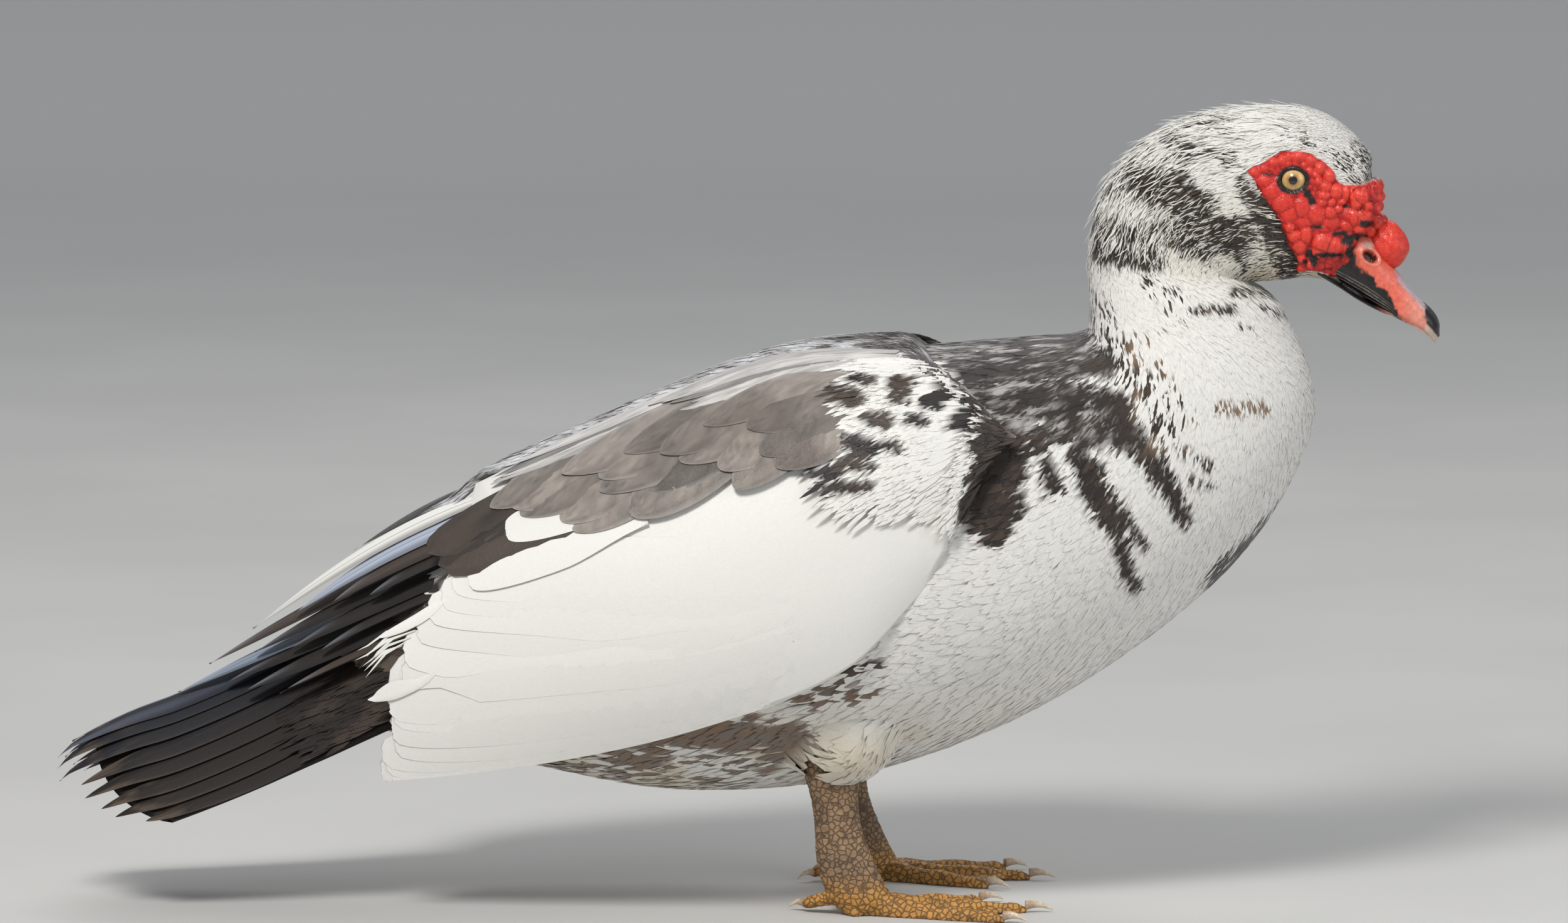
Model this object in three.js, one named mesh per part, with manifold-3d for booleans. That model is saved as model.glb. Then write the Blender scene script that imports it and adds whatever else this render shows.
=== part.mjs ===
// A muscovy drake that stands at rest, life size, as a still model of closed solids.
// Millimetres, +Z up. +X points the way the bird faces and +Y to its left. The soles are at z = 0.
import * as THREE from "three";
import { mergeVertices } from "three/addons/utils/BufferGeometryUtils.js";
import Module from "manifold-3d";

const wasm = await Module();
wasm.setup();

// Driving dimensions
const GAP = 0.4; // clearance between neighbouring solids
const SMOOTHING = 0.16; // faces flatter than this are joined
const HEAD_TURN = THREE.MathUtils.degToRad(-8); // the head looks a little to the bird's right
const TURN_AXIS_X = 240; // upright line that the head turns about
const TURN_FROM = 5.5; // stations between which the turn grows
const TURN_TO = 8;

// Stations of the body from rump to face. Each is an oval in a plane across the body, from its
// back point to its belly point (x, z), with the given half width.
const STATIONS = [
  { at: "rump", back: [-212, 160], belly: [-196, 92], half: 38 },
  { at: "vent", back: [-150, 208], belly: [-125, 76], half: 74 },
  { at: "loin", back: [-50, 260], belly: [-35, 60], half: 97 },
  { at: "ribs", back: [50, 295], belly: [62, 69], half: 103 },
  { at: "shoulder", back: [140, 306], belly: [165, 110], half: 93 },
  { at: "breast", back: [180, 310], belly: [260, 181], half: 74 },
  { at: "collar", back: [184, 322], belly: [305, 258], half: 56 },
  { at: "neck", back: [183, 336], belly: [291, 316], half: 42 },
  { at: "throat", back: [183, 352], belly: [270, 336], half: 34 },
  { at: "nape", back: [194.5, 395], belly: [274, 338], half: 30 },
  { at: "hind crown", back: [235, 426], belly: [288, 338], half: 27 },
  { at: "crown", back: [299, 433], belly: [304, 339], half: 24.5 },
  { at: "forehead", back: [332.5, 412], belly: [316, 337], half: 19 },
  { at: "face", back: [335.5, 395], belly: [320, 336], half: 16.5 },
];
const BREAST_CUT = 5; // station where trunk and neck part
const THROAT_CUT = 8; // station where neck and head part
const ROWS_PER_STATION = 3;
const BODY_SIDES = 24;

// Bill: culmen and cutting edge as (x, z), half width
const UPPER_BILL = [
  { back: [322, 366], belly: [306, 348], half: 11 },
  { back: [335, 365], belly: [318, 339.5], half: 14 },
  { back: [345, 350], belly: [330, 331.8], half: 13.5 },
  { back: [352.5, 341], belly: [342, 323.8], half: 12.5 },
  { back: [361, 330.8], belly: [353, 317.2], half: 12.5 },
  { back: [367.8, 324.2], belly: [361.5, 313.4], half: 11.5 },
  { back: [372.6, 317.5], belly: [367.5, 309], half: 8.5 },
  { back: [373.3, 309.5], belly: [371, 305], half: 3 },
];
const LOWER_BILL = [
  { back: [307, 346.2], belly: [308.5, 341], half: 10 },
  { back: [318, 338.5], belly: [320, 334.9], half: 11.5 },
  { back: [330, 330.8], belly: [331.5, 327.8], half: 12 },
  { back: [342, 322.8], belly: [343.5, 320.2], half: 11 },
  { back: [352, 316.4], belly: [353, 314.4], half: 9 },
];
const BILL_SIDES = 14;
const NAIL_BACK = 9; // length of the nail along the bill
const BILL_SLOPE = THREE.MathUtils.degToRad(-42);
const KNOB = { x: 346.5, z: 357.8, long: 12.4, deep: 10.2, wide: 9.5, lean: -0.2 };

// Warty lumps of the mask on both sides of the forehead
const BROW = { x: 333.5, y: 10, z: 378.5, deep: 8.3, wide: 7, tall: 13.5 };

// Eyes
const EYE = { x: 295.5, z: 394.5, radius: 8, out: 17.2, opening: 7.3 };

// Wing: lines along x for the upper edge, widest height, lower edge and distances from the middle
const WING = {
  top: [[-205, 191], [-177, 214.5], [-92, 256], [10, 297], [75, 304.5], [110, 298], [140, 272]],
  topOut: [[-205, 20], [-150, 8], [-50, 4], [20, 10], [75, 34], [110, 50], [140, 75]],
  mid: [[-200, 120], [-100, 150], [0, 175], [100, 215], [140, 236]],
  out: [[-200, 70], [-160, 82], [-120, 94], [-60, 109], [0, 115], [60, 113], [100, 105], [140, 97]],
  low: [[-200, 74], [-109, 87], [-24, 108], [53, 140], [99, 188]],
  lowOut: [[-200, 66], [-109, 84], [-24, 99], [53, 104], [99, 100]],
};
// Ends of the wing against the share of the way down it, from the back to the lower edge
const WING_REAR = [[0, -165], [0.15, -162], [0.25, -174], [0.35, -185], [0.5, -198], [1, -199]];
const WING_FRONT = [[0, 60], [0.15, 108], [0.25, 137], [0.4, 120], [0.5, 110], [0.75, 108], [1, 99]];
const WING_SQUARE = 2.3;
const WING_EDGE = 2; // thickness at the rim
const WING_BODY = 9; // added thickness inside the rim
const WING_FILL = 12; // more of it over the back
const WING_COLUMNS = 9;
const FEATHER_TIPS = 8; // feather tips along the rear edge
const TIP_DEPTH = 5;

// Flight feathers that pass over the rump, as one blade at the rear of each wing
const PRIMARIES = {
  root: { x: -108, out: 30, z: 235 },
  tips: { right: { x: -268, out: 9, z: 144 }, left: { x: -214, out: 17, z: 190 } },
  halfLevel: 10.4, // half width seen from above
  halfUpright: 7.2, // half width seen from the side
  crown: 2, // height of its rounded middle
  thick: 3.2,
  rise: 12, // height over the straight line from root to tip
  step: 5, // how far the middle feather reaches past its neighbours
  columns: 10,
  rows: 4,
};

// Tail
const TAIL = {
  rootX: -188,
  tipX: -374.5,
  sideX: -304, // where the outermost feather ends
  top: [[-374.5, 73], [-366, 84], [-337, 98.5], [-309, 109], [-262, 129], [-203, 156], [-188, 163]],
  rootHalf: 64,
  half: 56,
  slope: 1.22, // fall of the fan to each side
  ridge: 8, // half width of the rounded ridge
  feathers: 18,
  thinEdge: 1.6,
  coverts: 34, // added thickness at the root
  notch: 0.045, // share of a feather's length that parts its tip from the next
  rows: 5,
};

// Legs, given for both sides: the left leg stands LEFT_AHEAD further forward
const LEG_Y = 56;
const LEFT_AHEAD = 5;
const THIGH = { x: 47, z: 104, long: 33, wide: 21, tall: 32 };
const SHANK = [
  // z, x of the middle, half length, half breadth
  [84, 43, 14.5, 8.5],
  [76, 44.5, 15, 8.3],
  [62, 46, 12.8, 7],
  [46, 48, 13, 6.8],
  [30, 51.5, 15.5, 7.6],
  [17, 56, 17, 9],
  [9, 60, 17, 10],
  [2.5, 61, 13, 9],
];
const SHANK_SIDES = 12;
const ANKLE_Z = 17;
const TOES = [
  // name, heading from straight ahead towards the middle of the bird, length, claw length
  { name: "inner", heading: 27, long: 72, claw: 13 },
  { name: "middle", heading: 3, long: 88, claw: 14 },
  { name: "outer", heading: -20, long: 80, claw: 13 },
];
const TOE_ROOT_X = 62;
const TOE_BURIED = 10; // length of each toe inside the ankle
const TOE_WIDE = 6; // half breadth at the root
const TOE_HIGH = 13;
const TOE_RINGS = 6;
const TOE_ARC = 6; // facets over a toe
const HIND_TOE = { x: 44, z: 11, long: 17, buried: 8, drop: 6.4, radius: 4.6, claw: 9, heading: 152 };
const CLAW_RADIUS = 2.7;
const CLAW_RINGS = 5;
const SMALL_SIDES = 6; // facets round a claw or the hind toe
const WEB = { low: 0.8, high: 2.8 };

/** A smooth function through points (at, value), by cubic spans with the slopes of their neighbours. */
function line(points) {
  const slope = points.map((_, i) => {
    const a = points[Math.max(i - 1, 0)];
    const b = points[Math.min(i + 1, points.length - 1)];
    return (b[1] - a[1]) / (b[0] - a[0]);
  });
  return (at) => {
    let i = 0;
    while (i < points.length - 2 && at > points[i + 1][0]) i++;
    const [x0, y0] = points[i];
    const [x1, y1] = points[i + 1];
    const h = x1 - x0;
    const t = THREE.MathUtils.clamp((at - x0) / h, 0, 1);
    const bend = (1 - t) * slope[i] - t * slope[i + 1] + (2 * t - 1) * ((y1 - y0) / h);
    return y0 + (y1 - y0) * t + h * t * (1 - t) * bend;
  };
}

/** The signed power of a sine or cosine that squares an oval's corners. */
const squared = (v, n) => Math.sign(v) * Math.abs(v) ** (2 / n);

/** A geometry from rings of equal count, each a list of vectors, closed by a point at each end. */
function loft(rings, startPoint, endPoint) {
  const n = rings[0].length;
  const positions = rings.flat().flatMap((p) => [p.x, p.y, p.z]);
  const start = rings.length * n;
  const end = start + 1;
  positions.push(startPoint.x, startPoint.y, startPoint.z, endPoint.x, endPoint.y, endPoint.z);
  const index = [];
  for (let j = 0; j < n; j++) {
    const k = (j + 1) % n;
    for (let i = 0; i + 1 < rings.length; i++) {
      const a = i * n + j;
      const b = i * n + k;
      index.push(a, b, a + n, b, b + n, a + n);
    }
    const last = (rings.length - 1) * n;
    index.push(start, k, j, end, last + j, last + k);
  }
  const g = new THREE.BufferGeometry();
  g.setAttribute("position", new THREE.BufferAttribute(new Float32Array(positions), 3));
  g.setIndex(index);
  return g;
}

const middle = (ring) =>
  ring.reduce((sum, p) => sum.add(p), new THREE.Vector3()).divideScalar(ring.length);

/** A loft whose ends are closed flat. */
const flatLoft = (rings) => loft(rings, middle(rings[0]), middle(rings.at(-1)));

/** A manifold solid of a closed geometry, turned right side out if need be. */
function solid(geometry) {
  let g = geometry.index ? geometry.toNonIndexed() : geometry.clone();
  g.deleteAttribute("normal");
  g.deleteAttribute("uv");
  g = mergeVertices(g, 1e-3);
  const make = (triVerts) =>
    new wasm.Manifold(new wasm.Mesh({ numProp: 3, vertProperties: g.attributes.position.array, triVerts }));
  const faces = new Uint32Array(g.index.array);
  const made = make(faces);
  return made.volume() > 0 ? made : make(faces.reverse());
}

const united = (solids) => solids.reduce((whole, part) => whole.add(part));

/** The largest of a solid's separate bodies. */
const largest = (body) => body.decompose().reduce((a, b) => (a.volume() > b.volume() ? a : b));

/** The geometry of a manifold solid, with its slivers taken out. */
function geometryOf(body) {
  const mesh = largest(body.simplify(SMOOTHING)).getMesh();
  const g = new THREE.BufferGeometry();
  g.setAttribute("position", new THREE.BufferAttribute(new Float32Array(mesh.vertProperties), 3));
  g.setIndex(new THREE.BufferAttribute(new Uint32Array(mesh.triVerts), 1));
  g.computeVertexNormals();
  return g;
}

/** Turns a point about the upright axis of the head, by the whole turn or a share of it. */
function turned(p, share = 1) {
  const dx = p.x - TURN_AXIS_X;
  const c = Math.cos(HEAD_TURN * share);
  const s = Math.sin(HEAD_TURN * share);
  return new THREE.Vector3(TURN_AXIS_X + c * dx - s * p.y, s * dx + c * p.y, p.z);
}

const turnShare = (s) => THREE.MathUtils.smoothstep(s, TURN_FROM, TURN_TO);

/** Functions of the station number for each measure of a row of stations. */
function stationLines(stations) {
  const through = (pick) => line(stations.map((st, i) => [i, pick(st)]));
  return {
    last: stations.length - 1,
    backX: through((st) => st.back[0]),
    backZ: through((st) => st.back[1]),
    bellyX: through((st) => st.belly[0]),
    bellyZ: through((st) => st.belly[1]),
    half: through((st) => st.half),
  };
}

/** The oval across a row of stations at s, grown by a margin, with its widest line at a share down. */
function oval(lines, s, sides, { grow = 0, waist = 0.5, over = 2.1, under = 2.1, share = 0 } = {}) {
  const back = new THREE.Vector3(lines.backX(s), 0, lines.backZ(s));
  const belly = new THREE.Vector3(lines.bellyX(s), 0, lines.bellyZ(s));
  const down = belly.clone().sub(back);
  const tall = down.length();
  down.normalize();
  const half = lines.half(s) + grow;
  return Array.from({ length: sides }, (_, j) => {
    const a = (2 * Math.PI * j) / sides;
    const upper = Math.cos(a) >= 0;
    const c = squared(Math.cos(a), upper ? over : under);
    const reach = upper ? waist * tall + grow : (1 - waist) * tall + grow;
    const p = back.clone().addScaledVector(down, waist * tall - reach * c);
    p.y = half * squared(Math.sin(a), upper ? over : under);
    return turned(p, share);
  });
}

/** The whole flesh of rump, trunk, neck and head as one solid, grown by a margin. */
function wholeBody(grow = 0) {
  const lines = stationLines(STATIONS);
  const rows = lines.last * ROWS_PER_STATION;
  const rings = Array.from({ length: rows + 1 }, (_, i) => {
    const s = i / ROWS_PER_STATION;
    return oval(lines, s, BODY_SIDES, { grow, waist: 0.47, share: turnShare(s) });
  });
  const tail = middle(rings[0]).add(new THREE.Vector3(-14 - grow, 0, -4));
  const face = middle(rings.at(-1)).add(new THREE.Vector3(3 + grow, 0, 1));
  return solid(loft(rings, tail, face));
}

/** The plane across the body at a station, as a unit normal towards the head and its offset. */
function stationPlane(s) {
  const lines = stationLines(STATIONS);
  const back = turned({ x: lines.backX(s), y: 0, z: lines.backZ(s) }, turnShare(s));
  const belly = turned({ x: lines.bellyX(s), y: 0, z: lines.bellyZ(s) }, turnShare(s));
  const across = turned({ x: TURN_AXIS_X, y: 1, z: 0 }, turnShare(s)).sub(turned({ x: TURN_AXIS_X, y: 0, z: 0 }, turnShare(s)));
  const normal = belly.clone().sub(back).cross(across).normalize();
  if (normal.z < 0) normal.negate();
  return { normal: normal.toArray(), offset: normal.dot(back) };
}

const above = (body, plane) => body.trimByPlane(plane.normal, plane.offset + GAP / 2);
const below = (body, plane) =>
  body.trimByPlane(plane.normal.map((v) => -v), -plane.offset + GAP / 2);

/** A bill half: a loft of ovals with a flat cutting edge, turned with the head. */
function billSolid(stations, grow, { over, under, waist }) {
  const lines = stationLines(stations);
  const rings = Array.from({ length: lines.last + 1 }, (_, i) =>
    oval(lines, i, BILL_SIDES, { grow, waist, over, under, share: 1 }),
  );
  return solid(flatLoft(rings));
}

const upperBill = (grow = 0) => billSolid(UPPER_BILL, grow, { over: 2.2, under: 3.4, waist: 0.72 });
const lowerBill = (grow = 0) => billSolid(LOWER_BILL, grow, { over: 4, under: 2.2, waist: 0.4 });

/** The fleshy knob over the bill, an egg with a shallow groove down its side. */
function knobSolid(grow) {
  const g = new THREE.SphereGeometry(1, 14, 9);
  g.rotateX(Math.PI / 2);
  g.scale(KNOB.deep + grow, KNOB.wide + grow, KNOB.long + grow);
  const position = g.attributes.position;
  for (let i = 0; i < position.count; i++) {
    const x = position.getX(i);
    const z = position.getZ(i);
    const swell = 1 + 0.07 * Math.cos(0.45 * z + 0.6);
    position.setXYZ(i, x * swell + KNOB.lean * 0.5 * z, position.getY(i) * swell, z);
  }
  g.translate(KNOB.x, 0, KNOB.z);
  for (let i = 0; i < position.count; i++) {
    const p = turned(new THREE.Vector3().fromBufferAttribute(position, i));
    position.setXYZ(i, p.x, p.y, p.z);
  }
  return solid(g);
}

/** The swollen end of the mask on one side of the forehead. */
function browSolid(side) {
  const g = new THREE.SphereGeometry(1, 10, 6);
  g.rotateX(Math.PI / 2);
  g.scale(BROW.deep, BROW.wide, BROW.tall);
  g.rotateZ(HEAD_TURN);
  const centre = turned({ x: BROW.x, y: side * BROW.y, z: BROW.z });
  return solid(g.translate(centre.x, centre.y, centre.z));
}

/** A ball at the place of an eye. side is 1 for left and -1 for right. */
function eyeBall(side, grow = 0) {
  const centre = turned({ x: EYE.x, y: side * EYE.out, z: EYE.z });
  const g = new THREE.SphereGeometry(EYE.radius + grow, 10, 7);
  return solid(g.translate(centre.x, centre.y, centre.z));
}

/** The round opening between the lids, a short cone outwards from the ball. */
function lidOpening(side) {
  const g = new THREE.CylinderGeometry(EYE.opening + 1.2, EYE.opening - 0.6, 16, 12);
  if (side < 0) g.rotateX(Math.PI);
  g.translate(0, side * 8, 0);
  g.rotateZ(HEAD_TURN);
  const centre = turned({ x: EYE.x, y: side * (EYE.out + 3), z: EYE.z });
  return solid(g.translate(centre.x, centre.y, centre.z));
}

/** A closed sheet from an outer grid and a depth: outer(u, v) gives a point and its inner partner. */
function sheet(columns, rows, pair) {
  const outer = [];
  const inner = [];
  for (let j = 0; j <= rows; j++) {
    for (let i = 0; i <= columns; i++) {
      const [a, b] = pair(i, j);
      outer.push(a);
      inner.push(b);
    }
  }
  const wide = columns + 1;
  const count = outer.length;
  const index = [];
  for (let j = 0; j < rows; j++) {
    for (let i = 0; i < columns; i++) {
      const a = j * wide + i;
      const b = a + 1;
      const c = a + wide;
      const d = c + 1;
      index.push(a, b, d, a, d, c);
      index.push(count + a, count + d, count + b, count + a, count + c, count + d);
    }
  }
  const rim = [];
  for (let i = 0; i < columns; i++) rim.push([i + 1, i], [rows * wide + i, rows * wide + i + 1]);
  for (let j = 0; j < rows; j++) {
    rim.push([j * wide, (j + 1) * wide], [(j + 1) * wide + columns, j * wide + columns]);
  }
  for (const [a, b] of rim) index.push(a, b, count + b, a, count + b, count + a);
  const g = new THREE.BufferGeometry();
  const flat = [...outer, ...inner].flatMap((p) => [p.x, p.y, p.z]);
  g.setAttribute("position", new THREE.BufferAttribute(new Float32Array(flat), 3));
  g.setIndex(index);
  return solid(g);
}

const wingLine = Object.fromEntries(Object.entries(WING).map(([name, points]) => [name, line(points)]));
const wingRear = line(WING_REAR);
const wingFront = line(WING_FRONT);

/** A point of the folded wing's outside at length x and share v of the way down, and its inward way. */
function wingPoint(x, v) {
  const [top, mid, low] = [wingLine.top(x), wingLine.mid(x), wingLine.low(x)];
  const [topOut, out, lowOut] = [wingLine.topOut(x), wingLine.out(x), wingLine.lowOut(x)];
  if (v < 0.5) {
    const a = v * Math.PI;
    const y = topOut + (out - topOut) * squared(Math.sin(a), WING_SQUARE);
    return new THREE.Vector3(x, y, mid + (top - mid) * squared(Math.cos(a), WING_SQUARE));
  }
  const q = 2 * v - 1;
  return new THREE.Vector3(x, out + (lowOut - out) * q * q, mid + (Math.min(low, mid - 1) - mid) * q);
}

/** The folded wing with the scapulars and tertials that lie on it, on the given side. */
function wingSolid(side) {
  const rows = 2 * FEATHER_TIPS;
  return sheet(WING_COLUMNS, rows, (i, j) => {
    const u = i / WING_COLUMNS;
    const v = j / rows;
    const notch = j % 2 === 0 && j > 0 && j < rows ? TIP_DEPTH : 0;
    const rear = wingRear(v) + notch;
    const x = rear + (wingFront(v) - rear) * u;
    const p = wingPoint(x, v);
    const inward = new THREE.Vector3(0, -p.y, wingLine.mid(x) - p.z).normalize();
    const round = (Math.sin(Math.PI * u) * Math.sin(Math.PI * Math.max(v, 0.04))) ** 0.6;
    const fill = WING_FILL * THREE.MathUtils.smoothstep(0.45 - v, 0, 0.3) * Math.sin(Math.PI * u) ** 0.5;
    const q = p.clone().addScaledVector(inward, WING_EDGE + WING_BODY * round + fill);
    if (q.y < 1) q.y = 1;
    if (p.y < 1) p.y = 1;
    p.y *= side;
    q.y *= side;
    return [p, q];
  });
}

/** The long flight feathers of one side as one pointed blade over the rump. */
function primariesSolid(side, tip) {
  const { root, halfLevel, halfUpright, crown, thick, rise, step, columns, rows } = PRIMARIES;
  const start = new THREE.Vector3(root.x, root.out, root.z);
  const end = new THREE.Vector3(tip.x, tip.out, tip.z);
  return sheet(columns, rows, (i, j) => {
    const u = i / columns;
    const across = (2 * j) / rows - 1;
    const narrow = Math.min(1, 1.15 * (1 - u) ** 0.55 + 0.12);
    const between = j % 2 === 1 && u > 0.3 ? step * (1 - Math.abs(across)) : 0;
    const p = start.clone().lerp(end, u);
    p.x += between;
    p.y += across * halfLevel * narrow;
    p.z += rise * Math.sin(Math.PI * u) - across * halfUpright * narrow - crown * across * across;
    const q = p.clone();
    q.z -= thick * (1 - 0.5 * u) * (1 - 0.35 * across * across);
    p.y *= side;
    q.y *= side;
    return [p, q];
  });
}

const tailTop = line(TAIL.top);

/** The tail: a fan that droops to both sides like a roof, thick where its coverts meet the rump. */
function tailSolid() {
  const columns = 2 * TAIL.feathers;
  return sheet(TAIL.rows, columns, (i, j) => {
    const across = (2 * j) / columns - 1;
    const notch = j % 2 === 0 && j > 0 && j < columns ? TAIL.notch : 0;
    const r = (i / TAIL.rows) * (1 - notch);
    const tipX = TAIL.sideX + (TAIL.tipX - TAIL.sideX) * (1 - across * across) ** 0.62;
    const x = TAIL.rootX + (tipX - TAIL.rootX) * r;
    const y = across * (TAIL.rootHalf + (TAIL.half - TAIL.rootHalf) * r ** 0.9);
    const z = tailTop(x) - TAIL.slope * (Math.hypot(y, TAIL.ridge) - TAIL.ridge);
    const thick = TAIL.thinEdge + TAIL.coverts * (1 - r) ** 3 * (1 - 0.6 * across * across);
    return [new THREE.Vector3(x, y, z), new THREE.Vector3(x + 0.15 * thick, y * (1 - 0.004 * thick), z - thick)];
  });
}

/** The feathered thigh, an egg half sunk in the belly. */
function thighSolid(side) {
  const g = new THREE.SphereGeometry(1, 12, 8);
  g.rotateX(Math.PI / 2);
  g.scale(THIGH.long, THIGH.wide, THIGH.tall);
  return solid(g.translate(THIGH.x + ahead(side), side * LEG_Y, THIGH.z));
}

const ahead = (side) => (side > 0 ? LEFT_AHEAD : 0);

/** The bare shank down to the sole, a loft of ovals. */
function shankSolid(side, grow = 0) {
  const rings = SHANK.map(([z, x, long, wide]) =>
    Array.from({ length: SHANK_SIDES }, (_, j) => {
      const a = (2 * Math.PI * j) / SHANK_SIDES;
      const along = (long + grow) * Math.cos(a);
      return new THREE.Vector3(x + ahead(side) + along, side * LEG_Y + (wide + grow) * Math.sin(a), z);
    }),
  );
  return solid(flatLoft(rings));
}

/** The heading of a toe as a unit vector, for the given side. */
function headingOf(degrees, side) {
  const a = THREE.MathUtils.degToRad(degrees);
  return new THREE.Vector3(Math.cos(a), -side * Math.sin(a), 0);
}

/** One toe: arches with flat soles along its heading, swollen at each joint. */
function toeSolid(side, { heading, long }) {
  const way = headingOf(heading, side);
  const aside = new THREE.Vector3(-way.y, way.x, 0);
  const root = new THREE.Vector3(TOE_ROOT_X + ahead(side), side * LEG_Y, 0).addScaledVector(way, -TOE_BURIED);
  const rings = Array.from({ length: TOE_RINGS + 1 }, (_, i) => {
    const t = i / TOE_RINGS;
    const size = 1 - 0.45 * t + 0.05 * Math.cos(6 * Math.PI * t) - (i === TOE_RINGS ? 0.12 : 0);
    const centre = root.clone().addScaledVector(way, (long + TOE_BURIED) * t);
    return Array.from({ length: TOE_ARC + 1 }, (_, j) => {
      const a = (Math.PI * j) / TOE_ARC;
      const p = centre.clone().addScaledVector(aside, TOE_WIDE * size * Math.cos(a));
      p.z = TOE_HIGH * size * Math.sin(a) ** 0.9 * (1 - 0.25 * t);
      return p;
    });
  });
  return solid(flatLoft(rings));
}

/** Where a front toe ends and its claw begins. */
const toeEnd = (side, { heading, long }) =>
  new THREE.Vector3(TOE_ROOT_X + ahead(side), side * LEG_Y, 0).addScaledVector(headingOf(heading, side), long);

/** The web: two sheets between the toes with hollow front edges. */
function webSolid(side) {
  const shape = new THREE.Shape();
  const ends = TOES.map((toe) => toeEnd(side, { heading: toe.heading, long: toe.long - 6 }));
  shape.moveTo(TOE_ROOT_X + ahead(side) - 6, side * LEG_Y);
  shape.lineTo(ends[0].x, ends[0].y);
  for (let k = 1; k < ends.length; k++) {
    const a = ends[k - 1];
    const b = ends[k];
    shape.quadraticCurveTo((a.x + b.x) / 2 - 17, (a.y + b.y) / 2, b.x, b.y);
  }
  shape.closePath();
  const g = new THREE.ExtrudeGeometry(shape, { depth: WEB.high - WEB.low, bevelEnabled: false, curveSegments: 5 });
  return solid(g.translate(0, 0, WEB.low));
}

/** A curved tapering claw from a start point along a level heading, its tip near the ground. */
function clawSolid(start, way, long, radius, drop) {
  const aside = new THREE.Vector3(-way.y, way.x, 0);
  const up = new THREE.Vector3(0, 0, 1);
  const rings = Array.from({ length: CLAW_RINGS }, (_, i) => {
    const t = i / CLAW_RINGS;
    const size = radius * (1 - t) ** 0.7;
    const centre = start.clone().addScaledVector(way, long * t);
    centre.z += 1.2 * Math.sin(Math.PI * t) - drop * t * t;
    return Array.from({ length: SMALL_SIDES }, (_, j) => {
      const a = (2 * Math.PI * j) / SMALL_SIDES;
      return centre.clone().addScaledVector(aside, 0.8 * size * Math.cos(a)).addScaledVector(up, size * Math.sin(a));
    });
  });
  const tip = start.clone().addScaledVector(way, long);
  tip.z -= drop;
  return solid(loft(rings, middle(rings[0]), tip));
}

/** The short hind toe, from the back of the shank down towards the ground. */
function hindToe(side) {
  const way = headingOf(HIND_TOE.heading, side);
  const aside = new THREE.Vector3(-way.y, way.x, 0);
  const rings = Array.from({ length: 5 }, (_, i) => {
    const t = i / 4;
    const centre = new THREE.Vector3(HIND_TOE.x + ahead(side), side * LEG_Y, HIND_TOE.z);
    centre.addScaledVector(way, (HIND_TOE.long + HIND_TOE.buried) * t - HIND_TOE.buried);
    centre.z -= HIND_TOE.drop * t;
    const size = HIND_TOE.radius * (1 - 0.25 * t);
    return Array.from({ length: SMALL_SIDES }, (_, j) => {
      const a = (2 * Math.PI * j) / SMALL_SIDES;
      const p = centre.clone().addScaledVector(aside, size * Math.cos(a));
      p.z = Math.max(0, p.z + size * Math.sin(a));
      return p;
    });
  });
  return solid(flatLoft(rings));
}

/** The webbed foot below the shank: ankle, three toes, web and hind toe in one piece. */
function footSolid(side) {
  const ankle = shankSolid(side).trimByPlane([0, 0, -1], -ANKLE_Z + GAP / 2);
  return united([ankle, ...TOES.map((toe) => toeSolid(side, toe)), webSolid(side), hindToe(side)]);
}

// Materials by finish: colour, roughness, metalness
const FINISHES = {
  plumage: [0xe9e4da, 0.85, 0],
  darkPlumage: [0x2b2523, 0.75, 0],
  wingPlumage: [0xdcd8d2, 0.8, 0],
  flesh: [0xc8262a, 0.45, 0],
  bill: [0xd9715e, 0.4, 0],
  nail: [0x23272d, 0.3, 0],
  eye: [0xb98a3e, 0.1, 0],
  scales: [0x9a6a3a, 0.7, 0],
  web: [0xd08a35, 0.65, 0],
  claw: [0xd2c4a6, 0.45, 0],
};

const duck = new THREE.Group();
const SIDES = [["right", -1], ["left", 1]];

/** Adds a solid to the model as a named mesh with a finish. */
function place(name, body, finish) {
  const [color, roughness, metalness] = FINISHES[finish];
  const material = new THREE.MeshStandardMaterial({ color, roughness, metalness, flatShading: false });
  const mesh = new THREE.Mesh(geometryOf(body), material);
  mesh.name = name;
  duck.add(mesh);
}

const body = wholeBody();
const grownBody = wholeBody(GAP);
const breastPlane = stationPlane(BREAST_CUT);
const throatPlane = stationPlane(THROAT_CUT);
const upper = upperBill();

place("trunk", below(below(body, breastPlane), throatPlane), "plumage");
place("neck", above(below(body, throatPlane), breastPlane), "plumage");

const mask = united([above(body, throatPlane), browSolid(-1), browSolid(1)]);
let head = mask.subtract(upperBill(GAP)).subtract(lowerBill(GAP));
for (const [, side] of SIDES) head = head.subtract(eyeBall(side, GAP)).subtract(lidOpening(side));
place("head", head.subtract(knobSolid(GAP)), "flesh");
place("knob", knobSolid(0).subtract(upperBill(GAP)), "flesh");

const tip = UPPER_BILL.at(-1).belly;
const tipPoint = turned({ x: tip[0], y: 0, z: tip[1] });
const billWay = new THREE.Vector3(Math.cos(BILL_SLOPE), 0, Math.sin(BILL_SLOPE)).applyAxisAngle(
  new THREE.Vector3(0, 0, 1),
  HEAD_TURN,
);
const nailPlane = { normal: billWay.toArray(), offset: billWay.dot(tipPoint) - NAIL_BACK };
place("bill_upper", below(upper, nailPlane), "bill");
place("bill_nail", above(upper, nailPlane), "nail");
place("bill_lower", lowerBill().subtract(upperBill(GAP)), "bill");

place("tail", tailSolid().subtract(grownBody), "darkPlumage");

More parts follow.
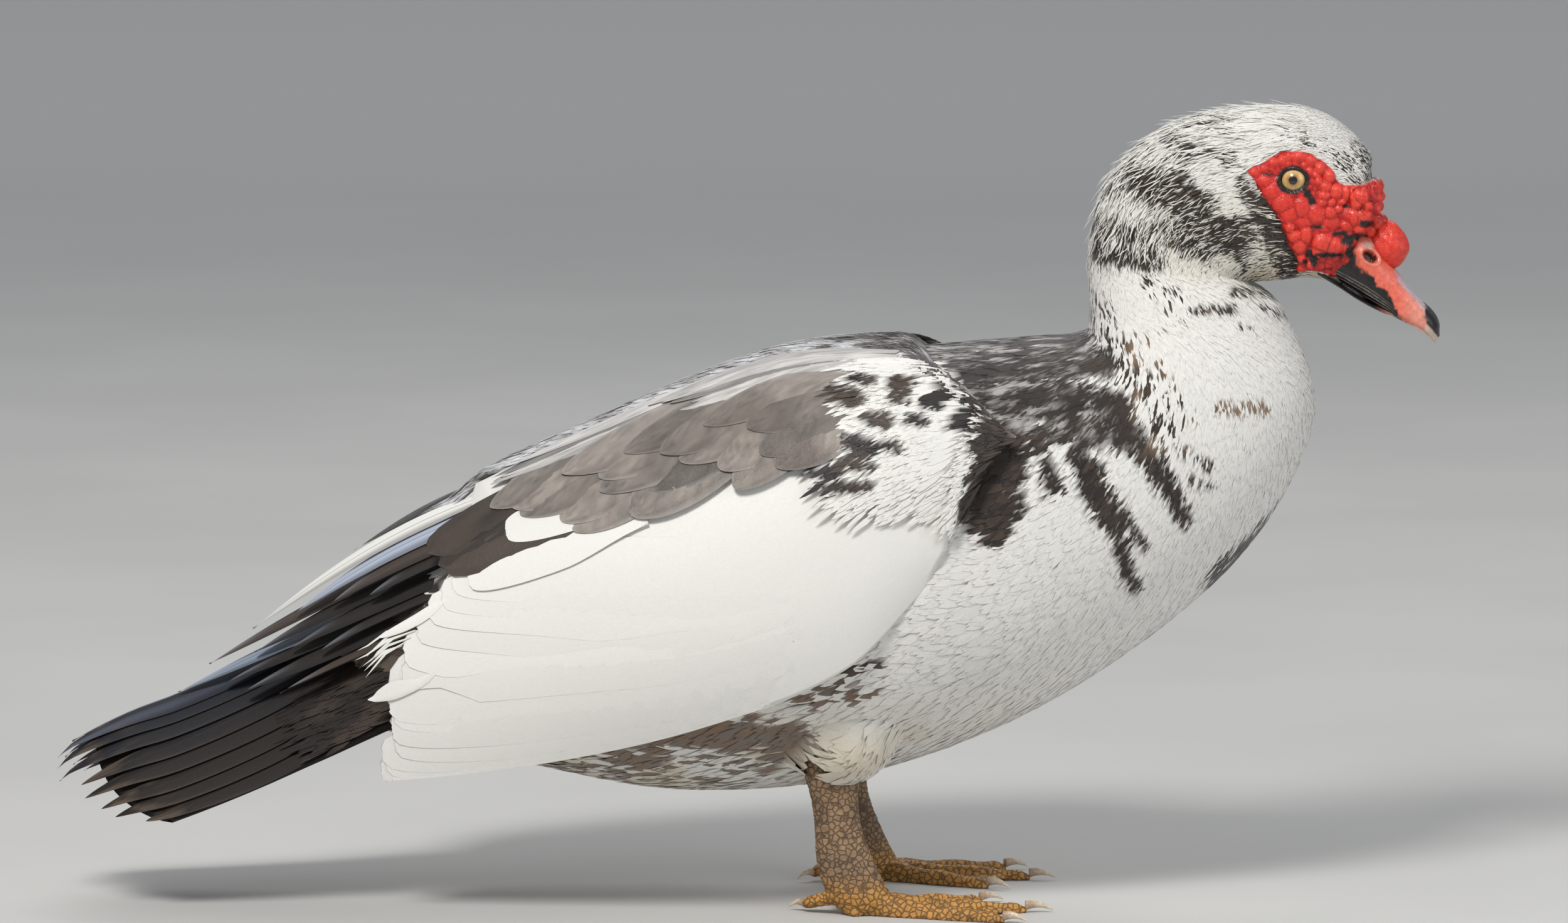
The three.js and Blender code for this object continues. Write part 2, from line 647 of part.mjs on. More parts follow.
for (const [name, side] of SIDES) {
  place(`eye_${name}`, eyeBall(side), "eye");
  const wing = wingSolid(side).add(primariesSolid(side, PRIMARIES.tips[name]));
  place(`wing_${name}`, wing.subtract(grownBody), "wingPlumage");
  const thigh = thighSolid(side).subtract(grownBody).subtract(shankSolid(side, GAP));
  place(`thigh_${name}`, thigh, "plumage");
  const shank = shankSolid(side).trimByPlane([0, 0, 1], ANKLE_Z + GAP / 2).subtract(grownBody);
  place(`shank_${name}`, shank, "scales");
  place(`foot_${name}`, footSolid(side), "web");
  for (const toe of TOES) {
    const start = toeEnd(side, { heading: toe.heading, long: toe.long + GAP });
    start.z = CLAW_RADIUS + 1.2;
    const claw = clawSolid(start, headingOf(toe.heading, side), toe.claw, CLAW_RADIUS, CLAW_RADIUS);
    place(`claw_${toe.name}_${name}`, claw, "claw");
  }
  const way = headingOf(HIND_TOE.heading, side);
  const start = new THREE.Vector3(HIND_TOE.x + ahead(side), side * LEG_Y, HIND_TOE.z - HIND_TOE.drop);
  start.addScaledVector(way, HIND_TOE.long + GAP);
  place(`claw_hind_${name}`, clawSolid(start, way, HIND_TOE.claw, 2.3, 3.4), "claw");
}

export default duck;
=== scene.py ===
"""The looks of a muscovy drake: one skin, bill, eyes, claws and a full coat of feathers.

Shapes are worked out in millimetres in the frame's axes (+X ahead, +Y to the bird's left, +Z up)
and go into Blender in metres. Feathers are laid on smooth surfaces: each starts at its root, follows
the lie of the coat and rises a little, so that its tip lies over the roots of the next ones.
"""

import logging
import math
from collections.abc import Callable
from dataclasses import dataclass, field
from enum import Enum

import bpy
import numpy as np
from mathutils import Matrix, Vector


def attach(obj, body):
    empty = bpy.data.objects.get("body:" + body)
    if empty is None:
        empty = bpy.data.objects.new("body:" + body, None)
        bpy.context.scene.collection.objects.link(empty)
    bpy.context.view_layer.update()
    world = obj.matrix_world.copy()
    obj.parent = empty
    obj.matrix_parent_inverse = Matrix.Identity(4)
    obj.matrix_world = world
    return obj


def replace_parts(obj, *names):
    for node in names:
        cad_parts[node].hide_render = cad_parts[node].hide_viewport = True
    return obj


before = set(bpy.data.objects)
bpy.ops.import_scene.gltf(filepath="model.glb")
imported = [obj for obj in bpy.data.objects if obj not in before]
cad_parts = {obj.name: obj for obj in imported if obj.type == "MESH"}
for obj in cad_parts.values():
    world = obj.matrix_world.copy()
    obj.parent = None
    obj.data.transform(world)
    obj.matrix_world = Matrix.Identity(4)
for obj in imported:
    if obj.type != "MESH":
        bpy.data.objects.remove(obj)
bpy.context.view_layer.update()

LOG = logging.getLogger("duck")
Array = np.ndarray
Painter = Callable[[Array, Array, Array], Array]  # colours from points, share along and share across
Profile = Callable[[Array], Array]  # a smooth line through points
Shell = tuple[Array, Array, Array]  # points, triangles and quads

# Driving sizes, in millimetres
METRE = 0.001  # one millimetre in metres
HEAD_TURN = math.radians(-8.0)
TURN_AXIS_X = 240.0
TURN_FROM, TURN_TO = 5.5, 8.0
WAIST = 0.47
OVAL = 2.1
RUMP_REACH = np.array([-14.0, 0.0, -4.0])
FACE_REACH = np.array([3.0, 0.0, 1.0])
# Back x, back z, belly x, belly z and half width of the body from rump to face
STATIONS = np.array([
    [-212, 160, -196, 92, 38], [-150, 208, -125, 76, 74], [-50, 260, -35, 60, 97],
    [50, 295, 62, 69, 103], [140, 306, 165, 110, 93], [180, 310, 260, 181, 74],
    [184, 322, 305, 258, 56], [183, 336, 291, 316, 42], [183, 352, 270, 336, 34],
    [194.5, 395, 274, 338, 30], [235, 426, 288, 338, 27], [299, 433, 304, 339, 24.5],
    [332.5, 412, 316, 337, 19], [335.5, 395, 320, 336, 16.5],
])
LAST = len(STATIONS) - 1
# Depth of the coat between the skin and the outline, by station
COAT_DEPTH = [
    [-1, 5], [0, 7], [4, 8], [5, 7], [6, 6], [8, 5], [9, 4.5], [10, 3], [11, 1.6], [12, 1], [14, 0.6],
]
EYE_PLACE = np.array([295.5, 17.2, 394.5])
EYE_RADIUS = 8.0
KNOB_PLACE = np.array([345.4, 0.0, 357.8])
HEAD_FROM = 258.0  # where the head begins along the body
FAR = 9.0  # a distance from a ring that is well outside it
LEG_Y = 56.0
LEFT_AHEAD = 5.0
THIGH_PLACE = np.array([47.0, LEG_Y, 104.0])
THIGH_SIZE = np.array([33.0, 21.0, 32.0])
THIGH_BLEND = 6.0  # over which a thigh runs into the belly
THIGH_COAT = 5.0  # depth of the coat over a thigh
CAMERA_TARGET = np.array([18.7, 0.0, 238.8])
CAMERA_DISTANCE = 4500.0
CAMERA_UP = math.radians(7.0)
PHOTO_WIDTH = 850.0  # of the subject, across the photograph's frame


class Side(Enum):
    """The two sides of the bird. The value is the sign of Y."""

    RIGHT = -1
    LEFT = 1


def unit(v: Array) -> Array:
    """Vectors scaled to length one."""
    return v / np.maximum(np.linalg.norm(v, axis=-1, keepdims=True), 1e-12)


def dot(a: Array, b: Array) -> Array:
    """Dot products of two arrays of vectors."""
    return np.einsum("...i,...i->...", a, b)


def smooth(x: Array, low: float, high: float) -> Array:
    """Smooth step: 0 below low, 1 above high, 3t² - 2t³ between."""
    t = np.clip((x - low) / (high - low), 0.0, 1.0)
    return t * t * (3.0 - 2.0 * t)


def shares(count: int) -> Array:
    """Even shares from 0 to 1, as a column."""
    return np.linspace(0, 1, count)[:, None]


def angles(count: int) -> Array:
    """Even angles round a full turn, as a row."""
    return np.linspace(0, 2 * math.pi, count, endpoint=False)[None, :]


def line(points: list) -> Callable[[Array], Array]:
    """A smooth function through points (at, value).

    Between two points it is the cubic whose end slopes are those of the chords over the neighbours.

    Args:
        points: the points, with rising first numbers.

    Returns:
        The function, which works on whole arrays.
    """
    x, y = np.asarray(points, float).T
    count = np.arange(len(x))
    before, after = np.maximum(count - 1, 0), np.minimum(count + 1, len(x) - 1)
    slope = (y[after] - y[before]) / (x[after] - x[before])

    def at(q: Array) -> Array:
        """The value at any place, held at the first and last point's outside them.

        Args:
            q: places, as an array of any shape.

        Returns:
            The values there.
        """
        i = np.searchsorted(x[1:-1], q)
        h = x[i + 1] - x[i]
        t = np.clip((q - x[i]) / h, 0.0, 1.0)
        bend = (1 - t) * slope[i] - t * slope[i + 1] + (2 * t - 1) * (y[i + 1] - y[i]) / h
        return y[i] + (y[i + 1] - y[i]) * t + h * t * (1 - t) * bend

    return at


def grid_hash(c: Array) -> Array:
    """A number for each corner of a grid, from its three counts times large primes."""
    return (c[..., 0] * 73856093) ^ (c[..., 1] * 19349663) ^ (c[..., 2] * 83492791)


def noise(p: Array, size: float, seed: int = 0) -> Array:
    """Smooth value noise from 0 to 1 with features of a size, from a hash of the grid corners.

    Args:
        p: points (..., 3).
        size: the width of a feature.
        seed: another number gives another pattern.

    Returns:
        One value for each point.
    """
    q = p / size + 31.7 * seed
    cell = np.floor(q).astype(np.int64)
    f = q - cell
    f = f * f * (3 - 2 * f)
    total = np.zeros(p.shape[:-1])
    for corner in np.ndindex(2, 2, 2):
        h = (grid_hash(cell + np.array(corner)) * 1103515245 + 12345) & 0x7FFFFFFF
        h = (h ^ (h >> 13)) * 1540483477 & 0x7FFFFFFF
        weight = np.prod(np.where(corner, f, 1 - f), axis=-1)
        total += weight * ((h >> 7) & 0xFFFF) / 65535.0
    return total


def turned(p: Array, share: Array | float = 1.0) -> Array:
    """Points turned about the upright axis of the head by a share of the head's turn.

    Args:
        p: points (..., 3).
        share: share of the head's turn, for all points or for each.

    Returns:
        The turned points.
    """
    c, s = np.cos(HEAD_TURN * share), np.sin(HEAD_TURN * share)
    dx = p[..., 0] - TURN_AXIS_X
    return np.stack([TURN_AXIS_X + c * dx - s * p[..., 1], s * dx + c * p[..., 1], p[..., 2]], -1)


def picture(p: Array) -> tuple[Array, Array]:
    """Where points appear across and up in the side view, in millimetres in the middle plane.

    The left side is folded onto the right one, so that both carry the same markings.

    Args:
        p: points (..., 3).

    Returns:
        Their place across and their height in the view.
    """
    q = np.stack([p[..., 0], -np.abs(p[..., 1]), p[..., 2]], -1) - CAMERA_TARGET
    deep = CAMERA_DISTANCE + q[..., 1] * math.cos(CAMERA_UP) - q[..., 2] * math.sin(CAMERA_UP)
    near = CAMERA_DISTANCE / deep
    up = q[..., 2] + q[..., 1] * math.tan(CAMERA_UP)
    return CAMERA_TARGET[0] + q[..., 0] * near, CAMERA_TARGET[2] + up * near


def faced(p: Array) -> Array:
    """Head points folded onto the right side in the head's own unturned axes, and turned again.

    Args:
        p: points (..., 3).

    Returns:
        The folded points.
    """
    back = turned(p, -1.0)
    back[..., 1] = -np.abs(back[..., 1])
    return turned(back)


# Surfaces that feathers lie on


@dataclass
class Spot:
    """Points of a surface with what is needed to lay something on them."""

    at: Array
    along: Array
    around: Array
    normal: Array


class Surface:
    """A smooth surface over two parameters, kept as a fine table of points, tangents and normals."""

    def __init__(self, shape: Callable[[Array, Array], Array], u: tuple, v: tuple, size: tuple,
                 closed: bool = False, flip: bool = False) -> None:
        """Makes the table.

        Args:
            shape: gives points for u (n, 1) and v (1, m).
            u: first and last u. Feathers lie towards lower u.
            v: first and last v.
            size: number of rows and columns.
            closed: whether v runs round and meets itself.
            flip: whether the normals of the formula point inwards.
        """
        self.u, self.v, self.size, self.closed = u, v, size, closed
        us = np.linspace(*u, size[0])
        vs = np.linspace(*v, size[1], endpoint=not closed)
        self.du, self.dv = us[1] - us[0], vs[1] - vs[0]
        points = shape(us[:, None], vs[None, :])
        along = np.gradient(points, self.du, axis=0)
        if closed:
            around = (np.roll(points, -1, 1) - np.roll(points, 1, 1)) / (2 * self.dv)
        else:
            around = np.gradient(points, self.dv, axis=1)
        normal = unit(np.cross(along, around)) * (-1.0 if flip else 1.0)
        self.table = np.concatenate([points, along, around, normal], -1)

    def sample(self, u: Array, v: Array) -> Spot:
        """The surface at any parameters, straight between the table's nodes.

        Args:
            u: place along the surface.
            v: place across it or round it.

        Returns:
            Points, tangents and normals there.
        """
        row = np.clip((u - self.u[0]) / self.du, 0, self.size[0] - 1.001)
        column = (v - self.v[0]) / self.dv
        if self.closed:
            column = np.mod(column, self.size[1])
        else:
            column = np.clip(column, 0, self.size[1] - 1.001)
        i, j = row.astype(int), column.astype(int) % self.size[1]
        k = (j + 1) % self.size[1]
        f, g = (row - i)[..., None], (column - np.floor(column))[..., None]
        t = self.table
        got = (t[i, j] * (1 - g) + t[i, k] * g) * (1 - f) + (t[i + 1, j] * (1 - g) + t[i + 1, k] * g) * f
        return Spot(got[..., 0:3], got[..., 3:6], got[..., 6:9], unit(got[..., 9:12]))

    def shifted(self, u: Array, v: Array, move: Array, spot: Spot) -> tuple[Array, Array]:
        """Parameters after a small move in space, by least squares on the two tangents.

        Args:
            u: place along the surface.
            v: place across it or round it.
            move: the moves (..., 3).
            spot: the surface at the points.

        Returns:
            The new u and v.
        """
        e, f, g = dot(spot.along, spot.along), dot(spot.along, spot.around), dot(spot.around, spot.around)
        p, q = dot(move, spot.along), dot(move, spot.around)
        det = np.maximum(e * g - f * f, 1e-6 * e * g + 1e-9)
        return u + (g * p - f * q) / det, v + (e * q - f * p) / det

    def fall_sign(self, v: Array) -> Array:
        """1 where rising v goes towards the belly, and -1 on the far half of a closed surface.

        Args:
            v: place across it or round it.

        Returns:
            1 or -1 for each.
        """
        if not self.closed:
            return np.ones_like(v)
        return np.where(np.mod(v, self.v[1]) < 0.5 * (self.v[0] + self.v[1]), 1.0, -1.0)

    def lie(self, spot: Spot, v: Array, heading: Array) -> Array:
        """The direction of the coat: towards lower u, turned by a heading towards the belly.

        Args:
            spot: the surface at the points.
            v: place across it or round it.
            heading: angle from the lie of the coat, towards the belly.

        Returns:
            Unit vectors along the surface.
        """
        back = -unit(spot.along)
        fall = spot.around * self.fall_sign(v)[..., None]
        fall = unit(fall - back * dot(fall, back)[..., None])
        return back * np.cos(heading)[..., None] + fall * np.sin(heading)[..., None]

    def march(self, u: Array, v: Array, heading: Array, length: Array, steps: Array,
              swirl: Array | float = 0.0) -> tuple[Array, Array]:
        """Centre lines that run over the surface with the lie of the coat.

        Args:
            u, v: roots (n,).
            heading: angle from the lie, towards the belly (n,).
            length: length of each line (n,).
            steps: shares of the length from 0 to 1 (rows,).
            swirl: how far the heading turns from root to tip (n,).

        Returns:
            Parameters of the points of each line, two arrays (n, rows).
        """
        us, vs = [u], [v]
        for before, after in zip(steps, steps[1:]):
            spot = self.sample(us[-1], vs[-1])
            turn = heading + swirl * (0.5 * (before + after) - 0.5)
            move = self.lie(spot, vs[-1], turn) * (length * (after - before))[:, None]
            nu, nv = self.shifted(us[-1], vs[-1], move, spot)
            us.append(nu)
            vs.append(nv)
        return np.stack(us, 1), np.stack(vs, 1)


def cap_share(u: Array) -> tuple[Array, Array]:
    """Size and reach of a ring past the first or last station, on a quarter turn."""
    past = np.clip(np.maximum(-u, u - LAST), 0.0, 1.0) * math.pi / 2
    return np.cos(past), np.sin(past)


STATION_LINES = [line(list(zip(range(LAST + 1), column))) for column in STATIONS.T]
DEPTH_LINE = line(COAT_DEPTH)


def body_point(u: Array, a: Array, depth: Array | float) -> Array:
    """The body's outline, a depth inside the CAD solids' surface.

    A ring is a squared oval in the plane of its station: c = |cos a|^(2/n) goes from the waist to the
    back or the belly and |sin a|^(2/n) to the sides. Past the first and last station the rings shrink
    on a quarter turn to a point. The head's share of the turn grows along the neck.

    Args:
        u: station number, from -1 at the rump's point to LAST + 1 at the face's.
        a: angle round the body, 0 at the back and pi at the belly, rising over the left side.
        depth: how far inside the outline.

    Returns:
        Points (..., 3).
    """
    u, a = np.broadcast_arrays(np.asarray(u, float), np.asarray(a, float))
    s = np.clip(u, 0.0, LAST)
    bx, bz, vx, vz, half = (f(s) for f in STATION_LINES)
    back = np.stack([bx, np.zeros_like(bx), bz], -1)
    down = np.stack([vx - bx, np.zeros_like(bx), vz - bz], -1)
    tall = np.linalg.norm(down, axis=-1)
    down = down / tall[..., None]
    cos, sin = np.cos(a), np.sin(a)
    reach = np.where(cos >= 0, WAIST * tall, (1 - WAIST) * tall) - depth
    size, past = cap_share(u)
    c = np.sign(cos) * np.abs(cos) ** (2 / OVAL)
    p = back + down * ((WAIST * tall - reach * c * size)[..., None])
    p[..., 1] = (half - depth) * size * np.sign(sin) * np.abs(sin) ** (2 / OVAL)
    ahead = np.where((u < 0)[..., None], RUMP_REACH, FACE_REACH)
    p = p + ahead * past[..., None]
    lean = (0.5 - WAIST) * tall * (1 - size)
    p = p + down * lean[..., None]
    return turned(p, smooth(s, TURN_FROM, TURN_TO))


def with_thighs(p: Array, normal: Array, depth: float) -> Array:
    """Body points pushed down over the thighs.

    The thigh is an egg. Under it, a point that faces down takes the lower of its own height and the
    egg's, blended over a few millimetres by a smooth minimum.

    Args:
        p: points (..., 3).
        normal: the normals at the points.
        depth: depth of the coat over a thigh.

    Returns:
        The pushed points.
    """
    side = np.where(p[..., 1] > 0, 1.0, -1.0)
    place = THIGH_PLACE * np.stack([np.ones_like(side), side, np.ones_like(side)], -1)
    place[..., 0] += np.where(side > 0, LEFT_AHEAD, 0.0)
    q = (p - place) / (THIGH_SIZE - depth)
    flat = q[..., 0] ** 2 + q[..., 1] ** 2
    egg = place[..., 2] - (THIGH_SIZE[2] - depth) * np.sqrt(np.clip(1 - flat, 0, 1))
    gap = np.clip(0.5 + 0.5 * (p[..., 2] - egg) / THIGH_BLEND, 0, 1)
    low = p[..., 2] * (1 - gap) + egg * gap - THIGH_BLEND * gap * (1 - gap)
    use = (normal[..., 2] < 0) & (flat < 1)
    out = p.copy()
    out[..., 2] = np.where(use, np.minimum(low, p[..., 2]), p[..., 2])
    return out


def skin_shape(u: Array, a: Array) -> Array:
    """The skin's smooth form under the coat, with the thighs and without the warts of the head.

    Args:
        u: place along the surface.
        a: angle round the body.

    Returns:
        Points (..., 3).
    """
    p = body_point(u, a, DEPTH_LINE(u + 0 * a))
    if min(p.shape[:2]) < 2:
        return p
    along = np.gradient(p, axis=0)
    around = np.gradient(p, axis=1)
    return with_thighs(p, unit(np.cross(along, around)), THIGH_COAT)


# Meshes


@dataclass
class Sheaf:
    """Arrays of many closed pieces on their way into one mesh."""

    points: list = field(default_factory=list)
    faces: list = field(default_factory=list)
    normals: list = field(default_factory=list)
    colours: list = field(default_factory=list)
    vanes: list = field(default_factory=list)
    places: list = field(default_factory=list)
    rims: list = field(default_factory=list)
    count: int = 0

    def add(self, points: Array, faces: Array, rims: Array, normals: Array, colours: Array, vanes: Array,
            places: Array) -> None:
        """Adds one array of each. Normals, colours, vanes and places are kept for the whole mesh.

        Args:
            points: points (n, 3).
            faces: triangles (m, 3).
            rims: whether each point is on a rim (n,).
            normals: corner normals (3 m, 3).
            colours: a colour for each point.
            vanes: place across and along the feather and its shaft, for each point.
            places: the place of each point on the bake map.
        """
        self.points.append(points)
        self.faces.append(faces + self.count)
        self.rims.append(rims)
        self.normals.append(normals)
        self.colours.append(colours)
        self.vanes.append(vanes)
        self.places.append(places)
        self.count += len(points)


def mesh_object(name: str, points: Array, faces: Array, quads: Array | None = None) -> bpy.types.Object:
    """A mesh object in metres from points in millimetres.

    Args:
        name: the object's name.
        points: (n, 3) in millimetres.
        faces: triangles (m, 3).
        quads: four-cornered faces (k, 4), or None.

    Returns:
        The object, linked to the scene, with smooth faces.
    """
    corners = faces.reshape(-1)
    starts = np.arange(len(faces)) * 3
    if quads is not None:
        starts = np.concatenate([starts, len(corners) + np.arange(len(quads)) * 4])
        corners = np.concatenate([corners, quads.reshape(-1)])
    mesh = bpy.data.meshes.new(name)
    mesh.vertices.add(len(points))
    mesh.vertices.foreach_set("co", (points * METRE).astype(np.float32).reshape(-1))
    mesh.loops.add(len(corners))
    mesh.loops.foreach_set("vertex_index", corners.astype(np.int32))
    mesh.polygons.add(len(starts))
    mesh.polygons.foreach_set("loop_start", starts.astype(np.int32))
    mesh.polygons.foreach_set("use_smooth", np.ones(len(starts), bool))
    mesh.update(calc_edges=True)
    made = bpy.data.objects.new(name, mesh)
    bpy.context.scene.collection.objects.link(made)
    return made


def corner_vertices(mesh: bpy.types.Mesh) -> Array:
    """The vertex number of each corner of a mesh.

    Args:
        mesh: the mesh.

    Returns:
        The numbers, in the order of the corners.
    """
    index = np.empty(len(mesh.loops), np.int32)
    mesh.loops.foreach_get("vertex_index", index)
    return index


def set_tint(mesh: bpy.types.Mesh, rgb: Array) -> None:
    """Stores a colour for each vertex as Tint.

    Args:
        mesh: the mesh.
        rgb: the colours (n, 3).
    """
    rgba = np.ones((len(rgb), 4), np.float32)
    rgba[:, :3] = rgb
    layer = mesh.attributes.new("Tint", "FLOAT_COLOR", "POINT")
    layer.data.foreach_set("color", rgba.reshape(-1))


def set_vector(mesh: bpy.types.Mesh, name: str, values: Array) -> None:
    """Stores a vector for each vertex under a name."""
    layer = mesh.attributes.new(name, "FLOAT_VECTOR", "POINT")
    layer.data.foreach_set("vector", values.astype(np.float32).reshape(-1))


def set_bake_map(mesh: bpy.types.Mesh, places: Array) -> None:
    """Gives a mesh its OFBake map from a place on the map for each vertex."""
    layer = mesh.uv_layers.new(name="OFBake")
    layer.uv.foreach_set("vector", places[corner_vertices(mesh)].astype(np.float32).reshape(-1))


def grid_faces(rows: int, columns: int, closed: bool) -> Array:
    """Quads (n, 4) over a grid of rows by columns, whose columns may run round and meet.

    Args:
        rows: number of rows.
        columns: number of columns.
        closed: whether the last column meets the first.

    Returns:
        The corner numbers of each quad.
    """
    i = np.arange(rows - 1)[:, None]
    j = np.arange(columns if closed else columns - 1)[None, :]
    k = (j + 1) % columns
    corners = [i * columns + j, (i + 1) * columns + j, (i + 1) * columns + k, i * columns + k]
    return np.stack(np.broadcast_arrays(*corners), -1).reshape(-1, 4)


def tube(rings: Array) -> Shell:
    """A closed tube from rings (rows, columns, 3), with a point in the middle of each end.

    Args:
        rings: rings of points (rows, columns, 3).

    Returns:
        Points, triangles of the two ends, and quads between the rings. The faces look outwards if the
        rings run anticlockwise when seen against the way from first to last ring.
    """
    rows, columns = rings.shape[:2]
    ends = np.stack([rings[0].mean(0), rings[-1].mean(0)])
    points = np.concatenate([rings.reshape(-1, 3), ends])
    quads = grid_faces(rows, columns, True)[:, [0, 3, 2, 1]]
    j = np.arange(columns)
    k = (j + 1) % columns
    foot, top = np.full(columns, rows * columns), (rows - 1) * columns
    first = np.stack([foot, k, j], -1)
    last = np.stack([foot + 1, top + j, top + k], -1)
    return points, np.concatenate([first, last]), quads


def tube_colours(rings: Array) -> Array:
    """Colours of a tube's points from those of its rings. Each end point takes the mean of its ring."""
    return np.concatenate([rings.reshape(-1, 3), np.stack([rings[0].mean(0), rings[-1].mean(0)])])


# Markings: where the coat is dark, seen from the side


@dataclass(frozen=True)
class Mark:
    """A patch of darker feathers in the side view: a straight stroke with a reach around it."""

    x0: float
    h0: float
    x1: float
    h1: float
    reach: float
    share: float = 1.0  # share of its feathers that are dark
    soft: float = 0.35  # part of the reach over which it fades


MARKS = [Mark(*row) for row in (
    (178, 242, 192, 210, 8, 0.97, 0.5), (192, 210, 206, 174, 4.5, 0.97, 0.6),  # long band
    (200, 212, 211, 195, 3.2, 0.9, 0.7),
    (198, 262, 222, 230, 7, 0.95, 0.5), (222, 230, 233, 210, 5, 0.97, 0.6),
    (233, 244, 246, 236, 3.0, 0.7, 0.7), (236, 230, 247, 225, 2.6, 0.7, 0.7),
    (138, 252, 128, 212, 17, 1.0, 0.3),  # patch at the bend of the wing
    (154, 248, 164, 224, 6, 0.85, 0.6),
    (247, 178, 284, 213, 5.5, 0.85, 0.6),  # front of the lower breast
    (186, 310, 212, 276, 11, 0.50, 0.8), (212, 272, 222, 252, 9, 0.45, 0.8),
    (211, 304, 236, 315, 6, 0.22, 0.8), (216, 296, 233, 263, 8, 0.30, 0.8),
    (254, 267, 275, 268, 4.0, 0.60, 0.6),  # single spots on the breast and neck
    (239, 319, 260, 320, 2.6, 0.85, 0.6), (261, 328, 274, 328, 3, 0.6, 0.6),
    (263, 312, 270, 308, 2.4, 0.5, 0.6),
    (187, 330, 198, 316, 7, 0.40, 0.8), (219, 336, 234, 320, 7, 0.32, 0.8),
    (270, 333, 282, 327, 3.5, 0.7, 0.7), (276, 320, 284, 316, 2.4, 0.6, 0.6),
    (212, 392, 234, 386, 9, 0.95, 0.7),  # hind head
    (200, 390, 218, 384, 9, 0.60, 0.8),
    (227, 382, 244, 374, 12, 1.0, 0.7), (242, 368, 264, 361, 12, 1.0, 0.7),
    (228, 364, 240, 360, 12, 0.80, 0.7),
    (194, 366, 220, 361, 9, 0.68, 0.8), (196, 352, 220, 347, 7, 0.95, 0.6),
    (252, 352, 274, 347, 7, 0.48, 0.8),
    (238, 426, 262, 418, 6, 0.45, 0.8), (229, 412, 262, 402, 6, 0.60, 0.8),
    (198, 412, 235, 402, 8, 0.28, 0.8), (262, 420, 300, 414, 8, 0.14, 0.8),
    (268, 388, 276, 377, 5, 0.97, 0.6), (279, 376, 293, 347, 8, 1.0, 0.4),  # cheek
    (320, 404, 330, 394, 6, 0.50, 0.8), (304, 413, 320, 404, 6, 0.35, 0.8),  # forehead
    (331, 410, 336, 392, 5, 0.55, 0.8),
    (30, 118, 62, 124, 12, 0.5, 0.7),  # flank by the leg
    (-60, 74, 12, 80, 9, 0.45, 0.7),
    (-190, 120, -60, 92, 24, 0.80, 0.6),  # under the wing and round the vent
    (-120, 102, 26, 92, 9, 0.92, 0.5),
    (-240, 150, -170, 130, 40, 1.0, 0.3),  # rump
)]
# Mottled dark feathers between the shoulders
MANTLE = [Mark(*row) for row in (
    (88, 293, 184, 303, 7, 1.0, 0.4), (116, 284, 192, 288, 10, 1.0, 0.3),
    (142, 270, 198, 266, 11), (166, 254, 204, 252, 10, 1.0, 0.4),
    (120, 274, 150, 258, 8, 0.9, 0.5),
)]
# Single dark feathers among the small ones of the wing
SPOTS = [Mark(*row) for row in (
    (79, 281, 86, 279, 4.6), (78, 272, 84, 271, 3.4),
    (48, 274, 58, 271, 5.2), (56, 283, 66, 281, 3.2),
    (28, 279, 40, 276, 6.0), (96, 270, 102, 269, 4.6),
    (101, 277, 106, 276, 3.4), (112, 259, 117, 258, 4.6),
    (116, 265, 120, 264, 3.0), (62, 262, 74, 259, 4.2),
    (86, 261, 94, 259, 2.8), (52, 249, 64, 244, 5.4, 1.0, 0.4),
    (70, 247, 81, 245, 2.8), (52, 238, 66, 234, 3.2, 1.0, 0.4),
    (22, 231, 48, 233, 3.6, 0.95, 0.4), (42, 224, 64, 225, 3.4, 1.0, 0.4),
    (6, 217, 40, 221, 4.6, 0.8, 0.5), (24, 254, 38, 244, 7.0, 0.9, 0.5),
    (94, 288, 118, 284, 4, 0.5, 0.6), (118, 276, 136, 262, 7, 0.9, 0.5),
    (138, 252, 128, 212, 17, 1.0, 0.3),
)]


def dark_share(p: Array, marks: list[Mark], seed: int) -> Array:
    """The share of dark feathers at points: the strongest of the marks, their edges pushed about by noise.

    Args:
        p: points (..., 3).
        marks: the dark patches.
        seed: another number gives another pattern.

    Returns:
        A share for each point.
    """
    x, h = picture(p)
    wobble = noise(p, 9.0, seed) - 0.5 + 0.6 * (noise(p, 3.5, seed + 1) - 0.5)
    share = np.zeros(x.shape)
    for m in marks:
        dx, dh = m.x1 - m.x0, m.h1 - m.h0
        t = np.clip(((x - m.x0) * dx + (h - m.h0) * dh) / (dx * dx + dh * dh), 0, 1)
        away = np.hypot(x - m.x0 - t * dx, h - m.h0 - t * dh) / m.reach + 0.45 * wobble
        share = np.maximum(share, m.share * (1 - smooth(away, 1 - m.soft, 1 + m.soft)))
    return share


@dataclass(frozen=True)
class Paints:
    """Base colours of the plumage and bare parts, as linear RGB."""

    white: tuple = (0.80, 0.785, 0.75)
    cream: tuple = (0.66, 0.58, 0.42)
    black: tuple = (0.018, 0.015, 0.014)
    brown: tuple = (0.060, 0.042, 0.032)
    tan: tuple = (0.30, 0.20, 0.13)
    grey: tuple = (0.235, 0.205, 0.18)
    pale: tuple = (0.55, 0.53, 0.51)
    tail: tuple = (0.016, 0.012, 0.010)
    red: tuple = (0.62, 0.022, 0.016)
    # Painted light on the mask: a darker red for its creases is painted shade, a brighter red for the tops of
    # its warts is painted highlight.
    crease_shade_red: tuple = (0.22, 0.006, 0.006)
    highlight_red: tuple = (0.80, 0.062, 0.036)
    pink: tuple = (0.74, 0.15, 0.10)
    bone: tuple = (0.62, 0.47, 0.38)
    leg: tuple = (0.30, 0.19, 0.105)
    web: tuple = (0.55, 0.27, 0.06)
    sole: tuple = (0.52, 0.30, 0.22)
    soot: tuple = (0.012, 0.010, 0.010)


PAINT = Paints()


